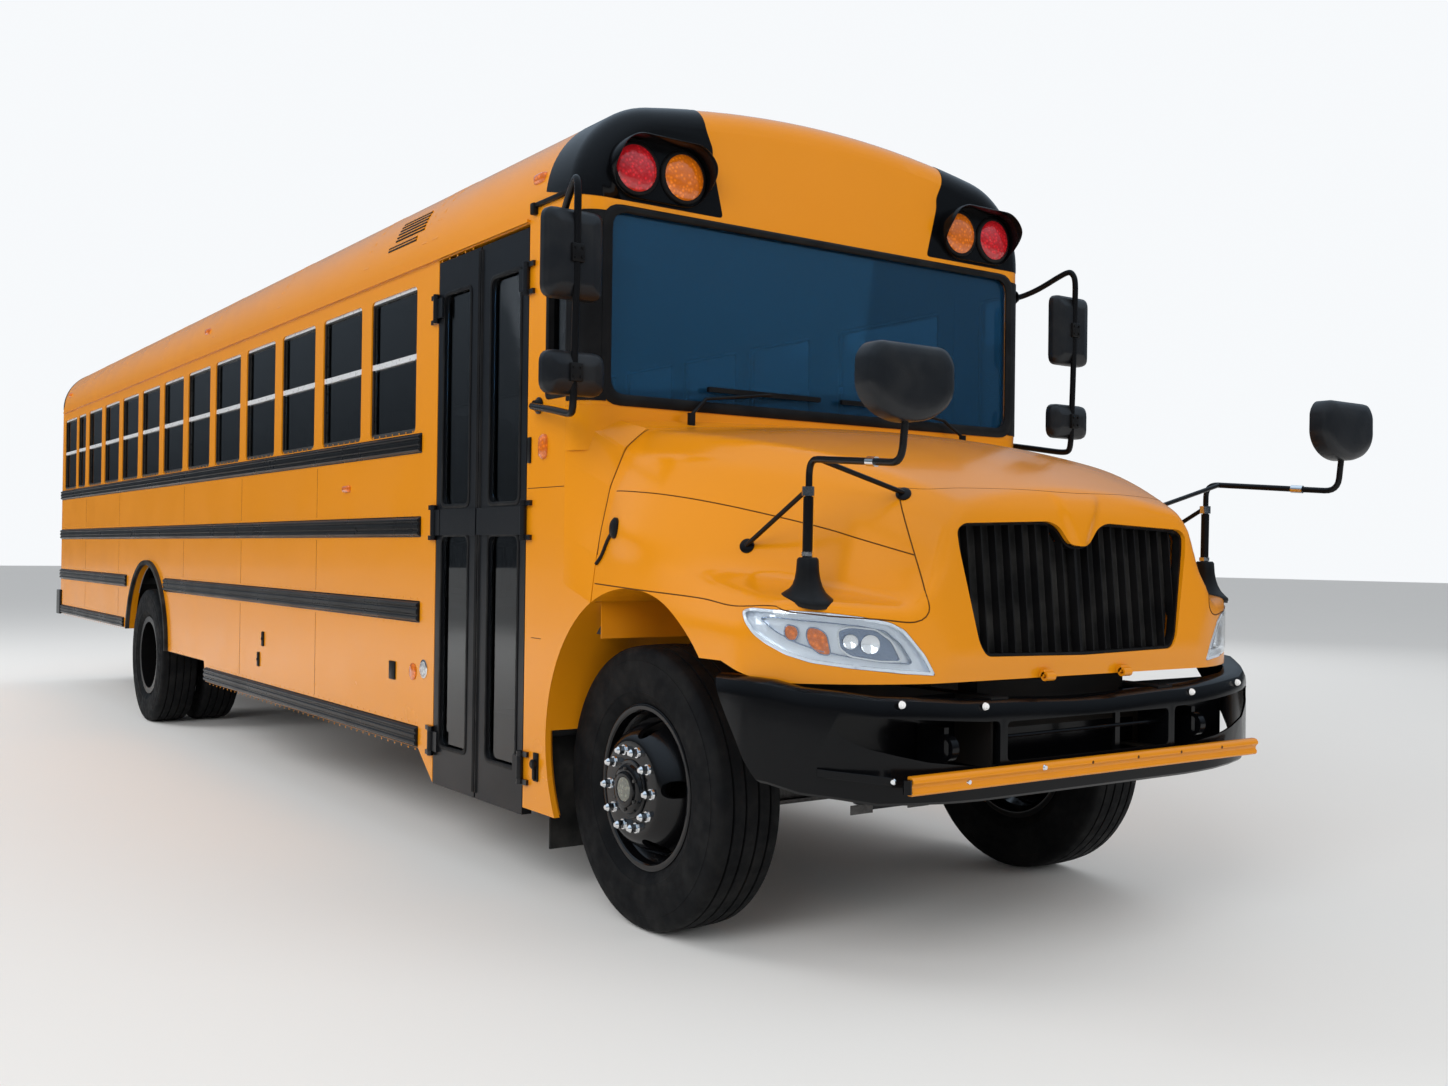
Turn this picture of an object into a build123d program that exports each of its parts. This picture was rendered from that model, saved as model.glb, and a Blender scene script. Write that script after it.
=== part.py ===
from build123d import *
import math
import os

# School bus with a tilting hood, in millimetres.
# X runs forward, Y to the left and Z up. The ground is Z = 0, and X = 0 is the middle of the length.
# The entrance door is on the right, at negative Y.

# Wheels and chassis
FRONT_AXLE_X = 4884
WHEELBASE = 7250
REAR_AXLE_X = FRONT_AXLE_X - WHEELBASE
TYRE_R = 525
TYRE_WIDTH = 280
RIM_SEAT_R = 286
RIM_FLANGE_R = 305
RIM_FLANGE = 12
RIM_INNER_R = 262
BEAD_HALF = 105
DRUM_R = 208
DRUM_WALL = 20
FRONT_WHEEL_Y = 970
REAR_WHEEL_Y = 921
DUAL_OFFSET = 165
KINGPIN_Y = 880
KINGPIN_R = 20
KINGPIN_BOSS_R = 40
STEER_EYE_HALF = 59.5
KNUCKLE_EAR = 50
SPINDLE_R = 35
REAR_SPINDLE_R = 50
RUN_GAP = 0.3
FRAME_Y = 430
FRAME_FLANGE = 80
FRAME_WEB = 10
FRAME_TOP_Z = 930
FRAME_HEIGHT = 230
FRAME_BOTTOM_Z = FRAME_TOP_Z - FRAME_HEIGHT
SPRING_WIDTH = 75
AXLE_BEAM_TOP_Z = 500
AXLE_TUBE_R = 65

# Body shell
BODY_WIDTH = 2438
SKIN_Y = BODY_WIDTH / 2
WALL = 50
INNER_Y = SKIN_Y - WALL
FLOOR_TOP_Z = 1120
FLOOR_THICK = 50
FLOOR_BOTTOM_Z = FLOOR_TOP_Z - FLOOR_THICK
EAVE_Z = 2720
ROOF_TURN_Z = 2780
ROOF_CORNER_R = 395
ROOF_CROWN_Z = 3250
ROOF_WALL = 45
SILL_TOP_Z = 1955
SKIRT_Z = 460
DOOR_SKIRT_Z = 324
COWL_SKIRT_Z = 352
MID_SKIRT_Z = 600
REAR_SKIRT_Z = 700
SEAT_GAP = 0.3


def station(distance):
    """Return the X of a place measured forward from the plane 50 mm behind the front axle."""
    return FRONT_AXLE_X - 50 + distance


# Stations along the body
REAR_X = station(-11060)
REAR_SHELL_DEPTH = 150
SHELL_FRONT_X = REAR_X + REAR_SHELL_DEPTH
DOOR_REAR_X = station(-1565)
DOOR_FRONT_X = station(-658)
COWL_RIDGE_X = station(-340)
WINDSHIELD_X = station(-225)
COWL_FRONT_X = station(-130)
HOOD_REAR_X = station(-122)
BUMPER_FRONT_X = station(1222)

# Openings
WINDOW_PITCH = 725
WINDOW_WIDTH = 590
WINDOW_BOTTOM_Z = 1945
WINDOW_TOP_Z = 2645
WINDOW_BAR_Z = 2310
WINDOW_FRAME = 22
WINDOW_FRAME_DEPTH = 34
FIRST_PILLAR_X = station(-1750)
FULL_WINDOWS = 11
SHORT_WINDOW = 360
GLASS = 6
WINDOW_CORNER = 35
# One row for each side window: middle station and width.
WINDOWS = [(FIRST_PILLAR_X - WINDOW_PITCH * (i + 0.5), WINDOW_WIDTH) for i in range(FULL_WINDOWS)]
WINDOWS.append((station(-9985), SHORT_WINDOW))
WINDOWS.append((station(-10555), WINDOW_WIDTH))
DRIVER_WINDOW = (station(-1165), 800)
FRONT_ARCH = (station(134), 656, 604)
REAR_ARCH = (REAR_AXLE_X, 592, 655)
ARCH_LIP = 30
ARCH_SKIN = 24
ARCH_RELIEF = 36

# Hinges
PIN_R = 8
KNUCKLE_R = 14
HINGE_STAND = 14
DOOR_THICK = 45
DOOR_GAP = 7
ENTRY_GAP = 7
LEAF_BOTTOM_Z = 320
LEAF_TOP_Z = 2706
HOOD_HINGE = (station(1200), 990)

# Hood sections from the rear to the nose. Each row holds the station, the crown height, then the
# (y, z) of the shoulder, the shoulder's lower edge, the flank, the fender's root, the fender's
# crest and the fender's outer edge.
HOOD_ROWS = [
    (-130, 1915, (980, 1868), (1075, 1790), (1140, 1640), (1165, 1520), (1195, 1380), (1219, 1200)),
    (516, 1838, (850, 1775), (945, 1690), (1040, 1480), (1090, 1370), (1170, 1300), (1219, 1180)),
    (950, 1705, (645, 1652), (715, 1585), (790, 1390), (850, 1270), (1110, 1247), (1212, 1150)),
    (1250, 1560, (540, 1505), (600, 1440), (660, 1300), (740, 1215), (1090, 1205), (1205, 1090)),
]
COWL_ROW = (-340, 1955, (1130, 1940), (1219, 1930), (1219, 1800), (1219, 1600), (1219, 1400), (1219, 1200))
# The rows are drawn for this half width and follow the body's own.
HOOD_ROWS_HALF = 1219
HOOD_WALL = 22
HOOD_FLOOR_Z = 900

os.makedirs("parts", exist_ok=True)


def save(builder, name):
    """Label a finished piece and write it."""
    builder.part.label = name
    export_step(builder.part, f"parts/{name}.step")


def add_box(x, y, z, mode=Mode.ADD):
    """Add a block to the open part from its (low, high) pairs along X, Y and Z."""
    center = ((x[0] + x[1]) / 2, (y[0] + y[1]) / 2, (z[0] + z[1]) / 2)
    with Locations(center):
        Box(abs(x[1] - x[0]), abs(y[1] - y[0]), abs(z[1] - z[0]), mode=mode)


def add_rod(start, end, radius, mode=Mode.ADD):
    """Add a round bar between two points to the open part."""
    axis = Vector(*end) - Vector(*start)
    with BuildSketch(Plane(origin=start, z_dir=axis.normalized())) as ring:
        Circle(radius)
    extrude(ring.sketch, amount=axis.length, mode=mode)


def add_tube(points, bend, radius):
    """Sweep a round tube along straight runs joined by bends into the open part."""
    with BuildLine() as path:
        FilletPolyline(*points, radius=bend)
    with BuildSketch(Plane(origin=path.line @ 0, z_dir=path.line % 0)) as ring:
        Circle(radius)
    sweep(ring.sketch, path=path.line)


def on_side(point, side):
    """Return a point of the left side as it lies on the given side."""
    return (point[0], side * point[1], point[2])


def side_plane(y):
    """Return the XZ plane at y whose local axes are X and Z."""
    return Plane(origin=(0, y, 0), x_dir=(1, 0, 0), z_dir=(0, -1, 0))


def add_side_panel(points, y, mode=Mode.ADD):
    """Extrude an XZ outline between two Y values in the open part."""
    with BuildSketch(side_plane(y[0])) as outline:
        with BuildLine():
            Polyline(*points, close=True)
        make_face()
    extrude(outline.sketch, amount=y[0] - y[1], mode=mode)


def front_plane(x):
    """Return the YZ plane at x whose local axes are Y and Z."""
    return Plane(origin=(x, 0, 0), x_dir=(0, 1, 0), z_dir=(1, 0, 0))


def body_outline(inset, bottom_z):
    """Draw the body's cross-section from bottom_z to the roof in the open sketch."""
    side = SKIN_Y - inset
    corner = ROOF_CORNER_R - inset
    crown = ROOF_CROWN_Z - inset
    center_y = SKIN_Y - ROOF_CORNER_R
    # The crown arc meets the corner arc where both share a normal.
    rise = crown - ROOF_TURN_Z
    crown_r = (center_y**2 + rise**2 - corner**2) / (2 * (rise - corner))
    lean = math.atan2(center_y, crown_r - rise)
    meet = (center_y + corner * math.sin(lean), ROOF_TURN_Z + corner * math.cos(lean))
    half = (math.pi / 2 + lean) / 2
    middle = (center_y + corner * math.sin(half), ROOF_TURN_Z + corner * math.cos(half))
    with BuildLine() as outline:
        Line((-side, bottom_z), (side, bottom_z))
        Line((side, bottom_z), (side, ROOF_TURN_Z))
        ThreePointArc((side, ROOF_TURN_Z), middle, meet)
        ThreePointArc(meet, (0, crown), (-meet[0], meet[1]))
        ThreePointArc((-meet[0], meet[1]), (-middle[0], middle[1]), (-side, ROOF_TURN_Z))
        Line((-side, ROOF_TURN_Z), (-side, bottom_z))
    make_face(outline.edges())


def hood_section(row, inset, bottom_z):
    """Return one closed hood section at its station."""
    crown, *edge = row[1:]
    half = [(y * SKIN_Y / HOOD_ROWS_HALF - inset, z - inset) for y, z in edge]
    mirrored = [(-y, z) for y, z in reversed(half)]
    with BuildSketch(front_plane(station(row[0]))) as section:
        with BuildLine():
            ThreePointArc(mirrored[-1], (0, crown - inset), half[0])
            Polyline(*half, (half[-1][0], bottom_z), (mirrored[0][0], bottom_z), *mirrored)
        make_face()
    return section.sketch


# The hood's nose seen from the side, as stations and heights from its top to its lower lip.
NOSE_SIDE = [(1030, 2000), (1060, 1668), (1122, 1628), (1150, 1560), (1187, 1060), (1172, 1010)]
HOOD_LIP = [(1140, 985), (900, 985), (720, 1044), (560, 1044)]
NOSE_HALF = 560
NOSE_SIDE_X = station(800)


def hood_form(inset, name):
    """Build the hood's outer form, or the same form moved inwards by inset."""
    with BuildPart() as form:
        loft([hood_section(row, inset, HOOD_FLOOR_Z) for row in HOOD_ROWS])
        nose = [(station(x) - inset, z - inset / 2) for x, z in NOSE_SIDE]
        if inset:
            # The inner form runs out through the open rear and underside.
            profile = [(HOOD_REAR_X - 200, 2000), *nose, (nose[-1][0], HOOD_FLOOR_Z - 10), (HOOD_REAR_X - 200, HOOD_FLOOR_Z - 10)]
        else:
            lip = [(station(x), z) for x, z in HOOD_LIP]
            profile = [(HOOD_REAR_X, 2000), *nose, *lip, (HOOD_REAR_X, 1200)]
        with BuildSketch(side_plane(SKIN_Y + 10)):
            with BuildLine():
                Polyline(*profile, close=True)
            make_face()
        extrude(amount=BODY_WIDTH + 20, mode=Mode.INTERSECT)
        nose_x = station(1190) - inset
        side = SKIN_Y + 2 - inset
        with BuildSketch(Plane.XY.offset(HOOD_FLOOR_Z)):
            with BuildLine():
                Polyline((NOSE_SIDE_X, side), (HOOD_REAR_X - 200, side), (HOOD_REAR_X - 200, -side),
                         (NOSE_SIDE_X, -side))
                ThreePointArc((NOSE_SIDE_X, -side), (station(1080) - inset, -950), (nose_x, -NOSE_HALF))
                Line((nose_x, -NOSE_HALF), (nose_x, NOSE_HALF))
                ThreePointArc((nose_x, NOSE_HALF), (station(1080) - inset, 950), (NOSE_SIDE_X, side))
            make_face()
        extrude(amount=1200, mode=Mode.INTERSECT)
    form.part.label = name
    return form.part


# Side walls, each a single pressed wall with its windows and rear wheel arch cut
def side_wall(side, name):
    """Build one side wall; side is -1 on the right and 1 on the left."""
    low, high = sorted((side * INNER_Y, side * SKIN_Y))
    arch_x, arch_z, arch_r = REAR_ARCH
    front_x = DOOR_REAR_X if side < 0 else DOOR_FRONT_X
    front_z = DOOR_SKIRT_Z if side < 0 else SKIRT_Z
    with BuildPart() as wall:
        add_side_panel([
            (front_x, EAVE_Z), (front_x, front_z), (front_x - 170, SKIRT_Z), (station(-5460), SKIRT_Z),
            (station(-5500), MID_SKIRT_Z), (arch_x, MID_SKIRT_Z), (arch_x, REAR_SKIRT_Z),
            (SHELL_FRONT_X, REAR_SKIRT_Z), (SHELL_FRONT_X, EAVE_Z),
        ], (high, low))
        add_rod((arch_x, low - 1, arch_z), (arch_x, high + 1, arch_z), arch_r, Mode.SUBTRACT)
        openings = WINDOWS if side < 0 else WINDOWS + [DRIVER_WINDOW]
        with BuildSketch(side_plane(high + 1)):
            for x, width in openings:
                with Locations((x, (WINDOW_BOTTOM_Z + WINDOW_TOP_Z) / 2)):
                    RectangleRounded(width, WINDOW_TOP_Z - WINDOW_BOTTOM_Z, WINDOW_CORNER)
        extrude(amount=WALL + 2, mode=Mode.SUBTRACT)
        if side > 0:
            # The stop arm's two ears and pin stand off the wall between two rub rails.
            for z in STOP_EAR_Z:
                add_box((STOP_HINGE_X - KNUCKLE_R, STOP_HINGE_X + 60), (SKIN_Y, STOP_HINGE_Y + KNUCKLE_R), z)
            add_box((STOP_HINGE_X + 30, STOP_HINGE_X + 60), (SKIN_Y, STOP_HINGE_Y), (STOP_EAR_Z[0][0], STOP_EAR_Z[1][1]))
            add_rod((STOP_HINGE_X, STOP_HINGE_Y, STOP_EAR_Z[0][0]), (STOP_HINGE_X, STOP_HINGE_Y, STOP_EAR_Z[1][1]), PIN_R)
        if side < 0:
            add_door_ears(DOOR_REAR_X, -1, HINGE_Z)
    save(wall, name)


HINGE_Z = [(470, 560), (1456, 1573), (2450, 2540)]
HINGE_EAR = 22
HINGE_REACH = 55
ENTRY_AXIS_Y = -(SKIN_Y + HINGE_STAND)


def add_door_ears(edge_x, out, heights):
    """Add the entrance door's hinge pins and ears on the body beside edge_x; out is the body's side."""
    axis_x = edge_x - out * DOOR_GAP / 2
    for low, high in heights:
        for z in ((low - HINGE_EAR, low - 0.5), (high + 0.5, high + HINGE_EAR)):
            add_box(sorted((axis_x, edge_x + out * HINGE_REACH)), (ENTRY_AXIS_Y, -SKIN_Y), z)
            add_rod((axis_x, ENTRY_AXIS_Y, z[0]), (axis_x, ENTRY_AXIS_Y, z[1]), KNUCKLE_R)
        add_rod((axis_x, ENTRY_AXIS_Y, low - 1), (axis_x, ENTRY_AXIS_Y, high + 1), PIN_R)


STOP_HINGE_X = station(-1800)
STOP_HINGE_Y = SKIN_Y + 48
STOP_CENTER_Z = 1700
STOP_ACROSS = 457
STOP_EAR_Z = [(1620, 1650), (1750, 1780)]
STOP_PLATE = 8

side_wall(-1, "side_wall_right")
side_wall(1, "side_wall_left")

# Roof between the front frame and the rear shell, with a drip rail along each eave
HATCH_X = station(-5300)
HATCH_SIZE = 600
HATCH_HOLE = 540
HATCH_CURB_Z = ROOF_CROWN_Z + 12
HATCH_LIFT = 6
HATCH_THICK = 42
DRIP_RAIL = 16
with BuildPart() as roof:
    with BuildSketch(front_plane(SHELL_FRONT_X)):
        body_outline(0, EAVE_Z)
    extrude(amount=DOOR_FRONT_X - SHELL_FRONT_X)
    with BuildSketch(front_plane(SHELL_FRONT_X - 1)):
        body_outline(ROOF_WALL, EAVE_Z - 1)
    extrude(amount=DOOR_FRONT_X - SHELL_FRONT_X + 2, mode=Mode.SUBTRACT)
    for side in (-1, 1):
        rail_y = sorted((side * (SKIN_Y - 1), side * (SKIN_Y + DRIP_RAIL)))
        add_box((SHELL_FRONT_X, DOOR_FRONT_X), rail_y, (EAVE_Z + 4, EAVE_Z + 16))
    add_box((HATCH_X - HATCH_SIZE / 2, HATCH_X + HATCH_SIZE / 2), (-HATCH_SIZE / 2, HATCH_SIZE / 2),
            (ROOF_CROWN_Z - ROOF_WALL, HATCH_CURB_Z))
    add_box((HATCH_X - HATCH_HOLE / 2, HATCH_X + HATCH_HOLE / 2), (-HATCH_HOLE / 2, HATCH_HOLE / 2),
            (ROOF_CROWN_Z - 200, HATCH_CURB_Z + 1), Mode.SUBTRACT)
    hatch_axis = (HATCH_X - HATCH_SIZE / 2 - KNUCKLE_R - 8, HATCH_CURB_Z + HATCH_LIFT + HATCH_THICK / 2)
    for y in (-200, 200):
        for ear_y in ((y - 42, y - 20.5), (y + 20.5, y + 42)):
            add_box((hatch_axis[0] - KNUCKLE_R, hatch_axis[0] + KNUCKLE_R), ear_y,
                    (ROOF_CROWN_Z - 30, hatch_axis[1] + KNUCKLE_R))
            add_box((hatch_axis[0] - KNUCKLE_R, HATCH_X - HATCH_SIZE / 2 + 5), ear_y,
                    (ROOF_CROWN_Z - 30, HATCH_CURB_Z))
        add_rod((hatch_axis[0], y - 42, hatch_axis[1]), (hatch_axis[0], y + 42, hatch_axis[1]), PIN_R)
save(roof, "roof")

with BuildPart() as roof_hatch:
    with BuildSketch(Plane.XY.offset(HATCH_CURB_Z + HATCH_LIFT)):
        with Locations((HATCH_X, 0)):
            RectangleRounded(HATCH_SIZE, HATCH_SIZE, 60)
    extrude(amount=HATCH_THICK)
    fillet(roof_hatch.edges().group_by(Axis.Z)[-1], 18)
    for y in (-200, 200):
        add_rod((hatch_axis[0], y - 20, hatch_axis[1]), (hatch_axis[0], y + 20, hatch_axis[1]), KNUCKLE_R)
        add_box((hatch_axis[0], HATCH_X - HATCH_SIZE / 2 + 20), (y - 20, y + 20),
                (hatch_axis[1] - 8, hatch_axis[1] + 8))
        add_rod((hatch_axis[0], y - 21, hatch_axis[1]), (hatch_axis[0], y + 21, hatch_axis[1]),
                PIN_R + RUN_GAP, Mode.SUBTRACT)
save(roof_hatch, "roof_hatch")

# Front frame: pillars, windshield header and the rounded front of the roof
FRAME_WALL = 45
FRONT_EDGE_R = 110
WINDSHIELD_HALF = 1100
WINDSHIELD_Z = (1990, 2720)
QUARTER_X = (station(-490), station(-330))
QUARTER_Z = (2010, 2660)
with BuildPart() as front_hollow:
    with BuildSketch(front_plane(DOOR_FRONT_X - 1)):
        body_outline(FRAME_WALL, SILL_TOP_Z - 50)
    extrude(amount=WINDSHIELD_X - FRAME_WALL - DOOR_FRONT_X + 1)
    hollow_edges = front_hollow.faces().sort_by(Axis.X)[-1].edges().sort_by(Axis.Z)[1:]
    fillet(hollow_edges, FRONT_EDGE_R - FRAME_WALL)
with BuildPart() as front_frame:
    with BuildSketch(front_plane(DOOR_FRONT_X)):
        body_outline(0, SILL_TOP_Z)
    extrude(amount=WINDSHIELD_X - DOOR_FRONT_X)
    front_edges = front_frame.faces().sort_by(Axis.X)[-1].edges().sort_by(Axis.Z)[1:]
    fillet(front_edges, FRONT_EDGE_R)
    add(front_hollow.part, mode=Mode.SUBTRACT)
    with BuildSketch(front_plane(WINDSHIELD_X + 1)):
        with Locations((0, sum(WINDSHIELD_Z) / 2)):
            RectangleRounded(2 * WINDSHIELD_HALF, WINDSHIELD_Z[1] - WINDSHIELD_Z[0], 70)
    extrude(amount=-FRAME_WALL - 3, mode=Mode.SUBTRACT)
    with BuildSketch(side_plane(SKIN_Y + 1)):
        with Locations((sum(QUARTER_X) / 2, sum(QUARTER_Z) / 2)):
            RectangleRounded(QUARTER_X[1] - QUARTER_X[0], QUARTER_Z[1] - QUARTER_Z[0], 40)
    extrude(amount=BODY_WIDTH + 2, mode=Mode.SUBTRACT)
    add_door_ears(DOOR_FRONT_X, 1, HINGE_Z[2:])
save(front_frame, "front_frame")

with BuildPart() as windshield_glass:
    with BuildSketch(front_plane(WINDSHIELD_X - FRAME_WALL / 2)):
        with Locations((0, sum(WINDSHIELD_Z) / 2)):
            RectangleRounded(2 * WINDSHIELD_HALF - 2 * SEAT_GAP, WINDSHIELD_Z[1] - WINDSHIELD_Z[0] - 2 * SEAT_GAP, 70)
    extrude(amount=GLASS)
save(windshield_glass, "windshield_glass")

# Cowl: the corner panels beside the front wheels, the firewall and the deck below the windshield
FIREWALL = 45
with BuildPart() as cowl_nose:
    loft([hood_section(row, 0, COWL_SKIRT_Z) for row in (COWL_ROW, HOOD_ROWS[0])])
with BuildPart() as cowl_hollow:
    loft([hood_section(row, WALL, FLOOR_BOTTOM_Z) for row in (COWL_ROW, HOOD_ROWS[0])])
    add_box((COWL_FRONT_X - FIREWALL, COWL_FRONT_X + 50), (-SKIN_Y, SKIN_Y), (0, SILL_TOP_Z + 50), Mode.SUBTRACT)
with BuildPart() as cowl:
    with BuildSketch(front_plane(DOOR_FRONT_X)):
        with Locations((0, (COWL_SKIRT_Z + SILL_TOP_Z) / 2)):
            Rectangle(BODY_WIDTH, SILL_TOP_Z - COWL_SKIRT_Z)
    extrude(amount=COWL_RIDGE_X - DOOR_FRONT_X)
    add(cowl_nose.part)
    add_box((DOOR_FRONT_X - 1, COWL_RIDGE_X), (-INNER_Y, INNER_Y), (FLOOR_BOTTOM_Z, SILL_TOP_Z - WALL), Mode.SUBTRACT)
    add(cowl_hollow.part, mode=Mode.SUBTRACT)
    add_box((DOOR_FRONT_X - 1, WINDSHIELD_X - FRAME_WALL), (-INNER_Y, INNER_Y), (SILL_TOP_Z - WALL - 1, SILL_TOP_Z + 1),
            Mode.SUBTRACT)
    add_box((DOOR_FRONT_X - 1, COWL_FRONT_X + 1), (-INNER_Y, INNER_Y), (COWL_SKIRT_Z - 1, FLOOR_TOP_Z), Mode.SUBTRACT)
    arch_x, arch_z, arch_r = FRONT_ARCH
    add_rod((arch_x, -SKIN_Y - 1, arch_z), (arch_x, SKIN_Y + 1, arch_z), arch_r, Mode.SUBTRACT)
    # The wall is thinned around the arch, so that the steered tyre passes inside it.
    for side in (-1, 1):
        add_rod((arch_x, side * (SKIN_Y - 2 * WALL), arch_z), (arch_x, side * (SKIN_Y - ARCH_SKIN), arch_z),
                arch_r + ARCH_RELIEF, Mode.SUBTRACT)
    add_door_ears(DOOR_FRONT_X, 1, HINGE_Z[:2])
save(cowl, "cowl")

# Side windows: a silver frame with a cross bar in each opening, and one pane behind the bar
WINDOW_Z = (WINDOW_BOTTOM_Z + WINDOW_TOP_Z) / 2
WINDOW_TALL = WINDOW_TOP_Z - WINDOW_BOTTOM_Z
FRAME_INSET = 8
for side, name in ((-1, "right"), (1, "left")):
    openings = WINDOWS if side < 0 else WINDOWS + [DRIVER_WINDOW]
    outer_y = side * (SKIN_Y - FRAME_INSET)
    with BuildPart() as frames:
        for x, width in openings:
            with BuildSketch(side_plane(max(outer_y, outer_y - side * WINDOW_FRAME_DEPTH))):
                with Locations((x, WINDOW_Z)):
                    RectangleRounded(width - 2 * SEAT_GAP, WINDOW_TALL - 2 * SEAT_GAP, WINDOW_CORNER)
                    RectangleRounded(width - 2 * WINDOW_FRAME, WINDOW_TALL - 2 * WINDOW_FRAME,
                                     WINDOW_CORNER - WINDOW_FRAME + 6, mode=Mode.SUBTRACT)
            extrude(amount=WINDOW_FRAME_DEPTH)
            bar_y = sorted((outer_y, outer_y - side * WINDOW_FRAME_DEPTH / 3))
            add_box((x - width / 2 + WINDOW_FRAME - 1, x + width / 2 - WINDOW_FRAME + 1), bar_y,
                    (WINDOW_BAR_Z - 14, WINDOW_BAR_Z + 14))
    save(frames, f"window_frames_{name}")
    with BuildPart() as panes:
        for x, width in openings:
            pane_y = outer_y - side * (WINDOW_FRAME_DEPTH / 3 + 2)
            with BuildSketch(side_plane(max(pane_y, pane_y - side * GLASS))):
                with Locations((x, WINDOW_Z)):
                    RectangleRounded(width - 2 * WINDOW_FRAME - 2 * SEAT_GAP, WINDOW_TALL - 2 * WINDOW_FRAME - 2 * SEAT_GAP,
                                     WINDOW_CORNER - WINDOW_FRAME + 6)
            extrude(amount=GLASS)
    save(panes, f"window_glass_{name}")

# Rear shell with its rounded edges, the emergency door's opening and four windows
REAR_EDGE_R = 85
REAR_SHELL_Z = FRAME_TOP_Z + 5
REAR_DOOR_HALF = 400
REAR_DOOR_Z = (1130, 2640)
REAR_WINDOW = (640, 700, (1990, 2600))
with BuildPart() as rear_hollow:
    with BuildSketch(front_plane(REAR_X + WALL)):
        body_outline(WALL, REAR_SHELL_Z - 50)
    extrude(amount=REAR_SHELL_DEPTH)
    fillet(rear_hollow.faces().sort_by(Axis.X)[0].edges().sort_by(Axis.Z)[1:], REAR_EDGE_R - WALL)
with BuildPart() as rear_shell:
    with BuildSketch(front_plane(REAR_X)):
        body_outline(0, REAR_SHELL_Z)
    extrude(amount=REAR_SHELL_DEPTH)
    fillet(rear_shell.faces().sort_by(Axis.X)[0].edges().sort_by(Axis.Z)[1:], REAR_EDGE_R)
    add(rear_hollow.part, mode=Mode.SUBTRACT)
    with BuildSketch(front_plane(REAR_X - 1)):
        with Locations((0, sum(REAR_DOOR_Z) / 2)):
            RectangleRounded(2 * REAR_DOOR_HALF, REAR_DOOR_Z[1] - REAR_DOOR_Z[0], 40)
        for y in (-REAR_WINDOW[1] - 60, REAR_WINDOW[1] + 60):
            with Locations((y, sum(REAR_WINDOW[2]) / 2)):
                RectangleRounded(REAR_WINDOW[0] - 60, REAR_WINDOW[2][1] - REAR_WINDOW[2][0], 60)
    extrude(amount=WALL + 2, mode=Mode.SUBTRACT)
    rear_axis = (REAR_X - HINGE_STAND, -REAR_DOOR_HALF + DOOR_GAP / 2)
    for z in (1300, 1850, 2400):
        for ear_z in ((z - 60 - HINGE_EAR, z - 60.5), (z + 60.5, z + 60 + HINGE_EAR)):
            add_box((rear_axis[0], REAR_X), (-REAR_DOOR_HALF - HINGE_REACH, rear_axis[1]), ear_z)
            add_rod((*rear_axis, ear_z[0]), (*rear_axis, ear_z[1]), KNUCKLE_R)
        add_rod((*rear_axis, z - 61), (*rear_axis, z + 61), PIN_R)
save(rear_shell, "rear_shell")

with BuildPart() as rear_glass:
    for y in (-REAR_WINDOW[1] - 60, REAR_WINDOW[1] + 60):
        with BuildSketch(front_plane(REAR_X + WALL / 2)):
            with Locations((y, sum(REAR_WINDOW[2]) / 2)):
                RectangleRounded(REAR_WINDOW[0] - 60 - 2 * SEAT_GAP, REAR_WINDOW[2][1] - REAR_WINDOW[2][0] - 2 * SEAT_GAP, 60)
        extrude(amount=GLASS)
save(rear_glass, "rear_glass")

# Rear emergency door, hinged at its right edge
REAR_DOOR_WINDOWS = ((1290, 1830), (2010, 2540))
REAR_GLASS_HALF = 290
with BuildPart() as rear_door:
    with BuildSketch(front_plane(REAR_X)):
        with Locations((0, sum(REAR_DOOR_Z) / 2)):
            RectangleRounded(2 * (REAR_DOOR_HALF - DOOR_GAP), REAR_DOOR_Z[1] - REAR_DOOR_Z[0] - 2 * DOOR_GAP, 36)
        for low, high in REAR_DOOR_WINDOWS:
            with Locations((0, (low + high) / 2)):
                RectangleRounded(2 * REAR_GLASS_HALF, high - low, 45, mode=Mode.SUBTRACT)
    extrude(amount=DOOR_THICK)
    for z in (1300, 1850, 2400):
        add_rod((*rear_axis, z - 60), (*rear_axis, z + 60), KNUCKLE_R)
        add_box((rear_axis[0], REAR_X), (rear_axis[1], -REAR_DOOR_HALF + 90), (z - 60, z + 60))
        add_rod((*rear_axis, z - 61), (*rear_axis, z + 61), PIN_R + RUN_GAP, Mode.SUBTRACT)
    # The outer handle is a lever on a round boss beside the free edge.
    add_rod((REAR_X - 12, REAR_DOOR_HALF - 70, 1900), (REAR_X, REAR_DOOR_HALF - 70, 1900), 30)
    add_box((REAR_X - 30, REAR_X - 10), (REAR_DOOR_HALF - 190, REAR_DOOR_HALF - 58), (1886, 1914))
save(rear_door, "rear_door")

with BuildPart() as rear_door_glass:
    for low, high in REAR_DOOR_WINDOWS:
        with BuildSketch(front_plane(REAR_X + DOOR_THICK / 2)):
            with Locations((0, (low + high) / 2)):
                RectangleRounded(2 * REAR_GLASS_HALF - 2 * SEAT_GAP, high - low - 2 * SEAT_GAP, 45)
        extrude(amount=GLASS)
save(rear_door_glass, "rear_door_glass")

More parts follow.
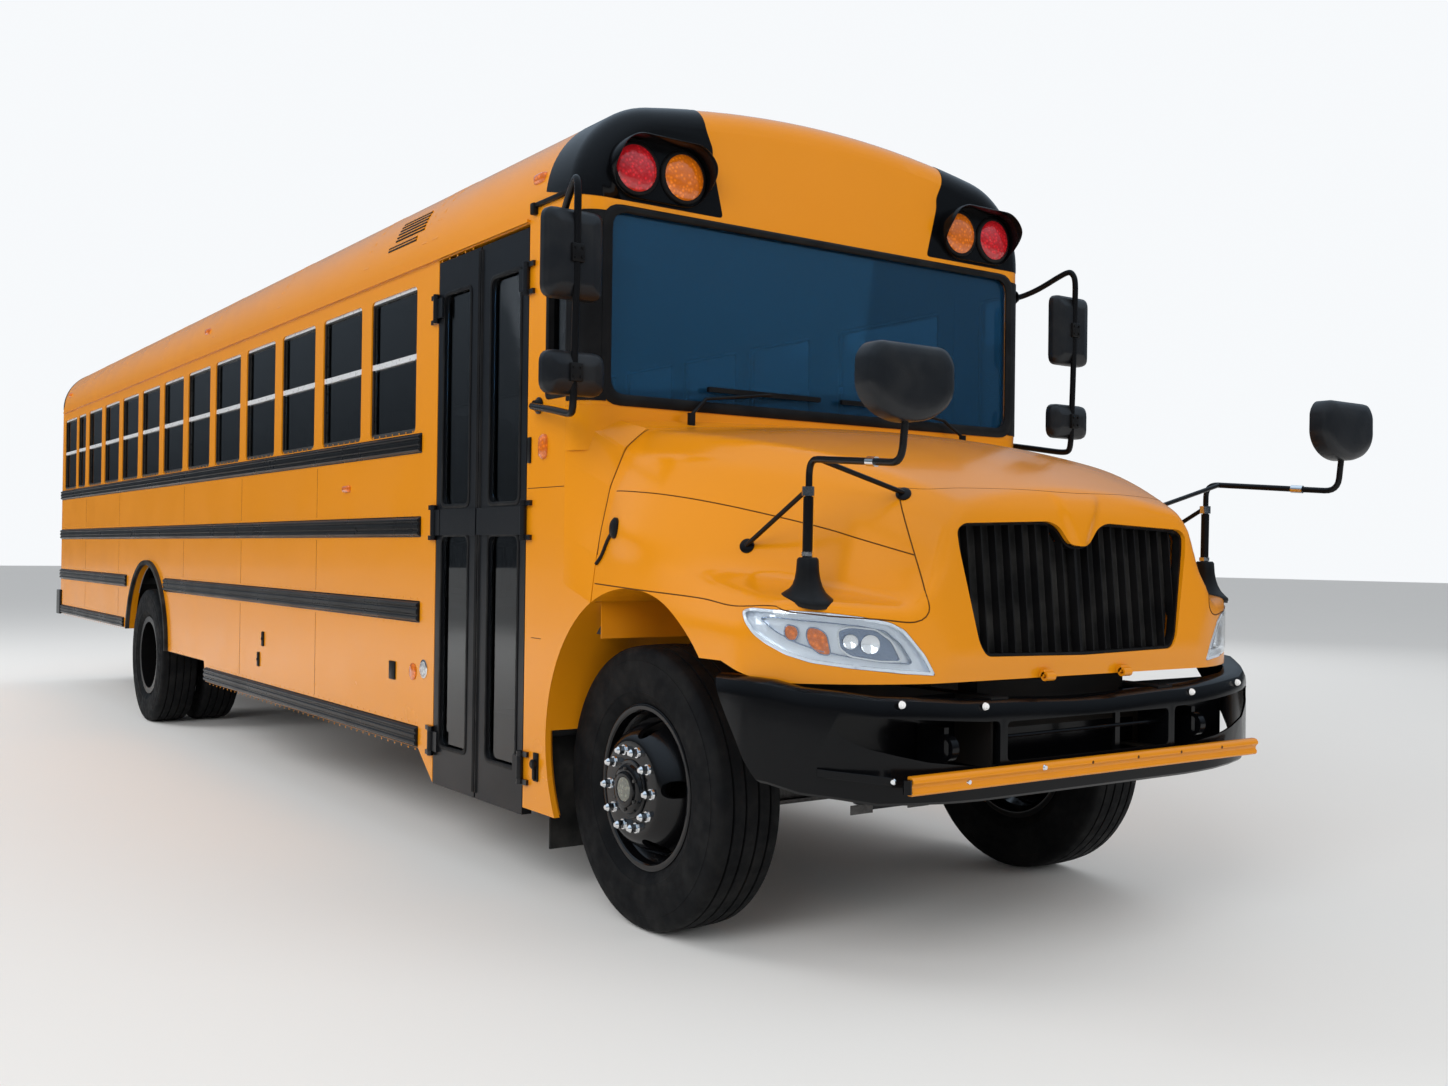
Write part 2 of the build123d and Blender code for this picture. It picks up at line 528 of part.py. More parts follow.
# Floor with its cross sills, rear wheel housings and the panels behind the front wheels
SILL_WIDTH = 60
SILL_COUNT = 12
SILL_PITCH = 760
FIRST_SILL_X = station(-1640)
HOUSING_HALF = 660
HOUSING_TOP_Z = 1310
HOUSING_Y = 570
HOUSING_WALL = 25
STEP_INNER_Y = -500
FLOOR_REAR_X = REAR_X + REAR_EDGE_R
PANEL_BACK_X = station(-600)
PANEL_THICK = 25
with BuildPart() as floor:
    add_box((FLOOR_REAR_X, COWL_RIDGE_X), (-INNER_Y, INNER_Y), (FLOOR_BOTTOM_Z, FLOOR_TOP_Z))
    add_box((COWL_RIDGE_X, COWL_FRONT_X), (-INNER_Y + 80, INNER_Y - 80), (FLOOR_BOTTOM_Z, FLOOR_TOP_Z))
    for i in range(SILL_COUNT):
        sill_x = FIRST_SILL_X - SILL_PITCH * i
        if abs(sill_x - REAR_AXLE_X) > HOUSING_HALF + SILL_WIDTH:
            add_box((sill_x - SILL_WIDTH, sill_x), (-INNER_Y, INNER_Y), (FRAME_TOP_Z, FLOOR_BOTTOM_Z))
        else:
            add_box((sill_x - SILL_WIDTH, sill_x), (-HOUSING_Y, HOUSING_Y), (FRAME_TOP_Z, FLOOR_BOTTOM_Z))
    add_box((PANEL_BACK_X, PANEL_BACK_X + SILL_WIDTH), (-FRAME_Y - 40, FRAME_Y + 40), (FRAME_TOP_Z, FLOOR_BOTTOM_Z))
    for side in (-1, 1):
        outer = sorted((side * HOUSING_Y, side * INNER_Y))
        inner = sorted((side * (HOUSING_Y + HOUSING_WALL), side * INNER_Y))
        add_box((REAR_AXLE_X - HOUSING_HALF, REAR_AXLE_X + HOUSING_HALF), outer, (FLOOR_BOTTOM_Z, HOUSING_TOP_Z))
        add_box((REAR_AXLE_X - HOUSING_HALF + HOUSING_WALL, REAR_AXLE_X + HOUSING_HALF - HOUSING_WALL), inner,
                (FLOOR_BOTTOM_Z - 1, HOUSING_TOP_Z - HOUSING_WALL), Mode.SUBTRACT)
        add_box((PANEL_BACK_X, PANEL_BACK_X + PANEL_THICK), sorted((side * 620, side * INNER_Y)),
                (COWL_SKIRT_Z + 10, FLOOR_BOTTOM_Z))
    add_box((DOOR_REAR_X, DOOR_FRONT_X), (-INNER_Y - 1, STEP_INNER_Y), (FRAME_TOP_Z - 1, FLOOR_TOP_Z + 1), Mode.SUBTRACT)
save(floor, "floor")

# Entrance steps: folded treads and risers between two end plates
STEP_BOTTOM_Z = 400
STEP_RISE = (FLOOR_TOP_Z - STEP_BOTTOM_Z) / 3
STEP_OUTER_Y = -(SKIN_Y - DOOR_THICK - 10)
STEP_SHEET = 25
STEP_DEPTH = (STEP_INNER_Y - STEP_SHEET - STEP_OUTER_Y) / 3
STEP_PLATE = 20
with BuildPart() as stepwell:
    top = [(STEP_OUTER_Y, STEP_BOTTOM_Z)]
    for i in range(1, 4):
        edge_y = STEP_OUTER_Y + STEP_DEPTH * i
        top += [(edge_y, STEP_BOTTOM_Z + STEP_RISE * (i - 1)), (edge_y, STEP_BOTTOM_Z + STEP_RISE * i)]
    under = [(y + STEP_SHEET, z - STEP_SHEET) for y, z in reversed(top[1:-1])]
    with BuildSketch(front_plane(DOOR_REAR_X + SEAT_GAP)):
        with BuildLine():
            Polyline(*top, (STEP_INNER_Y, FLOOR_TOP_Z), *under,
                     (STEP_OUTER_Y, STEP_BOTTOM_Z - STEP_SHEET), close=True)
        make_face()
    extrude(amount=DOOR_FRONT_X - DOOR_REAR_X - 2 * SEAT_GAP)
    for x in (DOOR_REAR_X + SEAT_GAP, DOOR_FRONT_X - SEAT_GAP - STEP_PLATE):
        add_box((x, x + STEP_PLATE), (STEP_OUTER_Y, STEP_INNER_Y), (STEP_BOTTOM_Z - STEP_SHEET, FLOOR_TOP_Z))
save(stepwell, "stepwell")

# Passenger benches on both sides, and the driver's seat
SEAT_PITCH = 725
SEAT_FIRST_X = station(-2350)
SEAT_ROWS = 12
SEAT_HIGH = FLOOR_TOP_Z + 300
SEAT_WALL_GAP = 12
AISLE_HALF = 185
# Side profile of a bench, measured back from its front edge and up from the cushion's underside.
BENCH = [(0, 0), (0, 110), (-40, 130), (-380, 105), (-470, 700), (-500, 730), (-545, 725), (-560, 690), (-480, 0)]


def add_bench(x, y):
    """Add a bench whose front edge is at x, between two Y values, on its aisle leg."""
    points = [(x + dx, SEAT_HIGH + dz) for dx, dz in BENCH]
    add_side_panel(points, (max(y), min(y)))
    leg_y = min(y, key=abs)
    leg = sorted((leg_y * 1.15, leg_y * 1.15 + math.copysign(35, leg_y)))
    add_box((x - 430, x - 60), leg, (FLOOR_TOP_Z, SEAT_HIGH))


for side, name in ((-1, "seats_right"), (1, "seats_left")):
    with BuildPart() as seats:
        for i in range(SEAT_ROWS):
            add_bench(SEAT_FIRST_X - SEAT_PITCH * i, (side * AISLE_HALF, side * (INNER_Y - SEAT_WALL_GAP)))
        if side > 0:
            add_bench(station(-1150), (330, 860))
    save(seats, name)

# Dashboard on a pedestal, with the steering column and wheel
DASH_X = (station(-500), COWL_RIDGE_X - 5)
COLUMN_START = (station(-430), 560, 1700)
COLUMN_END = (station(-760), 560, 1850)
WHEEL_RIM_R = 225
with BuildPart() as dashboard:
    add_side_panel([(DASH_X[0], 1560), (DASH_X[1], 1500), (DASH_X[1], 1880), (DASH_X[0] + 60, 1880),
                    (DASH_X[0], 1760)], (1110, -1110))
    add_box((DASH_X[0] + 60, DASH_X[1]), (-280, 280), (FLOOR_TOP_Z, 1700))
    add_rod(COLUMN_START, COLUMN_END, 32)
    column = (Vector(*COLUMN_END) - Vector(*COLUMN_START)).normalized()
    wheel_plane = Plane(origin=COLUMN_END, z_dir=column)
    with Locations(wheel_plane):
        Torus(WHEEL_RIM_R, 14)
    add_rod(tuple(Vector(*COLUMN_END) - column * 25), tuple(Vector(*COLUMN_END) + column * 20), 45)
    for angle in (10, 130, 250):
        spoke = wheel_plane.x_dir * math.cos(math.radians(angle)) + wheel_plane.y_dir * math.sin(math.radians(angle))
        add_rod(COLUMN_END, tuple(Vector(*COLUMN_END) + spoke * WHEEL_RIM_R), 10)
save(dashboard, "dashboard")

# Chassis frame: two channels tied by cross members, open towards the middle
FRAME_FRONT_X = BUMPER_FRONT_X - 25 - SEAT_GAP
REAR_BUMPER_OUT = 120
FRAME_REAR_X = REAR_X + SEAT_GAP
WEB_INNER_Y = FRAME_Y + FRAME_FLANGE / 2 - FRAME_WEB - SEAT_GAP
CROSS_MEMBERS = [1000, -1250, -2900, -4500, -6000, -8200, -10300]
TOW_EYE = (REAR_X + 120, 648)
TOW_EYE_R = 30
TOW_PLATE = 25
with BuildPart() as chassis_rails:
    for side in (-1, 1):
        web_y = side * (FRAME_Y + FRAME_FLANGE / 2)
        rail_y = sorted((side * (FRAME_Y - FRAME_FLANGE / 2), web_y))
        hollow_y = sorted((side * (FRAME_Y - FRAME_FLANGE / 2 - 1), web_y - side * FRAME_WEB))
        add_box((FRAME_REAR_X, FRAME_FRONT_X), rail_y, (FRAME_BOTTOM_Z, FRAME_TOP_Z))
        add_box((FRAME_REAR_X - 1, FRAME_FRONT_X + 1), hollow_y,
                (FRAME_BOTTOM_Z + FRAME_WEB, FRAME_TOP_Z - FRAME_WEB), Mode.SUBTRACT)
        # A tow eye hangs below the rear end of each rail.
        plate_y = (web_y, web_y - side * TOW_PLATE)
        add_rod((TOW_EYE[0], plate_y[0], TOW_EYE[1]), (TOW_EYE[0], plate_y[1], TOW_EYE[1]), TOW_EYE_R + 25)
        add_box((TOW_EYE[0] - 55, TOW_EYE[0] + 120), sorted(plate_y), (TOW_EYE[1], FRAME_BOTTOM_Z + FRAME_WEB))
        add_rod((TOW_EYE[0], plate_y[0] + side, TOW_EYE[1]), (TOW_EYE[0], plate_y[1] - side, TOW_EYE[1]), TOW_EYE_R,
                Mode.SUBTRACT)
save(chassis_rails, "chassis_rails")

with BuildPart() as cross_members:
    for distance in CROSS_MEMBERS:
        member_x = (station(distance) - 35, station(distance) + 35)
        add_box(member_x, (-WEB_INNER_Y, WEB_INNER_Y), (800, 900))
save(cross_members, "cross_members")

# Engine with its gearbox, as one plain block
with BuildPart() as engine_block:
    add_box((station(-90), station(760)), (-320, 320), (640, 1480))
    add_box((station(-950), station(-90)), (-210, 210), (640, 900))
    add_box((station(150), station(230)), (-FRAME_Y + 30, FRAME_Y - 30), (760, 860))
save(engine_block, "engine_block")

with BuildPart() as radiator:
    add_box((station(965), station(1035)), (-370, 370), (900.3, 1440))
    for z in (940, 1400):
        add_box((station(955), station(1045)), (-380, 380), (z - 25, z + 25))
save(radiator, "radiator")

# Driveline
SHAFT_START = (station(-960), 0, 735)
SHAFT_END = (REAR_AXLE_X + 340, 0, 585)
with BuildPart() as driveshaft:
    add_rod(SHAFT_START, SHAFT_END, 45)
    add_rod((station(-950.3), 0, SHAFT_START[2]), (station(-970), 0, SHAFT_START[2]), 65)
    add_rod((REAR_AXLE_X + 329.3, 0, SHAFT_END[2]), (REAR_AXLE_X + 350, 0, SHAFT_END[2]), 65)
    add_box((station(-2935), station(-2865)), (-60, 60), (640, 799.7))
save(driveshaft, "driveshaft")

# Exhaust: a pipe from the engine to the muffler, and a tail pipe that leaves on the left
PIPE_R = 50
EXHAUST_Z = 640
with BuildPart() as exhaust:
    add_tube([(station(-760), 210.3, EXHAUST_Z), (station(-760), 750, EXHAUST_Z),
              (station(-3200), 750, EXHAUST_Z)], 60, PIPE_R)
    add_rod((station(-3150), 750, 700), (station(-4400), 750, 700), 130)
    add_tube([(station(-4390), 750, EXHAUST_Z), (station(-5700), 750, EXHAUST_Z), (station(-5700), 1130, 560)], 120, PIPE_R)
    for x in (FIRST_SILL_X - 2 * SILL_PITCH - 30, FIRST_SILL_X - 3 * SILL_PITCH - 30, FIRST_SILL_X - 5 * SILL_PITCH - 30):
        add_box((x - 15, x + 15), (735, 765), (EXHAUST_Z, FRAME_TOP_Z - SEAT_GAP))
save(exhaust, "exhaust")

# Fuel tank between the frame rails behind the rear axle, held by two straps
TANK_X = (station(-9900), station(-8400))
with BuildPart() as fuel_tank:
    add_box(TANK_X, (-350, 350), (480, 880))
    fillet(fuel_tank.edges().filter_by(Axis.X), 60)
    for x in (TANK_X[0] + 250, TANK_X[1] - 250):
        add_box((x - 30, x + 30), (-WEB_INNER_Y, WEB_INNER_Y), (820, 892))
save(fuel_tank, "fuel_tank")


# Front axle beam with its leaf springs, and the rear axle with its springs and differential
SPRING_HALF = 650
SPRING_DEPTH = 75


def add_springs(axle_x, seat_z, half):
    """Add the pair of leaf springs that seat on an axle at seat_z and end below the frame rails."""
    eye_z = FRAME_BOTTOM_Z - SEAT_GAP
    for side in (-1, 1):
        spring_y = side * FRAME_Y + SPRING_WIDTH / 2
        with BuildSketch(side_plane(spring_y)) as leaf:
            with BuildLine():
                ThreePointArc((axle_x - half, eye_z), (axle_x, seat_z + SPRING_DEPTH), (axle_x + half, eye_z))
                Line((axle_x + half, eye_z), (axle_x + half, eye_z - 18))
                ThreePointArc((axle_x + half, eye_z - 18), (axle_x, seat_z - 2), (axle_x - half, eye_z - 18))
                Line((axle_x - half, eye_z - 18), (axle_x - half, eye_z))
            make_face()
        extrude(leaf.sketch, amount=SPRING_WIDTH)


BEAM_HALF_X = 45
with BuildPart() as front_axle:
    with BuildSketch(front_plane(FRONT_AXLE_X - BEAM_HALF_X)):
        with BuildLine():
            Polyline((-KINGPIN_Y + 20, 490), (-740, 470), (-600, 410), (600, 410), (740, 470), (KINGPIN_Y - 20, 490),
                     (KINGPIN_Y - 20, 560), (740, 545), (600, AXLE_BEAM_TOP_Z), (-600, AXLE_BEAM_TOP_Z),
                     (-740, 545), (-KINGPIN_Y + 20, 560), close=True)
        make_face()
    extrude(amount=2 * BEAM_HALF_X)
    for x in (FRONT_AXLE_X - BEAM_HALF_X, FRONT_AXLE_X + BEAM_HALF_X):
        pocket = sorted((x, x + math.copysign(30, FRONT_AXLE_X - x)))
        add_box(pocket, (-590, 590), (425, AXLE_BEAM_TOP_Z - 15), Mode.SUBTRACT)
    for side in (-1, 1):
        y = side * KINGPIN_Y
        ends = sorted((side * (KINGPIN_Y - 60), side * (KINGPIN_Y + 60)))
        for low_x, high_x in ((-BEAM_HALF_X - 1, -KINGPIN_BOSS_R + 4), (KINGPIN_BOSS_R - 4, BEAM_HALF_X + 1)):
            add_box((FRONT_AXLE_X + low_x, FRONT_AXLE_X + high_x), ends, (400, 600), Mode.SUBTRACT)
        low, high = TYRE_R - STEER_EYE_HALF, TYRE_R + STEER_EYE_HALF
        add_rod((FRONT_AXLE_X, y, low), (FRONT_AXLE_X, y, high), KINGPIN_BOSS_R)
        add_rod((FRONT_AXLE_X, y, low - 1), (FRONT_AXLE_X, y, high + 1), KINGPIN_R + RUN_GAP, Mode.SUBTRACT)
    add_springs(FRONT_AXLE_X, AXLE_BEAM_TOP_Z, SPRING_HALF)
save(front_axle, "front_axle")

HUB_TUBE_Y = 690
with BuildPart() as rear_axle:
    add_rod((REAR_AXLE_X, -HUB_TUBE_Y, TYRE_R), (REAR_AXLE_X, HUB_TUBE_Y, TYRE_R), AXLE_TUBE_R)
    add_rod((REAR_AXLE_X, -REAR_WHEEL_Y - 110, TYRE_R), (REAR_AXLE_X, REAR_WHEEL_Y + 110, TYRE_R), REAR_SPINDLE_R)
    with Locations((REAR_AXLE_X, 0, TYRE_R)):
        Sphere(190)
    add_rod((REAR_AXLE_X, 0, 585), (REAR_AXLE_X + 329, 0, 585), 75)
    for side in (-1, 1):
        y = sorted((side * (HUB_TUBE_Y - 16), side * (HUB_TUBE_Y - 6)))
        add_rod((REAR_AXLE_X, y[0], TYRE_R), (REAR_AXLE_X, y[1], TYRE_R), DRUM_R)
    add_springs(REAR_AXLE_X, TYRE_R + AXLE_TUBE_R - 5, SPRING_HALF)
save(rear_axle, "rear_axle")

# Front bumper: a bent channel with two side openings and one in the middle
BUMPER_THICK = 25
BUMPER_Z = (560, 960)
BUMPER_FLAT_Y = 700
BUMPER_END = (station(900), 1245)
GATE_AXIS = (BUMPER_FRONT_X + 43, -900)
GATE_Z = (645, 715)
GATE_LENGTH = 1840
GATE_THICK = 22
HOOD_EAR_Y = 200
HOOD_EAR = 12
HOOD_LUG_HALF = 22


def bumper_plan(inset):
    """Draw the bumper's closed plan, moved inwards by inset, in the open sketch."""
    front = BUMPER_FRONT_X - inset
    end_x, end_y = BUMPER_END
    middle = (station(1120) - inset, 1040 - inset * 0.3)
    with BuildLine() as outline:
        Line((end_x, -end_y + inset), (end_x, end_y - inset))
        ThreePointArc((end_x, end_y - inset), middle, (front, BUMPER_FLAT_Y))
        Line((front, BUMPER_FLAT_Y), (front, -BUMPER_FLAT_Y))
        ThreePointArc((front, -BUMPER_FLAT_Y), (middle[0], -middle[1]), (end_x, -end_y + inset))
    make_face(outline.edges())


with BuildPart() as front_bumper:
    with BuildSketch(Plane.XY.offset(BUMPER_Z[0])):
        bumper_plan(0)
    extrude(amount=BUMPER_Z[1] - BUMPER_Z[0])
    with BuildSketch(Plane.XY.offset(BUMPER_Z[0] - 1)):
        bumper_plan(BUMPER_THICK)
        with Locations((BUMPER_END[0] - 100, 0)):
            Rectangle(204, 2 * BUMPER_END[1])
    extrude(amount=BUMPER_Z[1] - BUMPER_Z[0] + 2, mode=Mode.SUBTRACT)
    # The lower edge rises towards both ends.
    for side in (-1, 1):
        with BuildSketch(front_plane(BUMPER_END[0] - 1)):
            with BuildLine():
                Polyline((side * 950, BUMPER_Z[0] - 1), (side * 1260, BUMPER_Z[0] + 80), (side * 1260, BUMPER_Z[0] - 1),
                         close=True)
            make_face()
        extrude(amount=BUMPER_FRONT_X - BUMPER_END[0] + 2, mode=Mode.SUBTRACT)
    with BuildSketch(front_plane(BUMPER_END[0])):
        for y in (-800, 800):
            with Locations((y, 800)):
                SlotOverall(380, 140)
    extrude(amount=BUMPER_FRONT_X - BUMPER_END[0] + 2, mode=Mode.SUBTRACT)
    with BuildSketch(front_plane(BUMPER_END[0])):
        for z in (765, 838):
            with Locations((0, z)):
                SlotOverall(820, 58)
    extrude(amount=BUMPER_FRONT_X - BUMPER_END[0] + 2, mode=Mode.SUBTRACT)
    # Ears and pins that carry the tilting hood.
    hood_x, hood_z = HOOD_HINGE
    for y in (-HOOD_EAR_Y, HOOD_EAR_Y):
        for ear_y in ((y - HOOD_LUG_HALF - HOOD_EAR, y - HOOD_LUG_HALF - 0.5),
                      (y + HOOD_LUG_HALF + 0.5, y + HOOD_LUG_HALF + HOOD_EAR)):
            add_box((hood_x - 22, hood_x + 18), ear_y, (BUMPER_Z[1] - 20, hood_z))
            add_rod((hood_x, ear_y[0], hood_z), (hood_x, ear_y[1], hood_z), 18)
        add_rod((hood_x, y - HOOD_LUG_HALF - 1, hood_z), (hood_x, y + HOOD_LUG_HALF + 1, hood_z), PIN_R)
    # Ears and pin of the crossing gate, on the right end.
    gate_x, gate_y = GATE_AXIS
    for z in ((GATE_Z[0] - 14, GATE_Z[0] - 0.5), (GATE_Z[1] + 0.5, GATE_Z[1] + 14)):
        add_box((BUMPER_FRONT_X - 60, gate_x), (gate_y - 22, gate_y + 22), z)
        add_rod((gate_x, gate_y, z[0]), (gate_x, gate_y, z[1]), 22)
    add_rod((gate_x, gate_y, GATE_Z[0] - 1), (gate_x, gate_y, GATE_Z[1] + 1), PIN_R)
    add_box((BUMPER_FRONT_X - 60, BUMPER_FRONT_X - 4), (gate_y - 22, gate_y + 22), (GATE_Z[0] - 14, GATE_Z[1] + 14))
save(front_bumper, "front_bumper")

# Crossing gate: a long flat bar that swings forward from the bumper's right end
with BuildPart() as crossing_gate:
    gate_x, gate_y = GATE_AXIS
    add_rod((gate_x, gate_y, GATE_Z[0]), (gate_x, gate_y, GATE_Z[1]), 16)
    add_box((gate_x - GATE_THICK / 2, gate_x + GATE_THICK / 2), (gate_y, gate_y + GATE_LENGTH), GATE_Z)
    with BuildSketch(front_plane(gate_x - GATE_THICK / 2 - 1)):
        for i in range(4):
            with Locations((gate_y + 330 + 380 * i, sum(GATE_Z) / 2)):
                SlotOverall(260, 30)
    extrude(amount=GATE_THICK / 2 + 2, mode=Mode.SUBTRACT)
    add_rod((gate_x, gate_y, GATE_Z[0] - 1), (gate_x, gate_y, GATE_Z[1] + 1), PIN_R + RUN_GAP, Mode.SUBTRACT)
save(crossing_gate, "crossing_gate")

# Stop arm: an octagonal plate folded against the left wall
with BuildPart() as stop_arm:
    plate_x = STOP_HINGE_X - 30 - STOP_ACROSS / 2
    with BuildSketch(side_plane(STOP_HINGE_Y + STOP_PLATE / 2)):
        with Locations((plate_x, STOP_CENTER_Z)):
            RegularPolygon(STOP_ACROSS / 2, 8, major_radius=False, rotation=22.5)
    extrude(amount=STOP_PLATE)
    low, high = STOP_EAR_Z[0][1] + 0.5, STOP_EAR_Z[1][0] - 0.5
    add_box((STOP_HINGE_X - 60, STOP_HINGE_X), (STOP_HINGE_Y - 6, STOP_HINGE_Y + 6), (low, high))
    add_rod((STOP_HINGE_X, STOP_HINGE_Y, low), (STOP_HINGE_X, STOP_HINGE_Y, high), KNUCKLE_R)
    add_rod((STOP_HINGE_X, STOP_HINGE_Y, low - 1), (STOP_HINGE_X, STOP_HINGE_Y, high + 1), PIN_R + RUN_GAP, Mode.SUBTRACT)
    for z in (STOP_CENTER_Z - 150, STOP_CENTER_Z + 150):
        add_rod((plate_x, STOP_HINGE_Y - 18, z), (plate_x, STOP_HINGE_Y + 18, z), 45)
save(stop_arm, "stop_arm")

# Rear bumper: a channel that wraps both corners
REAR_BUMPER_Z = (690, FRAME_TOP_Z)
REAR_BUMPER_SHEET = 12
REAR_BUMPER_Y = SKIN_Y + SEAT_GAP + 16
with BuildPart() as rear_bumper:
    with BuildSketch(Plane.XY.offset(REAR_BUMPER_Z[0])):
        with Locations((REAR_X - REAR_BUMPER_OUT / 2 + 80, 0)):
            RectangleRounded(REAR_BUMPER_OUT + 160, 2 * REAR_BUMPER_Y, 70)
    extrude(amount=REAR_BUMPER_Z[1] - REAR_BUMPER_Z[0])
    add_box((REAR_X + REAR_SHELL_DEPTH - 30, REAR_X + 300), (-REAR_BUMPER_Y - 1, REAR_BUMPER_Y + 1), (600, 1000), Mode.SUBTRACT)
    add_box((REAR_X - REAR_BUMPER_OUT + REAR_BUMPER_SHEET, REAR_X + 300), (-SKIN_Y - SEAT_GAP, SKIN_Y + SEAT_GAP),
            (REAR_BUMPER_Z[0] + REAR_BUMPER_SHEET, REAR_BUMPER_Z[1] - REAR_BUMPER_SHEET), Mode.SUBTRACT)
    add_box((REAR_X, REAR_X + 300), (-SKIN_Y - SEAT_GAP, SKIN_Y + SEAT_GAP), (600, 1000), Mode.SUBTRACT)
    for side in (-1, 1):
        rail_y = sorted((side * (FRAME_Y - FRAME_FLANGE / 2 + 10), side * (FRAME_Y + FRAME_FLANGE / 2)))
        add_box((REAR_X - REAR_BUMPER_OUT + 4, REAR_X), rail_y, (FRAME_BOTTOM_Z, FRAME_TOP_Z - 4))
save(rear_bumper, "rear_bumper")

# Rubber mudflaps behind the front and rear wheels
FLAP_THICK = 10
REAR_FLAP_X = REAR_AXLE_X - HOUSING_HALF + 8
FRONT_FLAP_INNER_Y = 640
REAR_FLAP_INNER_Y = 620
FLAP_FOOT_Z = 190
with BuildPart() as mudflaps:
    for side in (-1, 1):
        front_y = sorted((side * FRONT_FLAP_INNER_Y, side * (SKIN_Y - 79)))
        panel_face = PANEL_BACK_X + PANEL_THICK
        add_box((panel_face, panel_face + FLAP_THICK), front_y, (FLAP_FOOT_Z, 640))
        rear_y = sorted((side * REAR_FLAP_INNER_Y, side * (SKIN_Y - 59)))
        add_box((REAR_FLAP_X, REAR_FLAP_X + FLAP_THICK), rear_y,
                (FLAP_FOOT_Z, FLOOR_BOTTOM_Z - SEAT_GAP))
save(mudflaps, "mudflaps")

# Flared rubber lips around the rear wheel arches
with BuildPart() as rear_fender_lips:
    arch_x, arch_z, arch_r = REAR_ARCH
    for side in (-1, 1):
        y = (side * (SKIN_Y + SEAT_GAP), side * (SKIN_Y + 26))
        add_rod((arch_x, y[0], arch_z), (arch_x, y[1], arch_z), arch_r + ARCH_LIP)
        add_rod((arch_x, y[0] - side, arch_z), (arch_x, y[1] + side, arch_z), arch_r - 4, Mode.SUBTRACT)
    reach = arch_r + 2 * ARCH_LIP
    add_box((arch_x - reach, arch_x + reach), (-SKIN_Y - 40, SKIN_Y + 40), (-100, MID_SKIRT_Z), Mode.SUBTRACT)
    add_box((arch_x - reach, arch_x), (-SKIN_Y - 40, SKIN_Y + 40), (-100, REAR_SKIRT_Z), Mode.SUBTRACT)
save(rear_fender_lips, "rear_fender_lips")

# Rub rails: ribbed strips along both sides
RAIL_PROUD = 18
# One row for each strip: bottom, top, front station and rear station.
RAILS = [
    (1845, 1940, -1735, -11000),
    (1448, 1547, -1735, -11000),
    (1046, 1148, -1735, -6650),
    (1046, 1148, -7950, -11000),
    (462, 560, -1735, -5455),
    (702, 787, -8030, -10900),
]
with BuildPart() as rub_rails:
    for side in (-1, 1):
        y0 = SKIN_Y + SEAT_GAP
        for low, high, front, rear in RAILS:
            mid = (low + high) / 2
            half = (high - low) / 2
            section = [(y0, -half), (y0 + RAIL_PROUD - 5, -half + 4), (y0 + RAIL_PROUD, -half + 14),
                       (y0 + RAIL_PROUD, -14), (y0 + 7, -6), (y0 + 7, 6), (y0 + RAIL_PROUD, 14),
                       (y0 + RAIL_PROUD, half - 14), (y0 + RAIL_PROUD - 5, half - 4), (y0, half)]
            front_x = station(front)
            if side > 0 and low == RAILS[0][0]:
                front_x = station(-700)
            with BuildSketch(front_plane(max(station(rear), REAR_X + REAR_EDGE_R))):
                with BuildLine():
                    Polyline(*[(side * y, mid + z) for y, z in section], close=True)
                make_face()
            extrude(amount=front_x - max(station(rear), REAR_X + REAR_EDGE_R))
save(rub_rails, "rub_rails")

# Entrance door: two leaves that meet in the middle, each with an upper and a lower pane
LEAF_SPLIT_X = (DOOR_REAR_X + DOOR_FRONT_X) / 2
PANE_UPPER_Z = (1590, 2550)
PANE_LOWER_Z = (500, 1456)
PANE_CORNER = 50
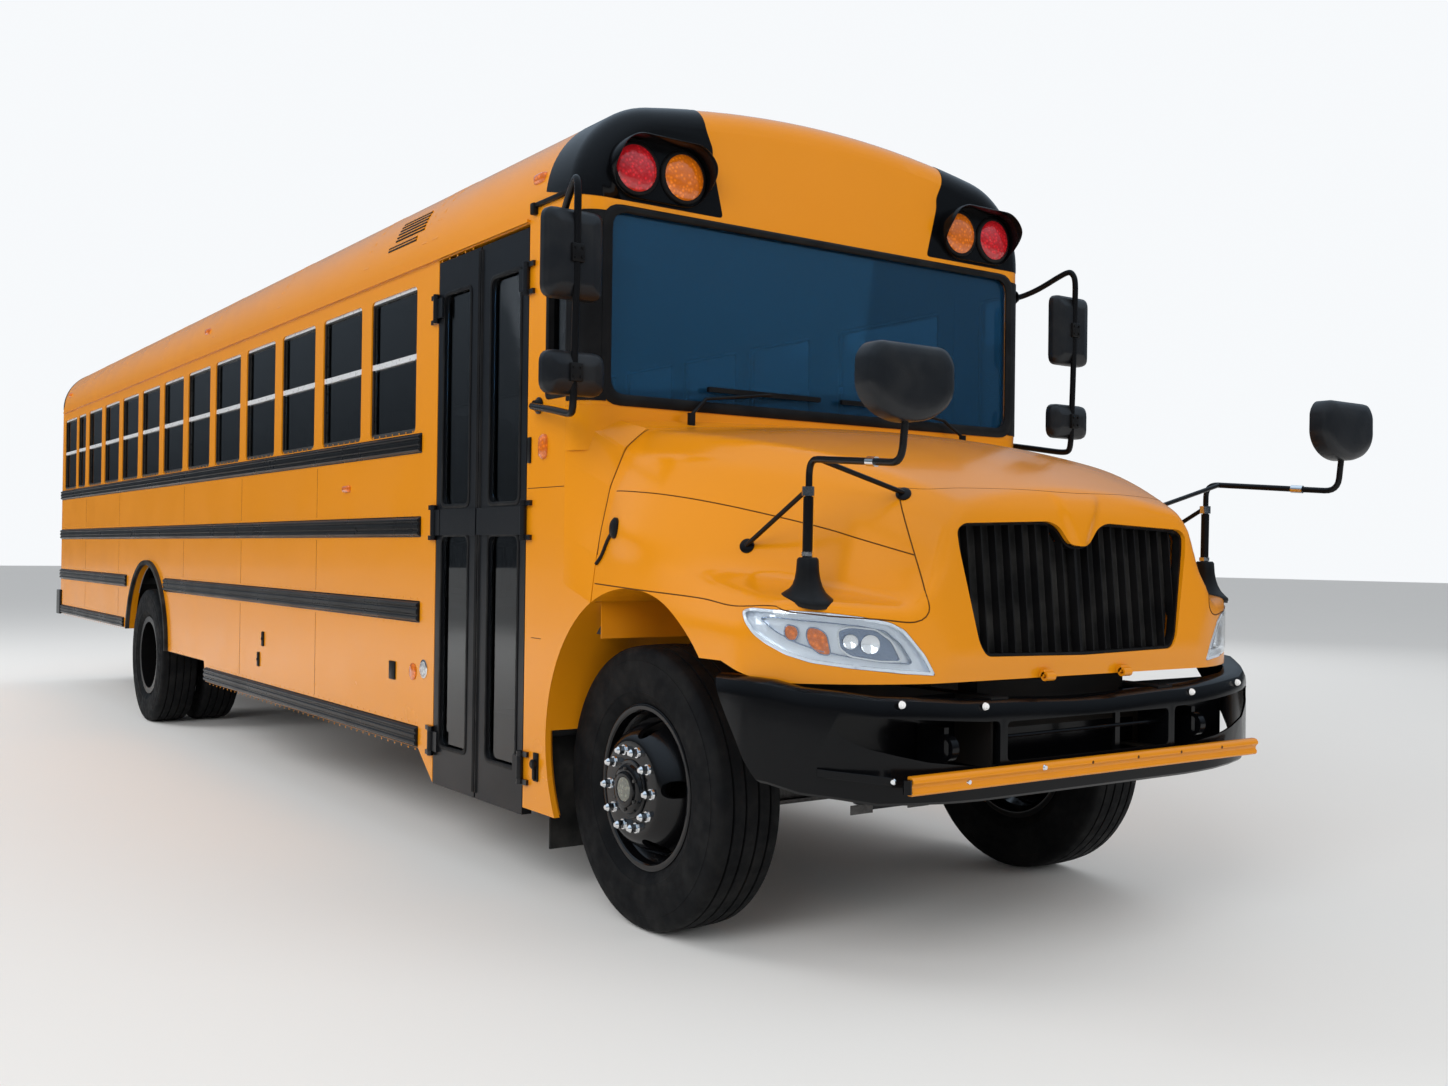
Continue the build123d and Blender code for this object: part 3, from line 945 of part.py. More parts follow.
# One row for each leaf: name, hinge edge, side of the hinge, and the panes' two X limits.
LEAVES = [
    ("front", DOOR_FRONT_X, 1, (station(-1010), station(-728))),
    ("rear", DOOR_REAR_X, -1, (station(-1495), station(-1213))),
]
for name, edge_x, out, pane_x in LEAVES:
    axis_x = edge_x - out * DOOR_GAP / 2
    leaf_x = sorted((edge_x - out * DOOR_GAP, LEAF_SPLIT_X + out * ENTRY_GAP))
    pane_mid = (pane_x[0] + pane_x[1]) / 2
    pane_wide = pane_x[1] - pane_x[0]
    with BuildPart() as door_leaf:
        add_box(leaf_x, (-SKIN_Y, -SKIN_Y + DOOR_THICK), (LEAF_BOTTOM_Z, LEAF_TOP_Z))
        with BuildSketch(side_plane(-SKIN_Y + DOOR_THICK + 1)):
            for low, high in (PANE_UPPER_Z, PANE_LOWER_Z):
                with Locations((pane_mid, (low + high) / 2)):
                    RectangleRounded(pane_wide, high - low, PANE_CORNER)
        extrude(amount=DOOR_THICK + 2, mode=Mode.SUBTRACT)
        for low, high in HINGE_Z:
            add_rod((axis_x, ENTRY_AXIS_Y, low), (axis_x, ENTRY_AXIS_Y, high), KNUCKLE_R)
            add_box(sorted((axis_x, edge_x - out * 70)), (ENTRY_AXIS_Y, -SKIN_Y), (low, high))
            add_rod((axis_x, ENTRY_AXIS_Y, low - 1), (axis_x, ENTRY_AXIS_Y, high + 1), PIN_R + RUN_GAP, Mode.SUBTRACT)
        # The middle band crosses the leaf on its outer face.
        add_box(leaf_x, (-SKIN_Y - 12, -SKIN_Y), HINGE_Z[1])
        add_rod((axis_x, ENTRY_AXIS_Y, HINGE_Z[1][0] - 1), (axis_x, ENTRY_AXIS_Y, HINGE_Z[1][1] + 1), PIN_R + RUN_GAP,
                Mode.SUBTRACT)
    save(door_leaf, f"door_leaf_{name}")
    with BuildPart() as door_glass:
        for low, high in (PANE_UPPER_Z, PANE_LOWER_Z):
            with BuildSketch(side_plane(-SKIN_Y + DOOR_THICK / 2)):
                with Locations((pane_mid, (low + high) / 2)):
                    RectangleRounded(pane_wide - 2 * SEAT_GAP, high - low - 2 * SEAT_GAP, PANE_CORNER)
            extrude(amount=GLASS)
    save(door_glass, f"door_glass_{name}")

# Hood: one hollow moulding with both fenders
GRILLE_HALF = [(0, 1425), (168, 1505), (560, 1488), (581, 1440), (498, 1085), (470, 1063), (0, 1063)]
GRILLE_FRAME = 24
SLAT_COUNT = 15
SLAT_WIDTH = 12
LAMP_OUTLINE = [(712, 1022), (700, 1085), (760, 1160), (900, 1196), (1100, 1203), (1230, 1196), (1230, 1150),
                (1090, 1085), (930, 1040), (800, 1012)]
LAMP_DEPTH = 30
LAMP_REAR_X = station(790)


def mirrored_outline(half):
    """Return a closed outline from its half at positive Y, which starts and ends on the middle plane."""
    return half + [(-y, z) for y, z in reversed(half[1:-1])]


def add_front_prism(points, x, gap=0.0, mode=Mode.ADD):
    """Extrude a YZ outline, grown by gap, between two stations in the open part."""
    with BuildSketch(front_plane(x[0])) as outline:
        with BuildLine():
            Polyline(*points, close=True)
        make_face()
        if gap:
            offset(amount=gap, kind=Kind.INTERSECTION)
    extrude(outline.sketch, amount=x[1] - x[0], mode=mode)


NOSE_RANGE = (station(1020), station(1300))
LAMP_RANGE = (LAMP_REAR_X, station(1300))
hood_outer = hood_form(0, "hood_outer")
hood_inner = hood_form(HOOD_WALL, "hood_inner")
lamp_inner = hood_form(LAMP_DEPTH, "lamp_inner")
with BuildPart() as hood:
    add(hood_outer)
    add(hood_inner, mode=Mode.SUBTRACT)
    for side in (-1, 1):
        low, high = sorted((side * 640, side * (SKIN_Y + 5)))
        add_rod((FRONT_ARCH[0], low, FRONT_ARCH[1]), (FRONT_ARCH[0], high, FRONT_ARCH[1]), FRONT_ARCH[2], Mode.SUBTRACT)
        add_front_prism([(side * y, z) for y, z in LAMP_OUTLINE], LAMP_RANGE, SEAT_GAP, Mode.SUBTRACT)
    add_front_prism(mirrored_outline(GRILLE_HALF), NOSE_RANGE, 0, Mode.SUBTRACT)
    # Two lugs below the grille turn on the bumper's pins.
    hood_x, hood_z = HOOD_HINGE
    for y in (-HOOD_EAR_Y, HOOD_EAR_Y):
        lug_y = (y - HOOD_LUG_HALF, y + HOOD_LUG_HALF)
        add_box((station(1150), hood_x), lug_y, (hood_z - 4, hood_z + 26))
        add_box((station(1150), station(1175)), lug_y, (hood_z - 4, 1062))
        add_rod((hood_x, lug_y[0], hood_z), (hood_x, lug_y[1], hood_z), 16)
        add_rod((hood_x, lug_y[0] - 1, hood_z), (hood_x, lug_y[1] + 1, hood_z), PIN_R + RUN_GAP, Mode.SUBTRACT)
save(hood, "hood")

# Grille: upright slats in a frame, laid to the slope of the nose
with BuildPart() as grille:
    add_front_prism(mirrored_outline(GRILLE_HALF), NOSE_RANGE)
    inner = [(0, 1425 - GRILLE_FRAME), (160, 1505 - GRILLE_FRAME), (540, 1488 - GRILLE_FRAME), (556, 1440), (474, 1090),
             (462, 1063 + GRILLE_FRAME), (0, 1063 + GRILLE_FRAME)]
    add_front_prism(mirrored_outline(inner), NOSE_RANGE, 0, Mode.SUBTRACT)
    pitch = 2 * 540 / SLAT_COUNT
    for i in range(1, SLAT_COUNT):
        y = -540 + pitch * i
        top = 1488 - GRILLE_FRAME / 2 if abs(y) > 160 else 1425 - GRILLE_FRAME / 2 + abs(y) * 0.45
        outer_bottom = 1063 if abs(y) < 455 else 1063 + (abs(y) - 455) * 3.6
        add_box(NOSE_RANGE, (y - SLAT_WIDTH / 2, y + SLAT_WIDTH / 2), (outer_bottom, top))
    with BuildSketch(side_plane(700)):
        with BuildLine():
            Polyline((station(1083), 1700), (station(1118), 1700), (station(1184), 1040), (station(1149), 1040), close=True)
        make_face()
    extrude(amount=1400, mode=Mode.INTERSECT)
save(grille, "grille")

# Headlamps: clear lenses that follow the nose's corners
with BuildPart() as headlights:
    for side in (-1, 1):
        add_front_prism([(side * y, z) for y, z in LAMP_OUTLINE], LAMP_RANGE)
    add(hood_outer, mode=Mode.INTERSECT)
    add(lamp_inner, mode=Mode.SUBTRACT)
save(headlights, "headlights")

# Cross-view mirrors: a head on a bent arm with two struts, standing on each fender
CROSS_TUBE_R = 11
CROSS_FOOT = (station(927), 1031, 1200)
CROSS_BEND = (station(934), 1031, 1695)
CROSS_TIP = (station(1452), 1112, 1655)
CROSS_HEAD = (station(1473), 1112, 1880)
CROSS_HEAD_SIZE = (80, 330, 220)
CROSS_ARM = [CROSS_FOOT, CROSS_BEND, CROSS_TIP, (CROSS_HEAD[0], CROSS_HEAD[1], CROSS_HEAD[2] - 60)]
# One row for each straight bar: its two ends and its radius.
CROSS_BARS = [
    ((station(990), 1036, 1692), (station(1006), 650, 1590), 9),
    ((station(928), 1031, 1610), (station(720), 1085, 1340), 9),
    ((station(927), 1031, 1225), (station(927), 1031, 1380), 17),
]
with BuildPart() as cross_view_mirrors:
    for side in (-1, 1):
        add_tube([on_side(point, side) for point in CROSS_ARM], 45, CROSS_TUBE_R)
        for start, end, radius in CROSS_BARS:
            add_rod(on_side(start, side), on_side(end, side), radius)
        head_y = side * CROSS_HEAD[1]
        half_w, half_h = CROSS_HEAD_SIZE[1] / 2, CROSS_HEAD_SIZE[2] / 2
        with BuildSketch(front_plane(CROSS_HEAD[0] - CROSS_HEAD_SIZE[0] / 2)) as head:
            with BuildLine():
                Line((head_y - half_w, CROSS_HEAD[2] + half_h), (head_y + half_w, CROSS_HEAD[2] + half_h))
                Line((head_y + half_w, CROSS_HEAD[2] + half_h), (head_y + half_w, CROSS_HEAD[2]))
                ThreePointArc((head_y + half_w, CROSS_HEAD[2]), (head_y, CROSS_HEAD[2] - half_h),
                              (head_y - half_w, CROSS_HEAD[2]))
                Line((head_y - half_w, CROSS_HEAD[2]), (head_y - half_w, CROSS_HEAD[2] + half_h))
            make_face()
        extrude(head.sketch, amount=CROSS_HEAD_SIZE[0])
    add(hood_outer, mode=Mode.SUBTRACT)
save(cross_view_mirrors, "cross_view_mirrors")

# Side mirrors: a hoop of tube on each front pillar with a tall and a short head
HOOP_R = 14
HOOP_POST_X = station(-603)
HOOP_Y = SKIN_Y + 131
# One row for each head: its Y limits from the middle, and its Z limits.
MIRROR_HEADS = [((1225, 1472), (2310, 2640)), ((1215, 1475), (1960, 2122))]
with BuildPart() as side_mirrors:
    for side in (-1, 1):
        points = [(HOOP_POST_X, SKIN_Y + SEAT_GAP, 2680), (HOOP_POST_X, SKIN_Y + 60, 2680), (station(-30), HOOP_Y, 2715),
                  (station(-45), HOOP_Y, 1900), (station(-560), SKIN_Y + 50, 1972), (station(-560), SKIN_Y + SEAT_GAP, 1972)]
        add_tube([(x, side * y, z) for x, y, z in points], 28, HOOP_R)
        for x, z in ((HOOP_POST_X, 2680), (station(-560), 1990)):
            pad_y = sorted((side * (SKIN_Y + SEAT_GAP), side * (SKIN_Y + 12)))
            add_box((x - 30, x + 30), pad_y, (z - 30, z + 32))
        for y, z in MIRROR_HEADS:
            head_y = sorted((side * y[0], side * y[1]))
            with BuildSketch(front_plane(station(-82))) as head:
                with Locations((sum(head_y) / 2, sum(z) / 2)):
                    RectangleRounded(head_y[1] - head_y[0], z[1] - z[0], 32)
            extrude(head.sketch, amount=66)
save(side_mirrors, "side_mirrors")

# Wipers: an arm and a blade parked along the foot of the windshield on each side
WIPER_Y = 750
with BuildPart() as wipers:
    for side in (-1, 1):
        pivot = (station(-165), side * WIPER_Y)
        add_rod((*pivot, 1885), (*pivot, 1945), 16)
        elbow = (station(-196), side * (WIPER_Y - 90), 2010)
        add_rod((pivot[0], pivot[1], 1938), elbow, 7)
        add_rod(elbow, (station(-200), side * 330, 2052), 6)
        blade_y = sorted((side * 60, side * 640))
        add_box((WINDSHIELD_X + 4, WINDSHIELD_X + 22), blade_y, (2042, 2062))
    add(cowl.part, mode=Mode.SUBTRACT)
save(wipers, "wipers")

# Warning lamps on black boxes at both ends, and the tail lamps
LAMP_R = 88
LAMP_Z = 2897
LAMP_Y = (767, 987)
BOX_THICK = 16
# Outline of the box at one corner of the roof, on the left.
BOX_OUTLINE = [(560, 2782), (1140, 2800), (1138, 2876), (1050, 3020), (900, 3090), (650, 3140)]
HOOD_REACH = 70
TAIL_LAMPS = [(1010, 1560, 88), (1010, 1350, 88), (1010, 1165, 70)]


def add_lamp_visor(x, y, out):
    """Add a half-round visor over a lamp on the face at x; out is the direction it points."""
    with BuildSketch(front_plane(x)) as visor:
        with Locations((y, LAMP_Z)):
            Circle(LAMP_R + 16)
            Circle(LAMP_R + 8, mode=Mode.SUBTRACT)
        with Locations((y, LAMP_Z - LAMP_R)):
            Rectangle(3 * LAMP_R, 2 * LAMP_R - 40, mode=Mode.SUBTRACT)
    extrude(visor.sketch, amount=out * HOOD_REACH)


with BuildPart() as lamp_housings:
    for x, out in ((WINDSHIELD_X, 1), (REAR_X, -1)):
        for side in (-1, 1):
            start = x + out * SEAT_GAP
            outline = [(side * y, z) for y, z in BOX_OUTLINE]
            add_front_prism(outline, (start, start + out * BOX_THICK))
            for y in LAMP_Y:
                add_lamp_visor(start + out * (BOX_THICK - 1), side * y, out)
save(lamp_housings, "lamp_housings")

with BuildPart() as lamp_lenses:
    for x, out in ((WINDSHIELD_X, 1), (REAR_X, -1)):
        start = x + out * (BOX_THICK + 2 * SEAT_GAP)
        for y in (-LAMP_Y[1], -LAMP_Y[0], LAMP_Y[0], LAMP_Y[1]):
            add_rod((start, y, LAMP_Z), (start + out * 16, y, LAMP_Z), LAMP_R)
    for side in (-1, 1):
        for y, z, radius in TAIL_LAMPS:
            add_rod((REAR_X - SEAT_GAP, side * y, z), (REAR_X - 22, side * y, z), radius)
save(lamp_lenses, "lamp_lenses")


def wheel_plane_at(axle_x):
    """Return the plane through an axle whose local axes are Y and Z."""
    return Plane(origin=(axle_x, 0, TYRE_R), x_dir=(0, 1, 0), z_dir=(1, 0, 0))


def add_turned(points, axle_x, center_y, side):
    """Revolve a closed profile of (outward distance, radius) points about an axle into the open part."""
    with BuildSketch(wheel_plane_at(axle_x)) as profile:
        with BuildLine():
            Polyline(*[(side * (center_y + a), r) for a, r in points], close=True)
        make_face()
    revolve(profile.sketch, axis=Axis((axle_x, 0, TYRE_R), (0, 1, 0)))


# Half of the tyre's section outside its beads: distance from the middle and radius.
TYRE_HALF_SECTION = [
    (118, 330), (132, 352), (TYRE_WIDTH / 2 - 1, 392), (TYRE_WIDTH / 2, 430), (136, TYRE_R - 40), (128, TYRE_R - 16),
    (112, TYRE_R - 5), (60, TYRE_R - 1), (0, TYRE_R),
]


def add_tyre(axle_x, center_y, side):
    """Revolve one tyre with a bulged side wall and rounded shoulders into the open part."""
    bead = BEAD_HALF - SEAT_GAP
    half = [(bead, RIM_SEAT_R + SEAT_GAP), (bead, RIM_FLANGE_R + SEAT_GAP), (118, RIM_FLANGE_R + SEAT_GAP)]
    half += TYRE_HALF_SECTION
    mirrored = [(-a, r) for a, r in reversed(half[:-1])]
    add_turned(half + mirrored, axle_x, center_y, side)


HAND_HOLES = 10
HAND_HOLE_R = 17
HAND_RING_R = 235


def add_hand_holes(axle_x, y):
    """Cut the ring of hand holes through a wheel disc between two Y values."""
    for i in range(HAND_HOLES):
        angle = 2 * math.pi * i / HAND_HOLES
        x = axle_x + HAND_RING_R * math.cos(angle)
        z = TYRE_R + HAND_RING_R * math.sin(angle)
        add_rod((x, y[0], z), (x, y[1], z), HAND_HOLE_R, Mode.SUBTRACT)


# Front wheel profile: a rim with a dished disc, the hub with its cap, and the brake drum behind.
FLANGE = BEAD_HALF + RIM_FLANGE
BORE_R = SPINDLE_R + RUN_GAP
FRONT_RIM = [
    (-FLANGE, RIM_FLANGE_R), (-BEAD_HALF, RIM_FLANGE_R), (-BEAD_HALF, RIM_SEAT_R), (BEAD_HALF, RIM_SEAT_R),
    (BEAD_HALF, RIM_FLANGE_R), (FLANGE, RIM_FLANGE_R), (FLANGE, RIM_INNER_R), (104, RIM_INNER_R), (112, 235),
    (128, 180), (128, 112), (150, 106), (190, 88), (205, 64), (205, 0), (130, 0), (130, BORE_R), (-28, BORE_R),
    (-28, 80), (90, 80), (90, DRUM_R - DRUM_WALL), (-25, DRUM_R - DRUM_WALL), (-25, DRUM_R), (98, DRUM_R),
    (85, RIM_INNER_R), (-FLANGE, RIM_INNER_R),
]
REAR_BORE_R = REAR_SPINDLE_R + RUN_GAP


def dual_rim(sign):
    """Return one rim of the rear pair, with its disc dished to the middle of the pair."""
    seat = [(-FLANGE, RIM_FLANGE_R), (-BEAD_HALF, RIM_FLANGE_R), (-BEAD_HALF, RIM_SEAT_R), (BEAD_HALF, RIM_SEAT_R),
            (BEAD_HALF, RIM_FLANGE_R), (FLANGE, RIM_FLANGE_R), (FLANGE, RIM_INNER_R), (-70, RIM_INNER_R)]
    disc = [(DUAL_OFFSET - 100, 232), (30, 195), (16, 160), (16, 90), (-2, 90), (-2, 165), (14, 205),
            (DUAL_OFFSET - 112, 245), (DUAL_OFFSET - FLANGE, RIM_INNER_R)]
    return [(sign * (a + DUAL_OFFSET), r) for a, r in seat] + [(sign * a, r) for a, r in disc]


REAR_HUB = [
    (-200, REAR_BORE_R), (-200, 100), (-60, 100), (-60, DRUM_R - DRUM_WALL), (-222, DRUM_R - DRUM_WALL), (-222, DRUM_R),
    (-40, DRUM_R), (-40, 120), (40, 120), (40, 100), (140, 96), (165, 70), (165, 0), (120, 0), (120, REAR_BORE_R),
]

for side, name in ((-1, "right"), (1, "left")):
    with BuildPart() as front_tyre:
        add_tyre(FRONT_AXLE_X, FRONT_WHEEL_Y, side)
    save(front_tyre, f"front_tyre_{name}")
    with BuildPart() as front_rim:
        add_turned(FRONT_RIM, FRONT_AXLE_X, FRONT_WHEEL_Y, side)
        add_hand_holes(FRONT_AXLE_X, sorted((side * (FRONT_WHEEL_Y + 60), side * (FRONT_WHEEL_Y + 160))))
    save(front_rim, f"front_wheel_{name}")
    with BuildPart() as rear_tyres:
        add_tyre(REAR_AXLE_X, REAR_WHEEL_Y - DUAL_OFFSET, side)
        add_tyre(REAR_AXLE_X, REAR_WHEEL_Y + DUAL_OFFSET, side)
    save(rear_tyres, f"rear_tyres_{name}")
    with BuildPart() as rear_rims:
        for sign in (-1, 1):
            add_turned(dual_rim(sign), REAR_AXLE_X, REAR_WHEEL_Y, side)
        add_turned(REAR_HUB, REAR_AXLE_X, REAR_WHEEL_Y, side)
        add_hand_holes(REAR_AXLE_X, sorted((side * (REAR_WHEEL_Y + 1), side * (REAR_WHEEL_Y + 130))))
    save(rear_rims, f"rear_wheels_{name}")
    # Steering knuckle: a yoke on the kingpin that carries the spindle and the brake plate.
    with BuildPart() as knuckle:
        pin_y = side * KINGPIN_Y
        web_y = side * (KINGPIN_Y + KINGPIN_BOSS_R + 5)
        low, high = TYRE_R - STEER_EYE_HALF - 0.5, TYRE_R + STEER_EYE_HALF + 0.5
        for z in ((low - KNUCKLE_EAR, low), (high, high + KNUCKLE_EAR)):
            add_rod((FRONT_AXLE_X, pin_y, z[0]), (FRONT_AXLE_X, pin_y, z[1]), KINGPIN_BOSS_R)
            add_box((FRONT_AXLE_X - 38, FRONT_AXLE_X + 38), sorted((pin_y, web_y + side * 5)), z)
        add_rod((FRONT_AXLE_X, pin_y, low), (FRONT_AXLE_X, pin_y, high), KINGPIN_R)
        add_box((FRONT_AXLE_X - 38, FRONT_AXLE_X + 38), sorted((web_y, web_y + side * 12)),
                (low - KNUCKLE_EAR, high + KNUCKLE_EAR))
        spindle_end = side * (FRONT_WHEEL_Y + 125)
        add_rod((FRONT_AXLE_X, web_y, TYRE_R), (FRONT_AXLE_X, spindle_end, TYRE_R), SPINDLE_R)
        add_rod((FRONT_AXLE_X, web_y, TYRE_R), (FRONT_AXLE_X, web_y + side * 10, TYRE_R), DRUM_R - 30)
        # The steering arm reaches back from the lower ear.
        add_box((FRONT_AXLE_X - 230, FRONT_AXLE_X), sorted((pin_y - side * 60, pin_y - side * 20)), (low - 40, low - 10))
        add_box((FRONT_AXLE_X - 36, FRONT_AXLE_X + 20), sorted((pin_y - side * 60, pin_y)), (low - 40, low - 10))
    save(knuckle, f"knuckle_{name}")
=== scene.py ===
"""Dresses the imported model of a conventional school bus: paint, tread, lamps, trim and fasteners."""

import logging
import math
from dataclasses import dataclass
from enum import Enum
from typing import Callable, Sequence

import bmesh
import bpy
from mathutils import Matrix, Vector
from mathutils.bvhtree import BVHTree
from mathutils.geometry import delaunay_2d_cdt


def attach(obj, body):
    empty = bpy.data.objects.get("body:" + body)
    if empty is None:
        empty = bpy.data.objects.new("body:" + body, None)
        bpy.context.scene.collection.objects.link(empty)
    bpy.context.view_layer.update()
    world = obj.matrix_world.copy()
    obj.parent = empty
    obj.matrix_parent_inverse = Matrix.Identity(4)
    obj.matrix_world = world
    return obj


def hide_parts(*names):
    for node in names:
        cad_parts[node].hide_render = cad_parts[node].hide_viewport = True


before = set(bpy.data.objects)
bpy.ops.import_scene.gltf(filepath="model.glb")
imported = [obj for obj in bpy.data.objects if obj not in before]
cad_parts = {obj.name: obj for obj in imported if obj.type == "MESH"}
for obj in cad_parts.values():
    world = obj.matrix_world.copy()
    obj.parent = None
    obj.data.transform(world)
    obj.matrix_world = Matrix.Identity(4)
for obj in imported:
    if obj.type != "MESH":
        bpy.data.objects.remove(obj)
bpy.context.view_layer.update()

LOG = logging.getLogger("school_bus")

Point = tuple[float, float, float]
Flat = tuple[float, float]
Colour = tuple[float, float, float]
Thing = bpy.types.Object
Socket = bpy.types.NodeSocket

# Places that the sub-assemblies share, in metres.
DATUM_X = 4.834
SKIN_Y = 1.219
REAR_X = DATUM_X - 11.060
FRONT_AXLE_X = 4.884
REAR_AXLE_X = FRONT_AXLE_X - 7.250
WINDSHIELD_X = DATUM_X - 0.225
SIDES = (-1, 1)
SIDE_NAMES = {-1: "right", 1: "left"}
# How far a cutting solid reaches to each side, past the bus.
PAST_SIDE = 1.4


def station(distance: float) -> float:
    """Return the X of a place measured forward from the datum behind the front axle."""
    return DATUM_X + distance


def placed(points: Sequence[Point], side: int = 1) -> list[Point]:
    """Return points on one side, given as station, distance from the middle and height."""
    return [(station(x), side * y, z) for x, y, z in points]


def eased(share: float) -> float:
    """Return a share held between 0 and 1 that starts and ends gently."""
    share = max(0.0, min(1.0, share))
    return share * share * (3 - 2 * share)


# ---- finishes ----


class Shader:
    """One node material around a Principled shader, with short ways to add its patterns."""

    def __init__(self, name: str) -> None:
        """Make the empty material.

        Args:
            name: The material's name.
        """
        self.material = bpy.data.materials.new(name)
        self.material.use_nodes = True
        tree = self.material.node_tree
        tree.nodes.clear()
        self.nodes = tree.nodes
        self.links = tree.links
        self.bsdf = self.add("BsdfPrincipled")
        self.coords = self.add("TexCoord")
        self.links.new(self.bsdf.outputs["BSDF"], self.add("OutputMaterial").inputs["Surface"])

    def add(self, kind: str, **inputs: float | Point) -> bpy.types.Node:
        """Add a shader node of a kind and set plain values on its inputs.

        Args:
            kind: The end of the node type's name.
            **inputs: Plain values for the node's inputs.

        Returns:
            The new node.
        """
        node = self.nodes.new(f"ShaderNode{kind}")
        for label, value in inputs.items():
            node.inputs[label].default_value = value
        return node

    def set(self, **values: float | Colour) -> None:
        """Set plain values on the Principled shader's own sockets, with spaces as underscores."""
        for key, value in values.items():
            socket = self.bsdf.inputs[key.replace("_", " ")]
            if isinstance(value, tuple):
                socket.default_value = (*value, 1.0) if len(socket.default_value) == 4 else value
            else:
                socket.default_value = value

    def noise(self, scale: float, detail: float = 3.0, stretch: Point = (1, 1, 1)) -> Socket:
        """Return the value of a noise pattern on Object coordinates.

        Args:
            scale: The pattern's scale.
            detail: How many finer layers it has.
            stretch: The scale of each axis.

        Returns:
            The pattern's value.
        """
        mapping = self.add("Mapping", Scale=stretch)
        self.links.new(self.coords.outputs["Object"], mapping.inputs["Vector"])
        node = self.add("TexNoise", Scale=scale, Detail=detail)
        self.links.new(mapping.outputs["Vector"], node.inputs["Vector"])
        return node.outputs["Fac"]

    def cells(self, scale: float, feature: str = "F1") -> Socket:
        """Return the distance value of a cell pattern on Object coordinates.

        Args:
            scale: The pattern's scale.
            feature: Which distance is measured.

        Returns:
            The distance value.
        """
        node = self.add("TexVoronoi", Scale=scale)
        node.feature = feature
        self.links.new(self.coords.outputs["Object"], node.inputs["Vector"])
        return node.outputs["Distance"]

    def spread(self, value: Socket, source: Flat, target: Flat) -> Socket:
        """Return a value moved from one range to another and held inside it.

        Args:
            value: The value.
            source: The range it's read in.
            target: The range it's moved to.

        Returns:
            The moved value.
        """
        node = self.add("MapRange")
        node.interpolation_type = "SMOOTHSTEP"
        self.links.new(value, node.inputs["Value"])
        for label, number in zip(("From Min", "From Max", "To Min", "To Max"), (*source, *target)):
            node.inputs[label].default_value = number
        return node.outputs["Result"]

    def maths(self, kind: str, a: Socket | float,
              b: Socket | float) -> Socket:
        """Return the result of a two-value maths node.

        Args:
            kind: The operation.
            a: The first value.
            b: The second value.

        Returns:
            The result.
        """
        node = self.add("Math")
        node.operation = kind
        for socket, value in zip(node.inputs, (a, b)):
            if isinstance(value, Socket):
                self.links.new(value, socket)
            else:
                socket.default_value = value
        return node.outputs["Value"]

    def axis(self, name: str, source: str = "Object") -> Socket:
        """Return one axis of the object coordinates, or of the normal.

        Args:
            name: The axis's letter.
            source: Which coordinates are read.

        Returns:
            The axis's value.
        """
        node = self.add("SeparateXYZ")
        self.links.new(self.coords.outputs[source], node.inputs["Vector"])
        return node.outputs[name]

    def reach(self) -> Socket:
        """Return the distance from the bus's middle plane."""
        return self.maths("ABSOLUTE", self.axis("Y"), 0.0)

    def mix(self, factor: Socket, a: Socket | Colour,
            b: Socket | Colour) -> Socket:
        """Return two colours mixed by a factor.

        Args:
            factor: The share of the second colour.
            a: The first colour.
            b: The second colour.

        Returns:
            The mixed colour.
        """
        node = self.add("Mix")
        node.data_type = "RGBA"
        self.links.new(factor, node.inputs["Factor"])
        for socket, value in ((node.inputs[6], a), (node.inputs[7], b)):
            if isinstance(value, Socket):
                self.links.new(value, socket)
            else:
                socket.default_value = (*value, 1.0)
        return node.outputs[2]

    def drive(self, socket: str, value: Socket) -> None:
        """Link a pattern to one of the Principled shader's sockets."""
        self.links.new(value, self.bsdf.inputs[socket])

    def bump(self, height: Socket, distance: float, strength: float = 1.0) -> None:
        """Drive the surface's bump from a height in the given depth in metres.

        Args:
            height: The height pattern.
            distance: The depth in metres.
            strength: How strongly it shows.
        """
        node = self.add("Bump", Strength=strength, Distance=distance)
        self.links.new(height, node.inputs["Height"])
        self.links.new(node.outputs["Normal"], self.bsdf.inputs["Normal"])


class Finish:
    """A named finish whose material is made once, on first use."""

    _made: dict[str, bpy.types.Material] = {}

    def material(self) -> bpy.types.Material:
        """Return the finish's material, made on its first use.

        Returns:
            The material.
        """
        if self.name not in Finish._made:
            shader = Shader(self.name)
            self.paint(shader)
            Finish._made[self.name] = shader.material
        return Finish._made[self.name]

    def paint(self, shader: Shader) -> None:
        """Fill in the material's nodes."""
        raise NotImplementedError


def shade(colour: Colour, factor: float) -> Colour:
    """Return a colour made darker or lighter by a factor."""
    return tuple(min(1.0, c * factor) for c in colour)


class Lining(Enum):
    """Where a painted shell shows its pale inner face."""

    NONE = "none"
    WALL = "wall"
    ROOF = "roof"


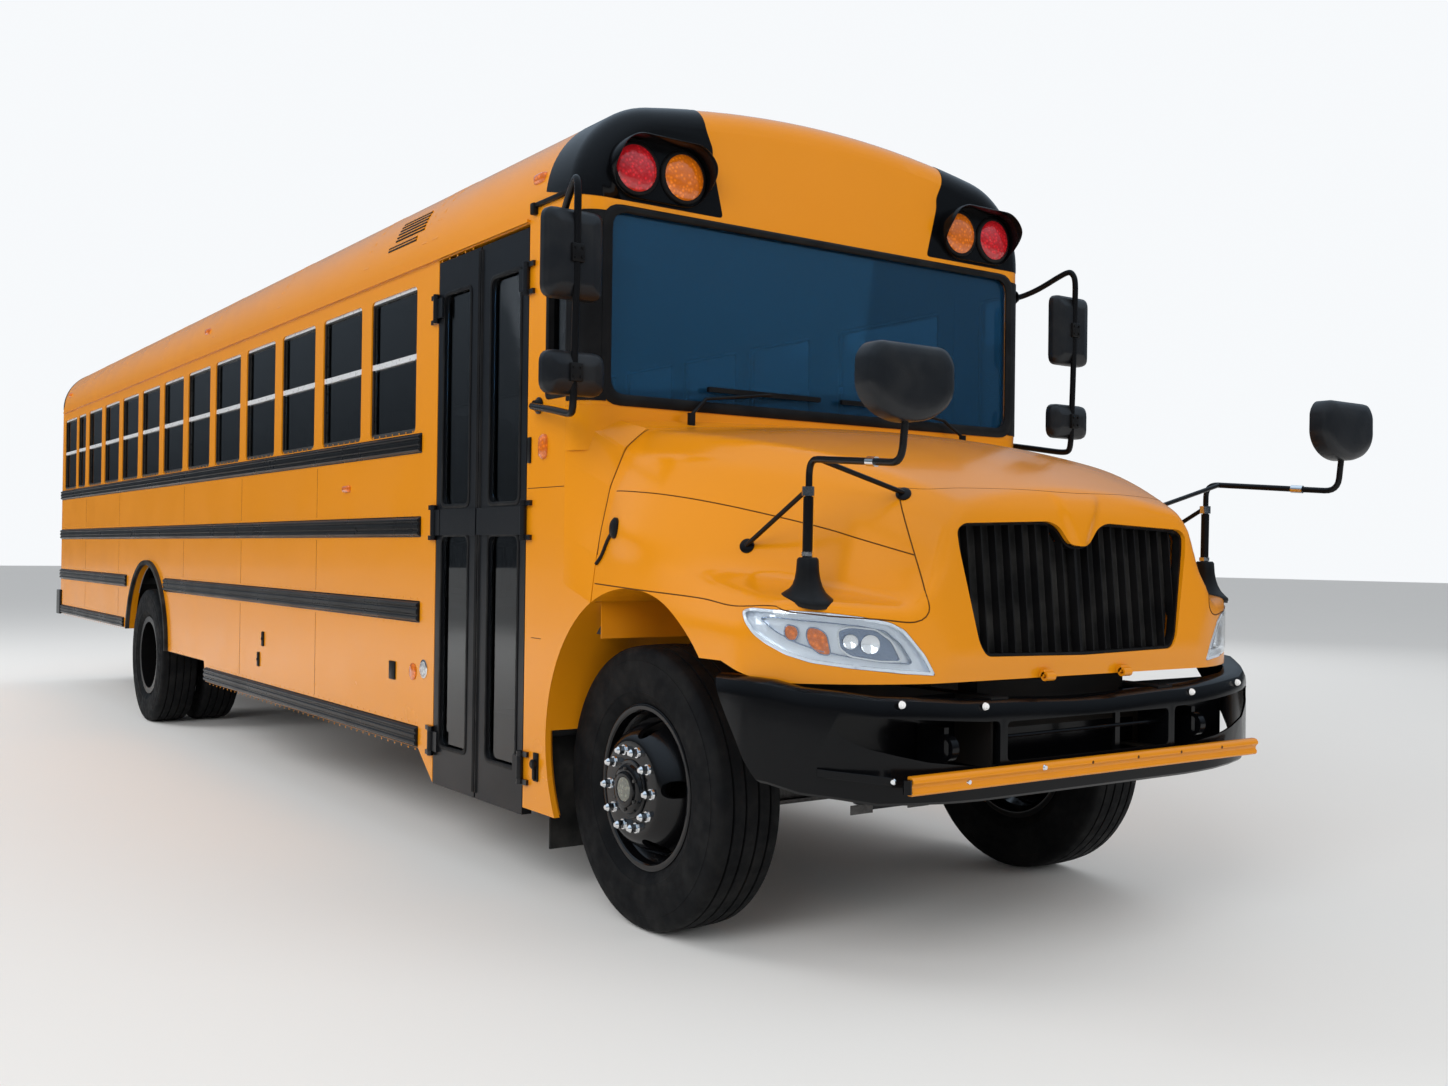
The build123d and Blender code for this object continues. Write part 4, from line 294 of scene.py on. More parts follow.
@dataclass(frozen=True)
class Paint(Finish):
    """Sprayed and baked paint with faint mottling, orange peel and road dust low down."""

    name: str
    colour: Colour
    roughness: float = 0.22
    coat: float = 0.14
    dust: float = 0.04
    mottle: float = 0.04
    shine: float = 0.3
    lining: Lining = Lining.NONE
    trim: bool = False

    LINING_COLOUR = (0.34, 0.36, 0.36)
    DUST_COLOUR = (0.26, 0.17, 0.08)
    TRIM_COLOUR = (0.006, 0.006, 0.007)
    # The black trim is what stands proud of the wall's sheet, below the roof.
    TRIM_PROUD = SKIN_Y + 0.0025
    TRIM_TOP = 2.70
    # The cabin's half width, floor, and the stations of its rear and front walls' inner faces.
    CABIN_HALF = 1.1745
    CABIN_FLOOR = 1.0
    CABIN_ENDS = (REAR_X + 0.045, WINDSHIELD_X - 0.03)

    def paint(self, shader: Shader) -> None:
        """Fill in the material's nodes.

        Args:
            shader: The material that is filled in.
        """
        broad = shader.noise(0.9, 4)
        colour = shader.mix(broad, shade(self.colour, 1 - self.mottle), shade(self.colour, 1 + self.mottle))
        low = shader.spread(shader.axis("Z"), (1.3, 0.35), (0.0, 1.0))
        grime = shader.maths("MULTIPLY", low, shader.spread(shader.noise(5.5, 6), (0.35, 0.75), (0.2, 1.0)))
        grime = shader.maths("MULTIPLY", grime, self.dust)
        colour = shader.mix(grime, colour, self.DUST_COLOUR)
        if self.lining is not Lining.NONE:
            colour = shader.mix(self.inside(shader), colour, self.LINING_COLOUR)
        if self.trim:
            proud = shader.maths("GREATER_THAN", shader.reach(), self.TRIM_PROUD)
            proud = shader.maths("MULTIPLY", proud, shader.maths("LESS_THAN", shader.axis("Z"), self.TRIM_TOP))
            colour = shader.mix(proud, colour, self.TRIM_COLOUR)
        shader.drive("Base Color", colour)
        gloss = shader.spread(shader.noise(2.6, 5), (0.3, 0.7), (self.roughness * 0.85, self.roughness * 1.2))
        shader.drive("Roughness", shader.maths("ADD", gloss, shader.maths("MULTIPLY", grime, 0.5)))
        shader.set(Coat_Weight=self.coat, Coat_Roughness=0.06, IOR=1.5, Specular_IOR_Level=self.shine)
        shader.bump(shader.noise(60.0, 2), 0.00012, 0.3)

    def inside(self, shader: Shader) -> Socket:
        """Return 1 on the faces that look into the cabin and 0 on the others.

        Args:
            shader: The material that is filled in.

        Returns:
            The mask.
        """
        within = shader.maths("LESS_THAN", shader.reach(), self.CABIN_HALF)
        clear = shader.maths("MULTIPLY", shader.maths("GREATER_THAN", shader.axis("X"), self.CABIN_ENDS[0]),
                             shader.maths("LESS_THAN", shader.axis("X"), self.CABIN_ENDS[1]))
        within = shader.maths("MULTIPLY", within, clear)
        if self.lining is Lining.ROOF:
            down = shader.maths("LESS_THAN", shader.axis("Z", "Normal"), 0.02)
            within = shader.maths("MULTIPLY", within, down)
        return shader.maths("MULTIPLY", within, shader.maths("GREATER_THAN", shader.axis("Z"), self.CABIN_FLOOR))


@dataclass(frozen=True)
class Plastic(Finish):
    """Moulded plastic or rubber with a fine grain and slight bleaching."""

    name: str
    colour: Colour
    roughness: float = 0.5
    grain: float = 0.0004
    grain_scale: float = 320.0
    dust: float = 0.15
    shine: float = 0.18

    def paint(self, shader: Shader) -> None:
        """Fill in the material's nodes.

        Args:
            shader: The material that is filled in.
        """
        patch = shader.spread(shader.noise(7.0, 5), (0.35, 0.8), (0.0, self.dust))
        shader.drive("Base Color", shader.mix(patch, self.colour, (0.25, 0.24, 0.22)))
        rough = shader.spread(shader.noise(16.0, 4), (0.3, 0.7), (self.roughness * 0.85, self.roughness * 1.15))
        shader.drive("Roughness", rough)
        shader.set(Specular_IOR_Level=self.shine)
        shader.bump(shader.noise(self.grain_scale, 2), self.grain, 0.6)


@dataclass(frozen=True)
class Metal(Finish):
    """Bare, plated or cast metal with brushed or pitted texture."""

    name: str
    colour: Colour
    roughness: float = 0.3
    metallic: float = 1.0
    stretch: Point = (1.0, 1.0, 1.0)
    texture_scale: float = 60.0
    depth: float = 0.0003
    stain: Colour = (0.2, 0.17, 0.14)
    stained: float = 0.2
    # Bright only along the windows' middle and top rails, and darkened on their sides and foot.
    frames: bool = False

    # The height and half height of the windows' middle rail, and where their top rail begins.
    MIDDLE_RAIL = (2.311, 0.020)
    TOP_RAIL = 2.630
    FRAME_DARK = (0.055, 0.053, 0.05)

    def paint(self, shader: Shader) -> None:
        """Fill in the material's nodes.

        Args:
            shader: The material that is filled in.
        """
        patch = shader.spread(shader.noise(8.0, 6), (0.45, 0.85), (0.0, self.stained))
        colour = shader.mix(patch, self.colour, self.stain)
        if self.frames:
            height, half = self.MIDDLE_RAIL
            away = shader.maths("ABSOLUTE", shader.maths("SUBTRACT", shader.axis("Z"), height), 0.0)
            bright = shader.maths("MAXIMUM", shader.maths("LESS_THAN", away, half),
                                  shader.maths("GREATER_THAN", shader.axis("Z"), self.TOP_RAIL))
            colour = shader.mix(bright, self.FRAME_DARK, colour)
        shader.drive("Base Color", colour)
        rough = shader.spread(shader.noise(self.texture_scale, 4, self.stretch), (0.3, 0.7),
                              (self.roughness * 0.7, self.roughness * 1.35))
        shader.drive("Roughness", rough)
        shader.set(Metallic=self.metallic)
        shader.bump(shader.noise(self.texture_scale, 4, self.stretch), self.depth, 0.5)


@dataclass(frozen=True)
class Glass(Finish):
    """Tinted glass or clear plastic with faint waves and a little dirt."""

    name: str
    colour: Colour
    roughness: float = 0.02
    transmission: float = 1.0
    ior: float = 1.45

    def paint(self, shader: Shader) -> None:
        """Fill in the material's nodes.

        Args:
            shader: The material that is filled in.
        """
        shader.drive("Base Color", shader.mix(shader.noise(3.0, 5), shade(self.colour, 0.94), shade(self.colour, 1.05)))
        smear = shader.spread(shader.noise(4.0, 6), (0.5, 0.9), (self.roughness, self.roughness + 0.06))
        shader.drive("Roughness", smear)
        shader.set(Transmission_Weight=self.transmission, IOR=self.ior)


@dataclass(frozen=True)
class Lens(Finish):
    """Coloured lamp lens with moulded prism rings."""

    name: str
    colour: Colour
    glow: float = 0.15

    def paint(self, shader: Shader) -> None:
        """Fill in the material's nodes.

        Args:
            shader: The material that is filled in.
        """
        cells = shader.cells(62.0)
        tint = shader.spread(cells, (0.0, 0.6), (0.0, 1.0))
        shader.drive("Base Color", shader.mix(tint, shade(self.colour, 1.35), shade(self.colour, 0.6)))
        shader.set(Roughness=0.14, Coat_Weight=0.8, Coat_Roughness=0.04, Transmission_Weight=0.25, IOR=1.49,
                   Emission_Color=self.colour, Emission_Strength=self.glow)
        shader.bump(cells, 0.002, 0.7)


@dataclass(frozen=True)
class TyreRubber(Finish):
    """Tyre rubber, dusted with grey towards the tread."""

    name: str
    colour: Colour = (0.0045, 0.0048, 0.0055)

    def paint(self, shader: Shader) -> None:
        """Fill in the material's nodes.

        Args:
            shader: The material that is filled in.
        """
        dust = shader.spread(shader.noise(9.0, 7), (0.35, 0.75), (0.0, 0.14))
        shader.drive("Base Color", shader.mix(dust, self.colour, (0.05, 0.047, 0.043)))
        shader.drive("Roughness", shader.spread(shader.noise(24.0, 5), (0.3, 0.7), (0.60, 0.80)))
        shader.set(Specular_IOR_Level=0.12)
        shader.bump(shader.noise(210.0, 4), 0.0008, 0.6)


@dataclass(frozen=True)
class Vinyl(Finish):
    """Seat vinyl with a leather-like grain."""

    name: str
    colour: Colour

    def paint(self, shader: Shader) -> None:
        """Fill in the material's nodes.

        Args:
            shader: The material that is filled in.
        """
        shader.drive("Base Color", shader.mix(shader.noise(6.0, 4), shade(self.colour, 0.85), shade(self.colour, 1.2)))
        shader.drive("Roughness", shader.spread(shader.noise(12.0, 4), (0.3, 0.7), (0.38, 0.55)))
        shader.bump(shader.cells(260.0, "DISTANCE_TO_EDGE"), 0.0006, 0.6)


YELLOW = (0.66, 0.235, 0.004)


@dataclass(frozen=True)
class PaintShop:
    """Every finish on the bus."""

    yellow: Paint = Paint("yellow_paint", YELLOW)
    yellow_wall: Paint = Paint("yellow_wall_paint", YELLOW, lining=Lining.WALL, trim=True)
    yellow_roof: Paint = Paint("yellow_roof_paint", YELLOW, lining=Lining.ROOF)
    yellow_front: Paint = Paint("yellow_front_paint", YELLOW, lining=Lining.ROOF, trim=True)
    black: Paint = Paint("black_paint", (0.0022, 0.0024, 0.003), roughness=0.22, coat=0.08, dust=0.0, shine=0.14)
    rail_black: Paint = Paint("rail_paint", (0.003, 0.003, 0.0035), roughness=0.30, coat=0.05, dust=0.01, shine=0.16)
    wheel_black: Paint = Paint("wheel_paint", (0.003, 0.003, 0.0035), roughness=0.18, coat=0.15, dust=0.0, shine=0.25)
    door_black: Paint = Paint("door_paint", (0.006, 0.007, 0.009), roughness=0.34, coat=0.05, dust=0.02, shine=0.2)
    chassis: Paint = Paint("chassis_paint", (0.006, 0.006, 0.0065), roughness=0.6, coat=0.0, dust=0.08, shine=0.15)
    stop_red: Paint = Paint("stop_arm_paint", (0.50, 0.012, 0.012), roughness=0.35, coat=0.2, dust=0.0)
    white: Paint = Paint("white_border_paint", (0.82, 0.82, 0.80), roughness=0.4, coat=0.0, dust=0.0)
    # A shaded copy of the yellow paint: thin strips and discs in it are painted shade in the hood's and walls' seams
    # and in the gate's holes.
    seam: Plastic = Plastic("seam_shadow", (0.10, 0.035, 0.004), 0.7, dust=0.0)
    black_plastic: Plastic = Plastic("black_plastic", (0.0035, 0.0035, 0.004), 0.42, dust=0.02)
    mirror_shell: Plastic = Plastic("mirror_shell", (0.006, 0.007, 0.009), 0.34, grain=0.0006, grain_scale=240.0,
                                    dust=0.04, shine=0.3)
    gasket: Plastic = Plastic("window_rubber", (0.004, 0.004, 0.0045), 0.5, dust=0.03)
    flap: Plastic = Plastic("flap_rubber", (0.010, 0.010, 0.010), 0.75, dust=0.15)
    floor_rubber: Plastic = Plastic("floor_rubber", (0.045, 0.047, 0.05), 0.7, dust=0.3)
    dash: Plastic = Plastic("dash_plastic", (0.05, 0.052, 0.055), 0.55)
    hatch: Plastic = Plastic("hatch_plastic", (0.72, 0.72, 0.69), 0.35, dust=0.2)
    bezel: Metal = Metal("lamp_bezel", (0.80, 0.86, 0.94), 0.16, metallic=0.35, depth=0.0001, stained=0.0)
    frame_metal: Metal = Metal("window_frame_metal", (0.72, 0.73, 0.74), 0.36, 0.35, frames=True)
    chrome: Metal = Metal("chrome", (0.78, 0.79, 0.80), 0.10, depth=0.0001, stained=0.05)
    silver: Metal = Metal("reflector_silver", (0.75, 0.77, 0.80), 0.14, depth=0.0002, stained=0.0)
    cast: Metal = Metal("cast_iron", (0.075, 0.072, 0.07), 0.6, metallic=0.6, texture_scale=120.0, depth=0.001)
    exhaust: Metal = Metal("exhaust_steel", (0.36, 0.33, 0.30), 0.45, texture_scale=40.0, stained=0.6)
    facets: Metal = Metal("reflector_facets", (0.20, 0.25, 0.34), 0.16, texture_scale=75.0, depth=0.006, stained=0.0)
    mirror: Metal = Metal("mirror_glass", (0.86, 0.88, 0.90), 0.02, depth=0.0, stained=0.0)
    tyre: TyreRubber = TyreRubber("tyre_rubber")
    windshield: Glass = Glass("windshield_tint", (0.03, 0.15, 0.31), transmission=0.85)
    window: Glass = Glass("window_tint", (0.045, 0.05, 0.055))
    door_window: Glass = Glass("door_tint", (0.08, 0.09, 0.10))
    clear: Glass = Glass("headlamp_cover", (0.93, 0.95, 0.97), 0.01)
    red_lens: Lens = Lens("red_lens", (0.62, 0.012, 0.02))
    amber_lens: Lens = Lens("amber_lens", (0.85, 0.19, 0.005))
    oil_window: Lens = Lens("oil_window", (0.16, 0.17, 0.13), 0.0)
    white_lens: Lens = Lens("white_lens", (0.75, 0.77, 0.78), 0.0)
    seat: Vinyl = Vinyl("seat_vinyl", (0.035, 0.05, 0.07))


SHOP = PaintShop()

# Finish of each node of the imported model.
NODE_FINISHES: dict[str, Finish] = {name: finish for finish, names in (
    (SHOP.yellow, "hood crossing_gate"),
    (SHOP.yellow_wall, "side_wall_right side_wall_left rear_door"),
    (SHOP.yellow_roof, "roof rear_shell"),
    (SHOP.yellow_front, "front_frame cowl"),
    (SHOP.black, "front_bumper rear_bumper lamp_housings"),
    (SHOP.rail_black, "rub_rails rear_wheels_right rear_wheels_left"),
    (SHOP.wheel_black, "front_wheel_right front_wheel_left"),
    (SHOP.door_black, "door_leaf_front door_leaf_rear"),
    (SHOP.chassis, "chassis_rails cross_members driveshaft fuel_tank radiator"),
    (SHOP.stop_red, "stop_arm"),
    (SHOP.black_plastic, "cross_view_mirrors wipers grille"),
    (SHOP.mirror_shell, "side_mirrors"),
    (SHOP.flap, "mudflaps rear_fender_lips"),
    (SHOP.floor_rubber, "floor stepwell"),
    (SHOP.dash, "dashboard"),
    (SHOP.hatch, "roof_hatch"),
    (SHOP.frame_metal, "window_frames_right window_frames_left"),
    (SHOP.cast, "knuckle_right knuckle_left engine_block front_axle rear_axle"),
    (SHOP.exhaust, "exhaust"),
    (SHOP.tyre, "front_tyre_right front_tyre_left rear_tyres_right rear_tyres_left"),
    (SHOP.windshield, "windshield_glass"),
    (SHOP.window, "window_glass_right window_glass_left rear_glass rear_door_glass"),
    (SHOP.door_window, "door_glass_front door_glass_rear"),
    (SHOP.clear, "headlights"),
    (SHOP.red_lens, "lamp_lenses"),
    (SHOP.seat, "seats_right seats_left"),
) for name in names.split()}


# ---- mesh tools ----

# How a flat point and a place along each axis make a point in space.
ON_AXIS: dict[str, Callable[[Flat, float], Point]] = {
    "X": lambda p, d: (d, p[0], p[1]), "Y": lambda p, d: (p[0], d, p[1]), "Z": lambda p, d: (p[0], p[1], d)}


def linked(name: str, data: bpy.types.ID) -> Thing:
    """Return a new object of the given data, linked to the scene.

    Args:
        name: The object's name.
        data: Its mesh, curve, light or camera.

    Returns:
        The object.
    """
    thing = bpy.data.objects.new(name, data)
    bpy.context.scene.collection.objects.link(thing)
    return thing


def make_object(name: str, vertices: Sequence[Point], faces: Sequence[Sequence[int]]) -> Thing:
    """Return a new mesh object in the scene from vertices and faces.

    Args:
        name: The object's name.
        vertices: Its points.
        faces: The points' numbers of each face.

    Returns:
        The object.
    """
    mesh = bpy.data.meshes.new(name)
    mesh.from_pydata([tuple(v) for v in vertices], [], [tuple(f) for f in faces])
    mesh.validate()
    return linked(name, mesh)


def applied(thing: Thing) -> Thing:
    """Turn an object with its modifiers, or a curve, into one plain mesh at the origin and return it.

    Args:
        thing: The object, which goes.

    Returns:
        The plain mesh object, under the same name.
    """
    bpy.context.view_layer.update()
    graph = bpy.context.evaluated_depsgraph_get()
    mesh = bpy.data.meshes.new_from_object(thing.evaluated_get(graph), depsgraph=graph)
    mesh.transform(thing.matrix_world)
    name = thing.name
    bpy.data.objects.remove(thing)
    return linked(name, mesh)


def recalculated(thing: Thing, merge: float = 1e-5) -> Thing:
    """Merge doubles, point the faces outwards and return the object.

    Args:
        thing: The object.
        merge: The distance within which points are merged.

    Returns:
        The same object.
    """
    mesh = bmesh.new()
    mesh.from_mesh(thing.data)
    bmesh.ops.remove_doubles(mesh, verts=mesh.verts, dist=merge)
    bmesh.ops.recalc_face_normals(mesh, faces=mesh.faces)
    mesh.to_mesh(thing.data)
    mesh.free()
    return thing


def smoothed(thing: Thing, degrees: float = 35.0) -> Thing:
    """Shade an object smooth with sharp edges past an angle and return it.

    Args:
        thing: The object.
        degrees: The angle past which an edge counts as sharp.

    Returns:
        The same object.
    """
    thing.data.shade_smooth()
    thing.data.set_sharp_from_angle(angle=math.radians(degrees))
    return thing


def joined(name: str, things: Sequence[Thing]) -> Thing:
    """Join several plain meshes into one object and return it.

    Args:
        name: The object's name.
        things: The meshes, which go.

    Returns:
        The joined object.
    """
    mesh = bmesh.new()
    for thing in things:
        mesh.from_mesh(thing.data)
        bpy.data.objects.remove(thing)
    whole = bpy.data.meshes.new(name)
    mesh.to_mesh(whole)
    mesh.free()
    return linked(name, whole)


def node_copy(node: str, name: str) -> Thing:
    """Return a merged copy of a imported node's mesh with its flat areas dissolved.

    Args:
        node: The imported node's name.
        name: The object's name.

    Returns:
        The copy.
    """
    mesh = bmesh.new()
    mesh.from_mesh(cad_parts[node].data)
    bmesh.ops.remove_doubles(mesh, verts=mesh.verts, dist=2e-5)
    bmesh.ops.dissolve_limit(mesh, angle_limit=math.radians(0.6), verts=mesh.verts, edges=mesh.edges)
    data = bpy.data.meshes.new(name)
    mesh.to_mesh(data)
    mesh.free()
    return linked(name, data)


def bevelled(thing: Thing, width: float, segments: int = 2, degrees: float = 35.0) -> Thing:
    """Round an object's sharp edges and return the plain result.

    Args:
        thing: The object.
        width: How wide the rounding is.
        segments: How many faces it has.
        degrees: The angle past which an edge counts as sharp.

    Returns:
        The rounded object.
    """
    edge = thing.modifiers.new("edges", "BEVEL")
    edge.width = width
    edge.segments = segments
    edge.limit_method = "ANGLE"
    edge.angle_limit = math.radians(degrees)
    return smoothed(applied(thing), 40.0)


def cut(thing: Thing, cutter: Thing, operation: str = "DIFFERENCE") -> Thing:
    """Combine an object with a cutter, which goes, and return the plain result.

    Args:
        thing: The object.
        cutter: The other solid.
        operation: How the two are combined.

    Returns:
        The result.
    """
    modifier = thing.modifiers.new("cut", "BOOLEAN")
    modifier.operation = operation
    modifier.object = cutter
    modifier.solver = "EXACT"
    result = applied(thing)
    bpy.data.objects.remove(cutter)
    return result


def lofted(name: str, rings: Sequence[Sequence[Point]], capped: bool = True) -> Thing:
    """Return a mesh through closed rings with the same number of points.

    Args:
        name: The object's name.
        rings: The rings in order.
        capped: Whether both ends are closed.

    Returns:
        The mesh object.
    """
    count = len(rings[0])
    vertices = [point for ring in rings for point in ring]
    faces = []
    for row in range(len(rings) - 1):
        for i in range(count):
            j = (i + 1) % count
            faces.append((row * count + i, row * count + j, (row + 1) * count + j, (row + 1) * count + i))
    if capped:
        faces.append(tuple(range(count)))
        faces.append(tuple(range(len(vertices) - count, len(vertices))))
    return recalculated(make_object(name, vertices, faces), 1e-6)


def prism(name: str, outline: Sequence[Flat], low: float, high: float, axis: str) -> Thing:
    """Return a solid between two places on an axis, from an outline on the other two axes in order."""
    return lofted(name, [[ON_AXIS[axis](p, place) for p in outline] for place in (low, high)])


def crossing(name: str, outline: Sequence[Flat]) -> Thing:
    """Return a solid across the whole bus from an outline of stations and heights."""
    return prism(name, [(station(x), z) for x, z in outline], -PAST_SIDE, PAST_SIDE, "Y")


def lengthwise(name: str, outline: Sequence[Flat], rear: float, front: float) -> Thing:
    """Return a solid between two stations from an outline of widths and heights."""
    return prism(name, outline, station(rear), station(front), "X")


def block(name: str, a: Point, b: Point) -> Thing:
    """Return a box between two opposite corners."""
    (x0, x1), (y0, y1), (z0, z1) = (sorted(pair) for pair in zip(a, b))
    return prism(name, [(y0, z0), (y1, z0), (y1, z1), (y0, z1)], x0, x1, "X")


def turned(name: str, profile: Sequence[Flat], center: Point, axis: str = "Y", turns: int = 48,
           flip: int = 1) -> Thing:
    """Return a profile turned about an axis.

    Args:
        name: The object's name.
        profile: Pairs of a distance along the axis and a radius.
        center: The point on the axis that the distances start from.
        axis: The axis's letter.
        turns: How many sides the round form has.
        flip: 1, or -1 where the distances run against the axis.

    Returns:
        The turned mesh.
    """
    rings = []
    for i in range(turns):
        c, s = math.cos(math.tau * i / turns), math.sin(math.tau * i / turns)
        rings.append([tuple(Vector(center) + Vector(ON_AXIS[axis]((r * c, r * s), flip * a))) for a, r in profile])
    return lofted(name, [*rings, rings[0]], capped=False)


def stood(thing: Thing, spot: Vector, normal: Vector, stretch: float = 1.0) -> Thing:
    """Move an object modelled about the origin to a spot, with its Y axis along a normal, and return it.

    Args:
        thing: The object.
        spot: Where its origin goes.
        normal: Where its Y axis points.
        stretch: How much longer it gets along its Z axis.

    Returns:
        The same object.
    """
    turn = normal.to_track_quat("Y", "Z").to_matrix().to_4x4()
    thing.data.transform(Matrix.Translation(spot) @ turn @ Matrix.Diagonal((1.0, 1.0, stretch, 1.0)))
    return thing


def tube(name: str, points: Sequence[Point], radius: float, sides: int = 2) -> Thing:
    """Return a thin round tube along a polyline.

    Args:
        name: The object's name.
        points: The polyline.
        radius: The radius.
        sides: How finely its round section is divided.

    Returns:
        The tube.
    """
    curve = bpy.data.curves.new(name, "CURVE")
    curve.dimensions = "3D"
    curve.bevel_depth = radius
    curve.bevel_resolution = sides
    curve.use_fill_caps = True
    spline = curve.splines.new("POLY")
    spline.points.add(len(points) - 1)
    for target, point in zip(spline.points, points):
        target.co = (*point, 1.0)
    return smoothed(applied(linked(name, curve)), 60.0)


def rounded_outline(points: Sequence[Flat], radius: float, steps: int = 5) -> list[Flat]:
    """Return a closed outline with each corner rounded to a radius, or less on short sides.

    Args:
        points: The points in order.
        radius: The radius.
        steps: How many runs each corner gets.

    Returns:
        The rounded outline.
    """
    result: list[Flat] = []
    count = len(points)
    for i, corner in enumerate(points):
        here = Vector(corner)
        back = Vector(points[i - 1]) - here
        ahead = Vector(points[(i + 1) % count]) - here
        reach = min(radius, back.length * 0.45, ahead.length * 0.45)
        start = here + back.normalized() * reach
        end = here + ahead.normalized() * reach
        for step in range(steps + 1):
            t = step / steps
            spot = start * (1 - t) ** 2 + here * 2 * t * (1 - t) + end * t**2
            result.append((spot.x, spot.y))
    return result


def box_outline(a: Flat, b: Flat, radius: float, steps: int = 5) -> list[Flat]:
    """Return a rounded rectangle between two limits on each of two axes."""
    return rounded_outline([(a[0], b[0]), (a[1], b[0]), (a[1], b[1]), (a[0], b[1])], radius, steps)


def smooth_path(points: Sequence[Point], step: float) -> list[Point]:
    """Return a Catmull-Rom curve through points, in steps of about the given length.

    Args:
        points: The points in order.
        step: The length of a run.

    Returns:
        The curve's points.
    """
    spots = [Vector(p) for p in points]
    spots = [spots[0] * 2 - spots[1], *spots, spots[-1] * 2 - spots[-2]]
    result = []
    for a, b, c, d in zip(spots, spots[1:], spots[2:], spots[3:]):
        count = max(1, round((c - b).length / step))
        for i in range(count):
            t = i / count
            result.append(tuple(0.5 * (2 * b + (c - a) * t + (2 * a - 5 * b + 4 * c - d) * t**2
                                       + (3 * b - a - 3 * c + d) * t**3)))
    result.append(tuple(spots[-2]))
    return result


def bent_path(points: Sequence[Point], radius: float, steps: int = 6) -> list[Point]:
    """Return a polyline whose inner corners are rounded.

    Args:
        points: The points in order.
        radius: The radius.
        steps: How many runs each corner gets.

    Returns:
        The bent polyline.
    """
    result = [points[0]]
    for before, corner, after in zip(points, points[1:], points[2:]):
        here = Vector(corner)
        back, ahead = Vector(before) - here, Vector(after) - here
        start = here + back.normalized() * min(radius, back.length * 0.45)
        end = here + ahead.normalized() * min(radius, ahead.length * 0.45)
        for i in range(steps + 1):
            t = i / steps
            result.append(tuple(start * (1 - t) ** 2 + here * 2 * t * (1 - t) + end * t**2))
    result.append(points[-1])
    return result


def inset_outline(points: Sequence[Flat], distance: float) -> list[Flat]:
    """Return a closed outline moved inwards by a distance.

    Args:
        points: The outline.
        distance: How far inwards.

    Returns:
        The moved outline.
    """
    area = sum(a[0] * b[1] - b[0] * a[1] for a, b in zip(points, [*points[1:], points[0]]))
    turn = 1.0 if area > 0 else -1.0
    result = []
    for i, here in enumerate(points):
        before, after = Vector(points[i - 1]), Vector(points[(i + 1) % len(points)])
        along = after - before
        if along.length < 1e-9:
            continue
        along.normalize()
        result.append((here[0] - along.y * distance * turn, here[1] + along.x * distance * turn))
    return result


def arc_points(a: Flat, b: Flat, c: Flat, count: int) -> list[Flat]:
    """Return points along the circle's arc from a through b to c.

    Args:
        a: Its start.
        b: A point on its way.
        c: Its end.
        count: How many runs it has.

    Returns:
        The arc's points.
    """
    ax, ay, bx, by, cx, cy = *a, *b, *c
    d = 2 * (ax * (by - cy) + bx * (cy - ay) + cx * (ay - by))
    ux = ((ax**2 + ay**2) * (by - cy) + (bx**2 + by**2) * (cy - ay) + (cx**2 + cy**2) * (ay - by)) / d
    uy = ((ax**2 + ay**2) * (cx - bx) + (bx**2 + by**2) * (ax - cx) + (cx**2 + cy**2) * (bx - ax)) / d
    radius = math.hypot(ax - ux, ay - uy)
    start = math.atan2(ay - uy, ax - ux)
    middle = (math.atan2(by - uy, bx - ux) - start) % math.tau
    end = (math.atan2(cy - uy, cx - ux) - start) % math.tau
    if middle > end:
        end -= math.tau
    return [(ux + radius * math.cos(start + end * i / count), uy + radius * math.sin(start + end * i / count))
            for i in range(count + 1)]


def through_rows(rows: Sequence[Sequence[float]], place: float) -> list[float]:
    """Return one row between given rows by the cubic through all four of them.

    Args:
        rows: Four rows of numbers, each led by its station.
        place: The station wanted; before the first row, that row is kept.

    Returns:
        The row's numbers without its station.
    """
    place = max(place, rows[0][0])
    shares = []
    for row in rows:
        share = 1.0
        for other in rows:
            if other is not row:
                share *= (place - other[0]) / (row[0] - other[0])
        shares.append(share)
    return [sum(s * row[i] for s, row in zip(shares, rows)) for i in range(1, len(rows[0]))]


def superellipse(value: float) -> float:
    """Return a circle's coordinate pushed out towards a rounded square."""
    return math.copysign(abs(value) ** 0.8, value)


def frame_band(name: str, outer: Sequence[Flat], inner: Sequence[Flat], low: float, high: float,
               axis: str) -> Thing:
    """Return a flat band between two outlines with the same number of points, with a raised middle.

    Args:
        name: The object's name.
        outer: The outer outline.
        inner: The inner outline.
        low: Where the band lies on its surface.
        high: Where its middle stands.
        axis: The letter of the axis it faces along.

    Returns:
        The band.
    """
    place, raised = ON_AXIS[axis], low + (high - low) * 0.6
    loops = []
    for a, b in zip(outer, inner):
        third = [(a[0] + (b[0] - a[0]) * t, a[1] + (b[1] - a[1]) * t) for t in (0.3, 0.7)]
        loops.append([place(a, low), place(a, raised), place(third[0], high), place(third[1], high),
                      place(b, raised), place(b, low)])
    return smoothed(lofted(name, loops + [loops[0]], capped=False), 60)


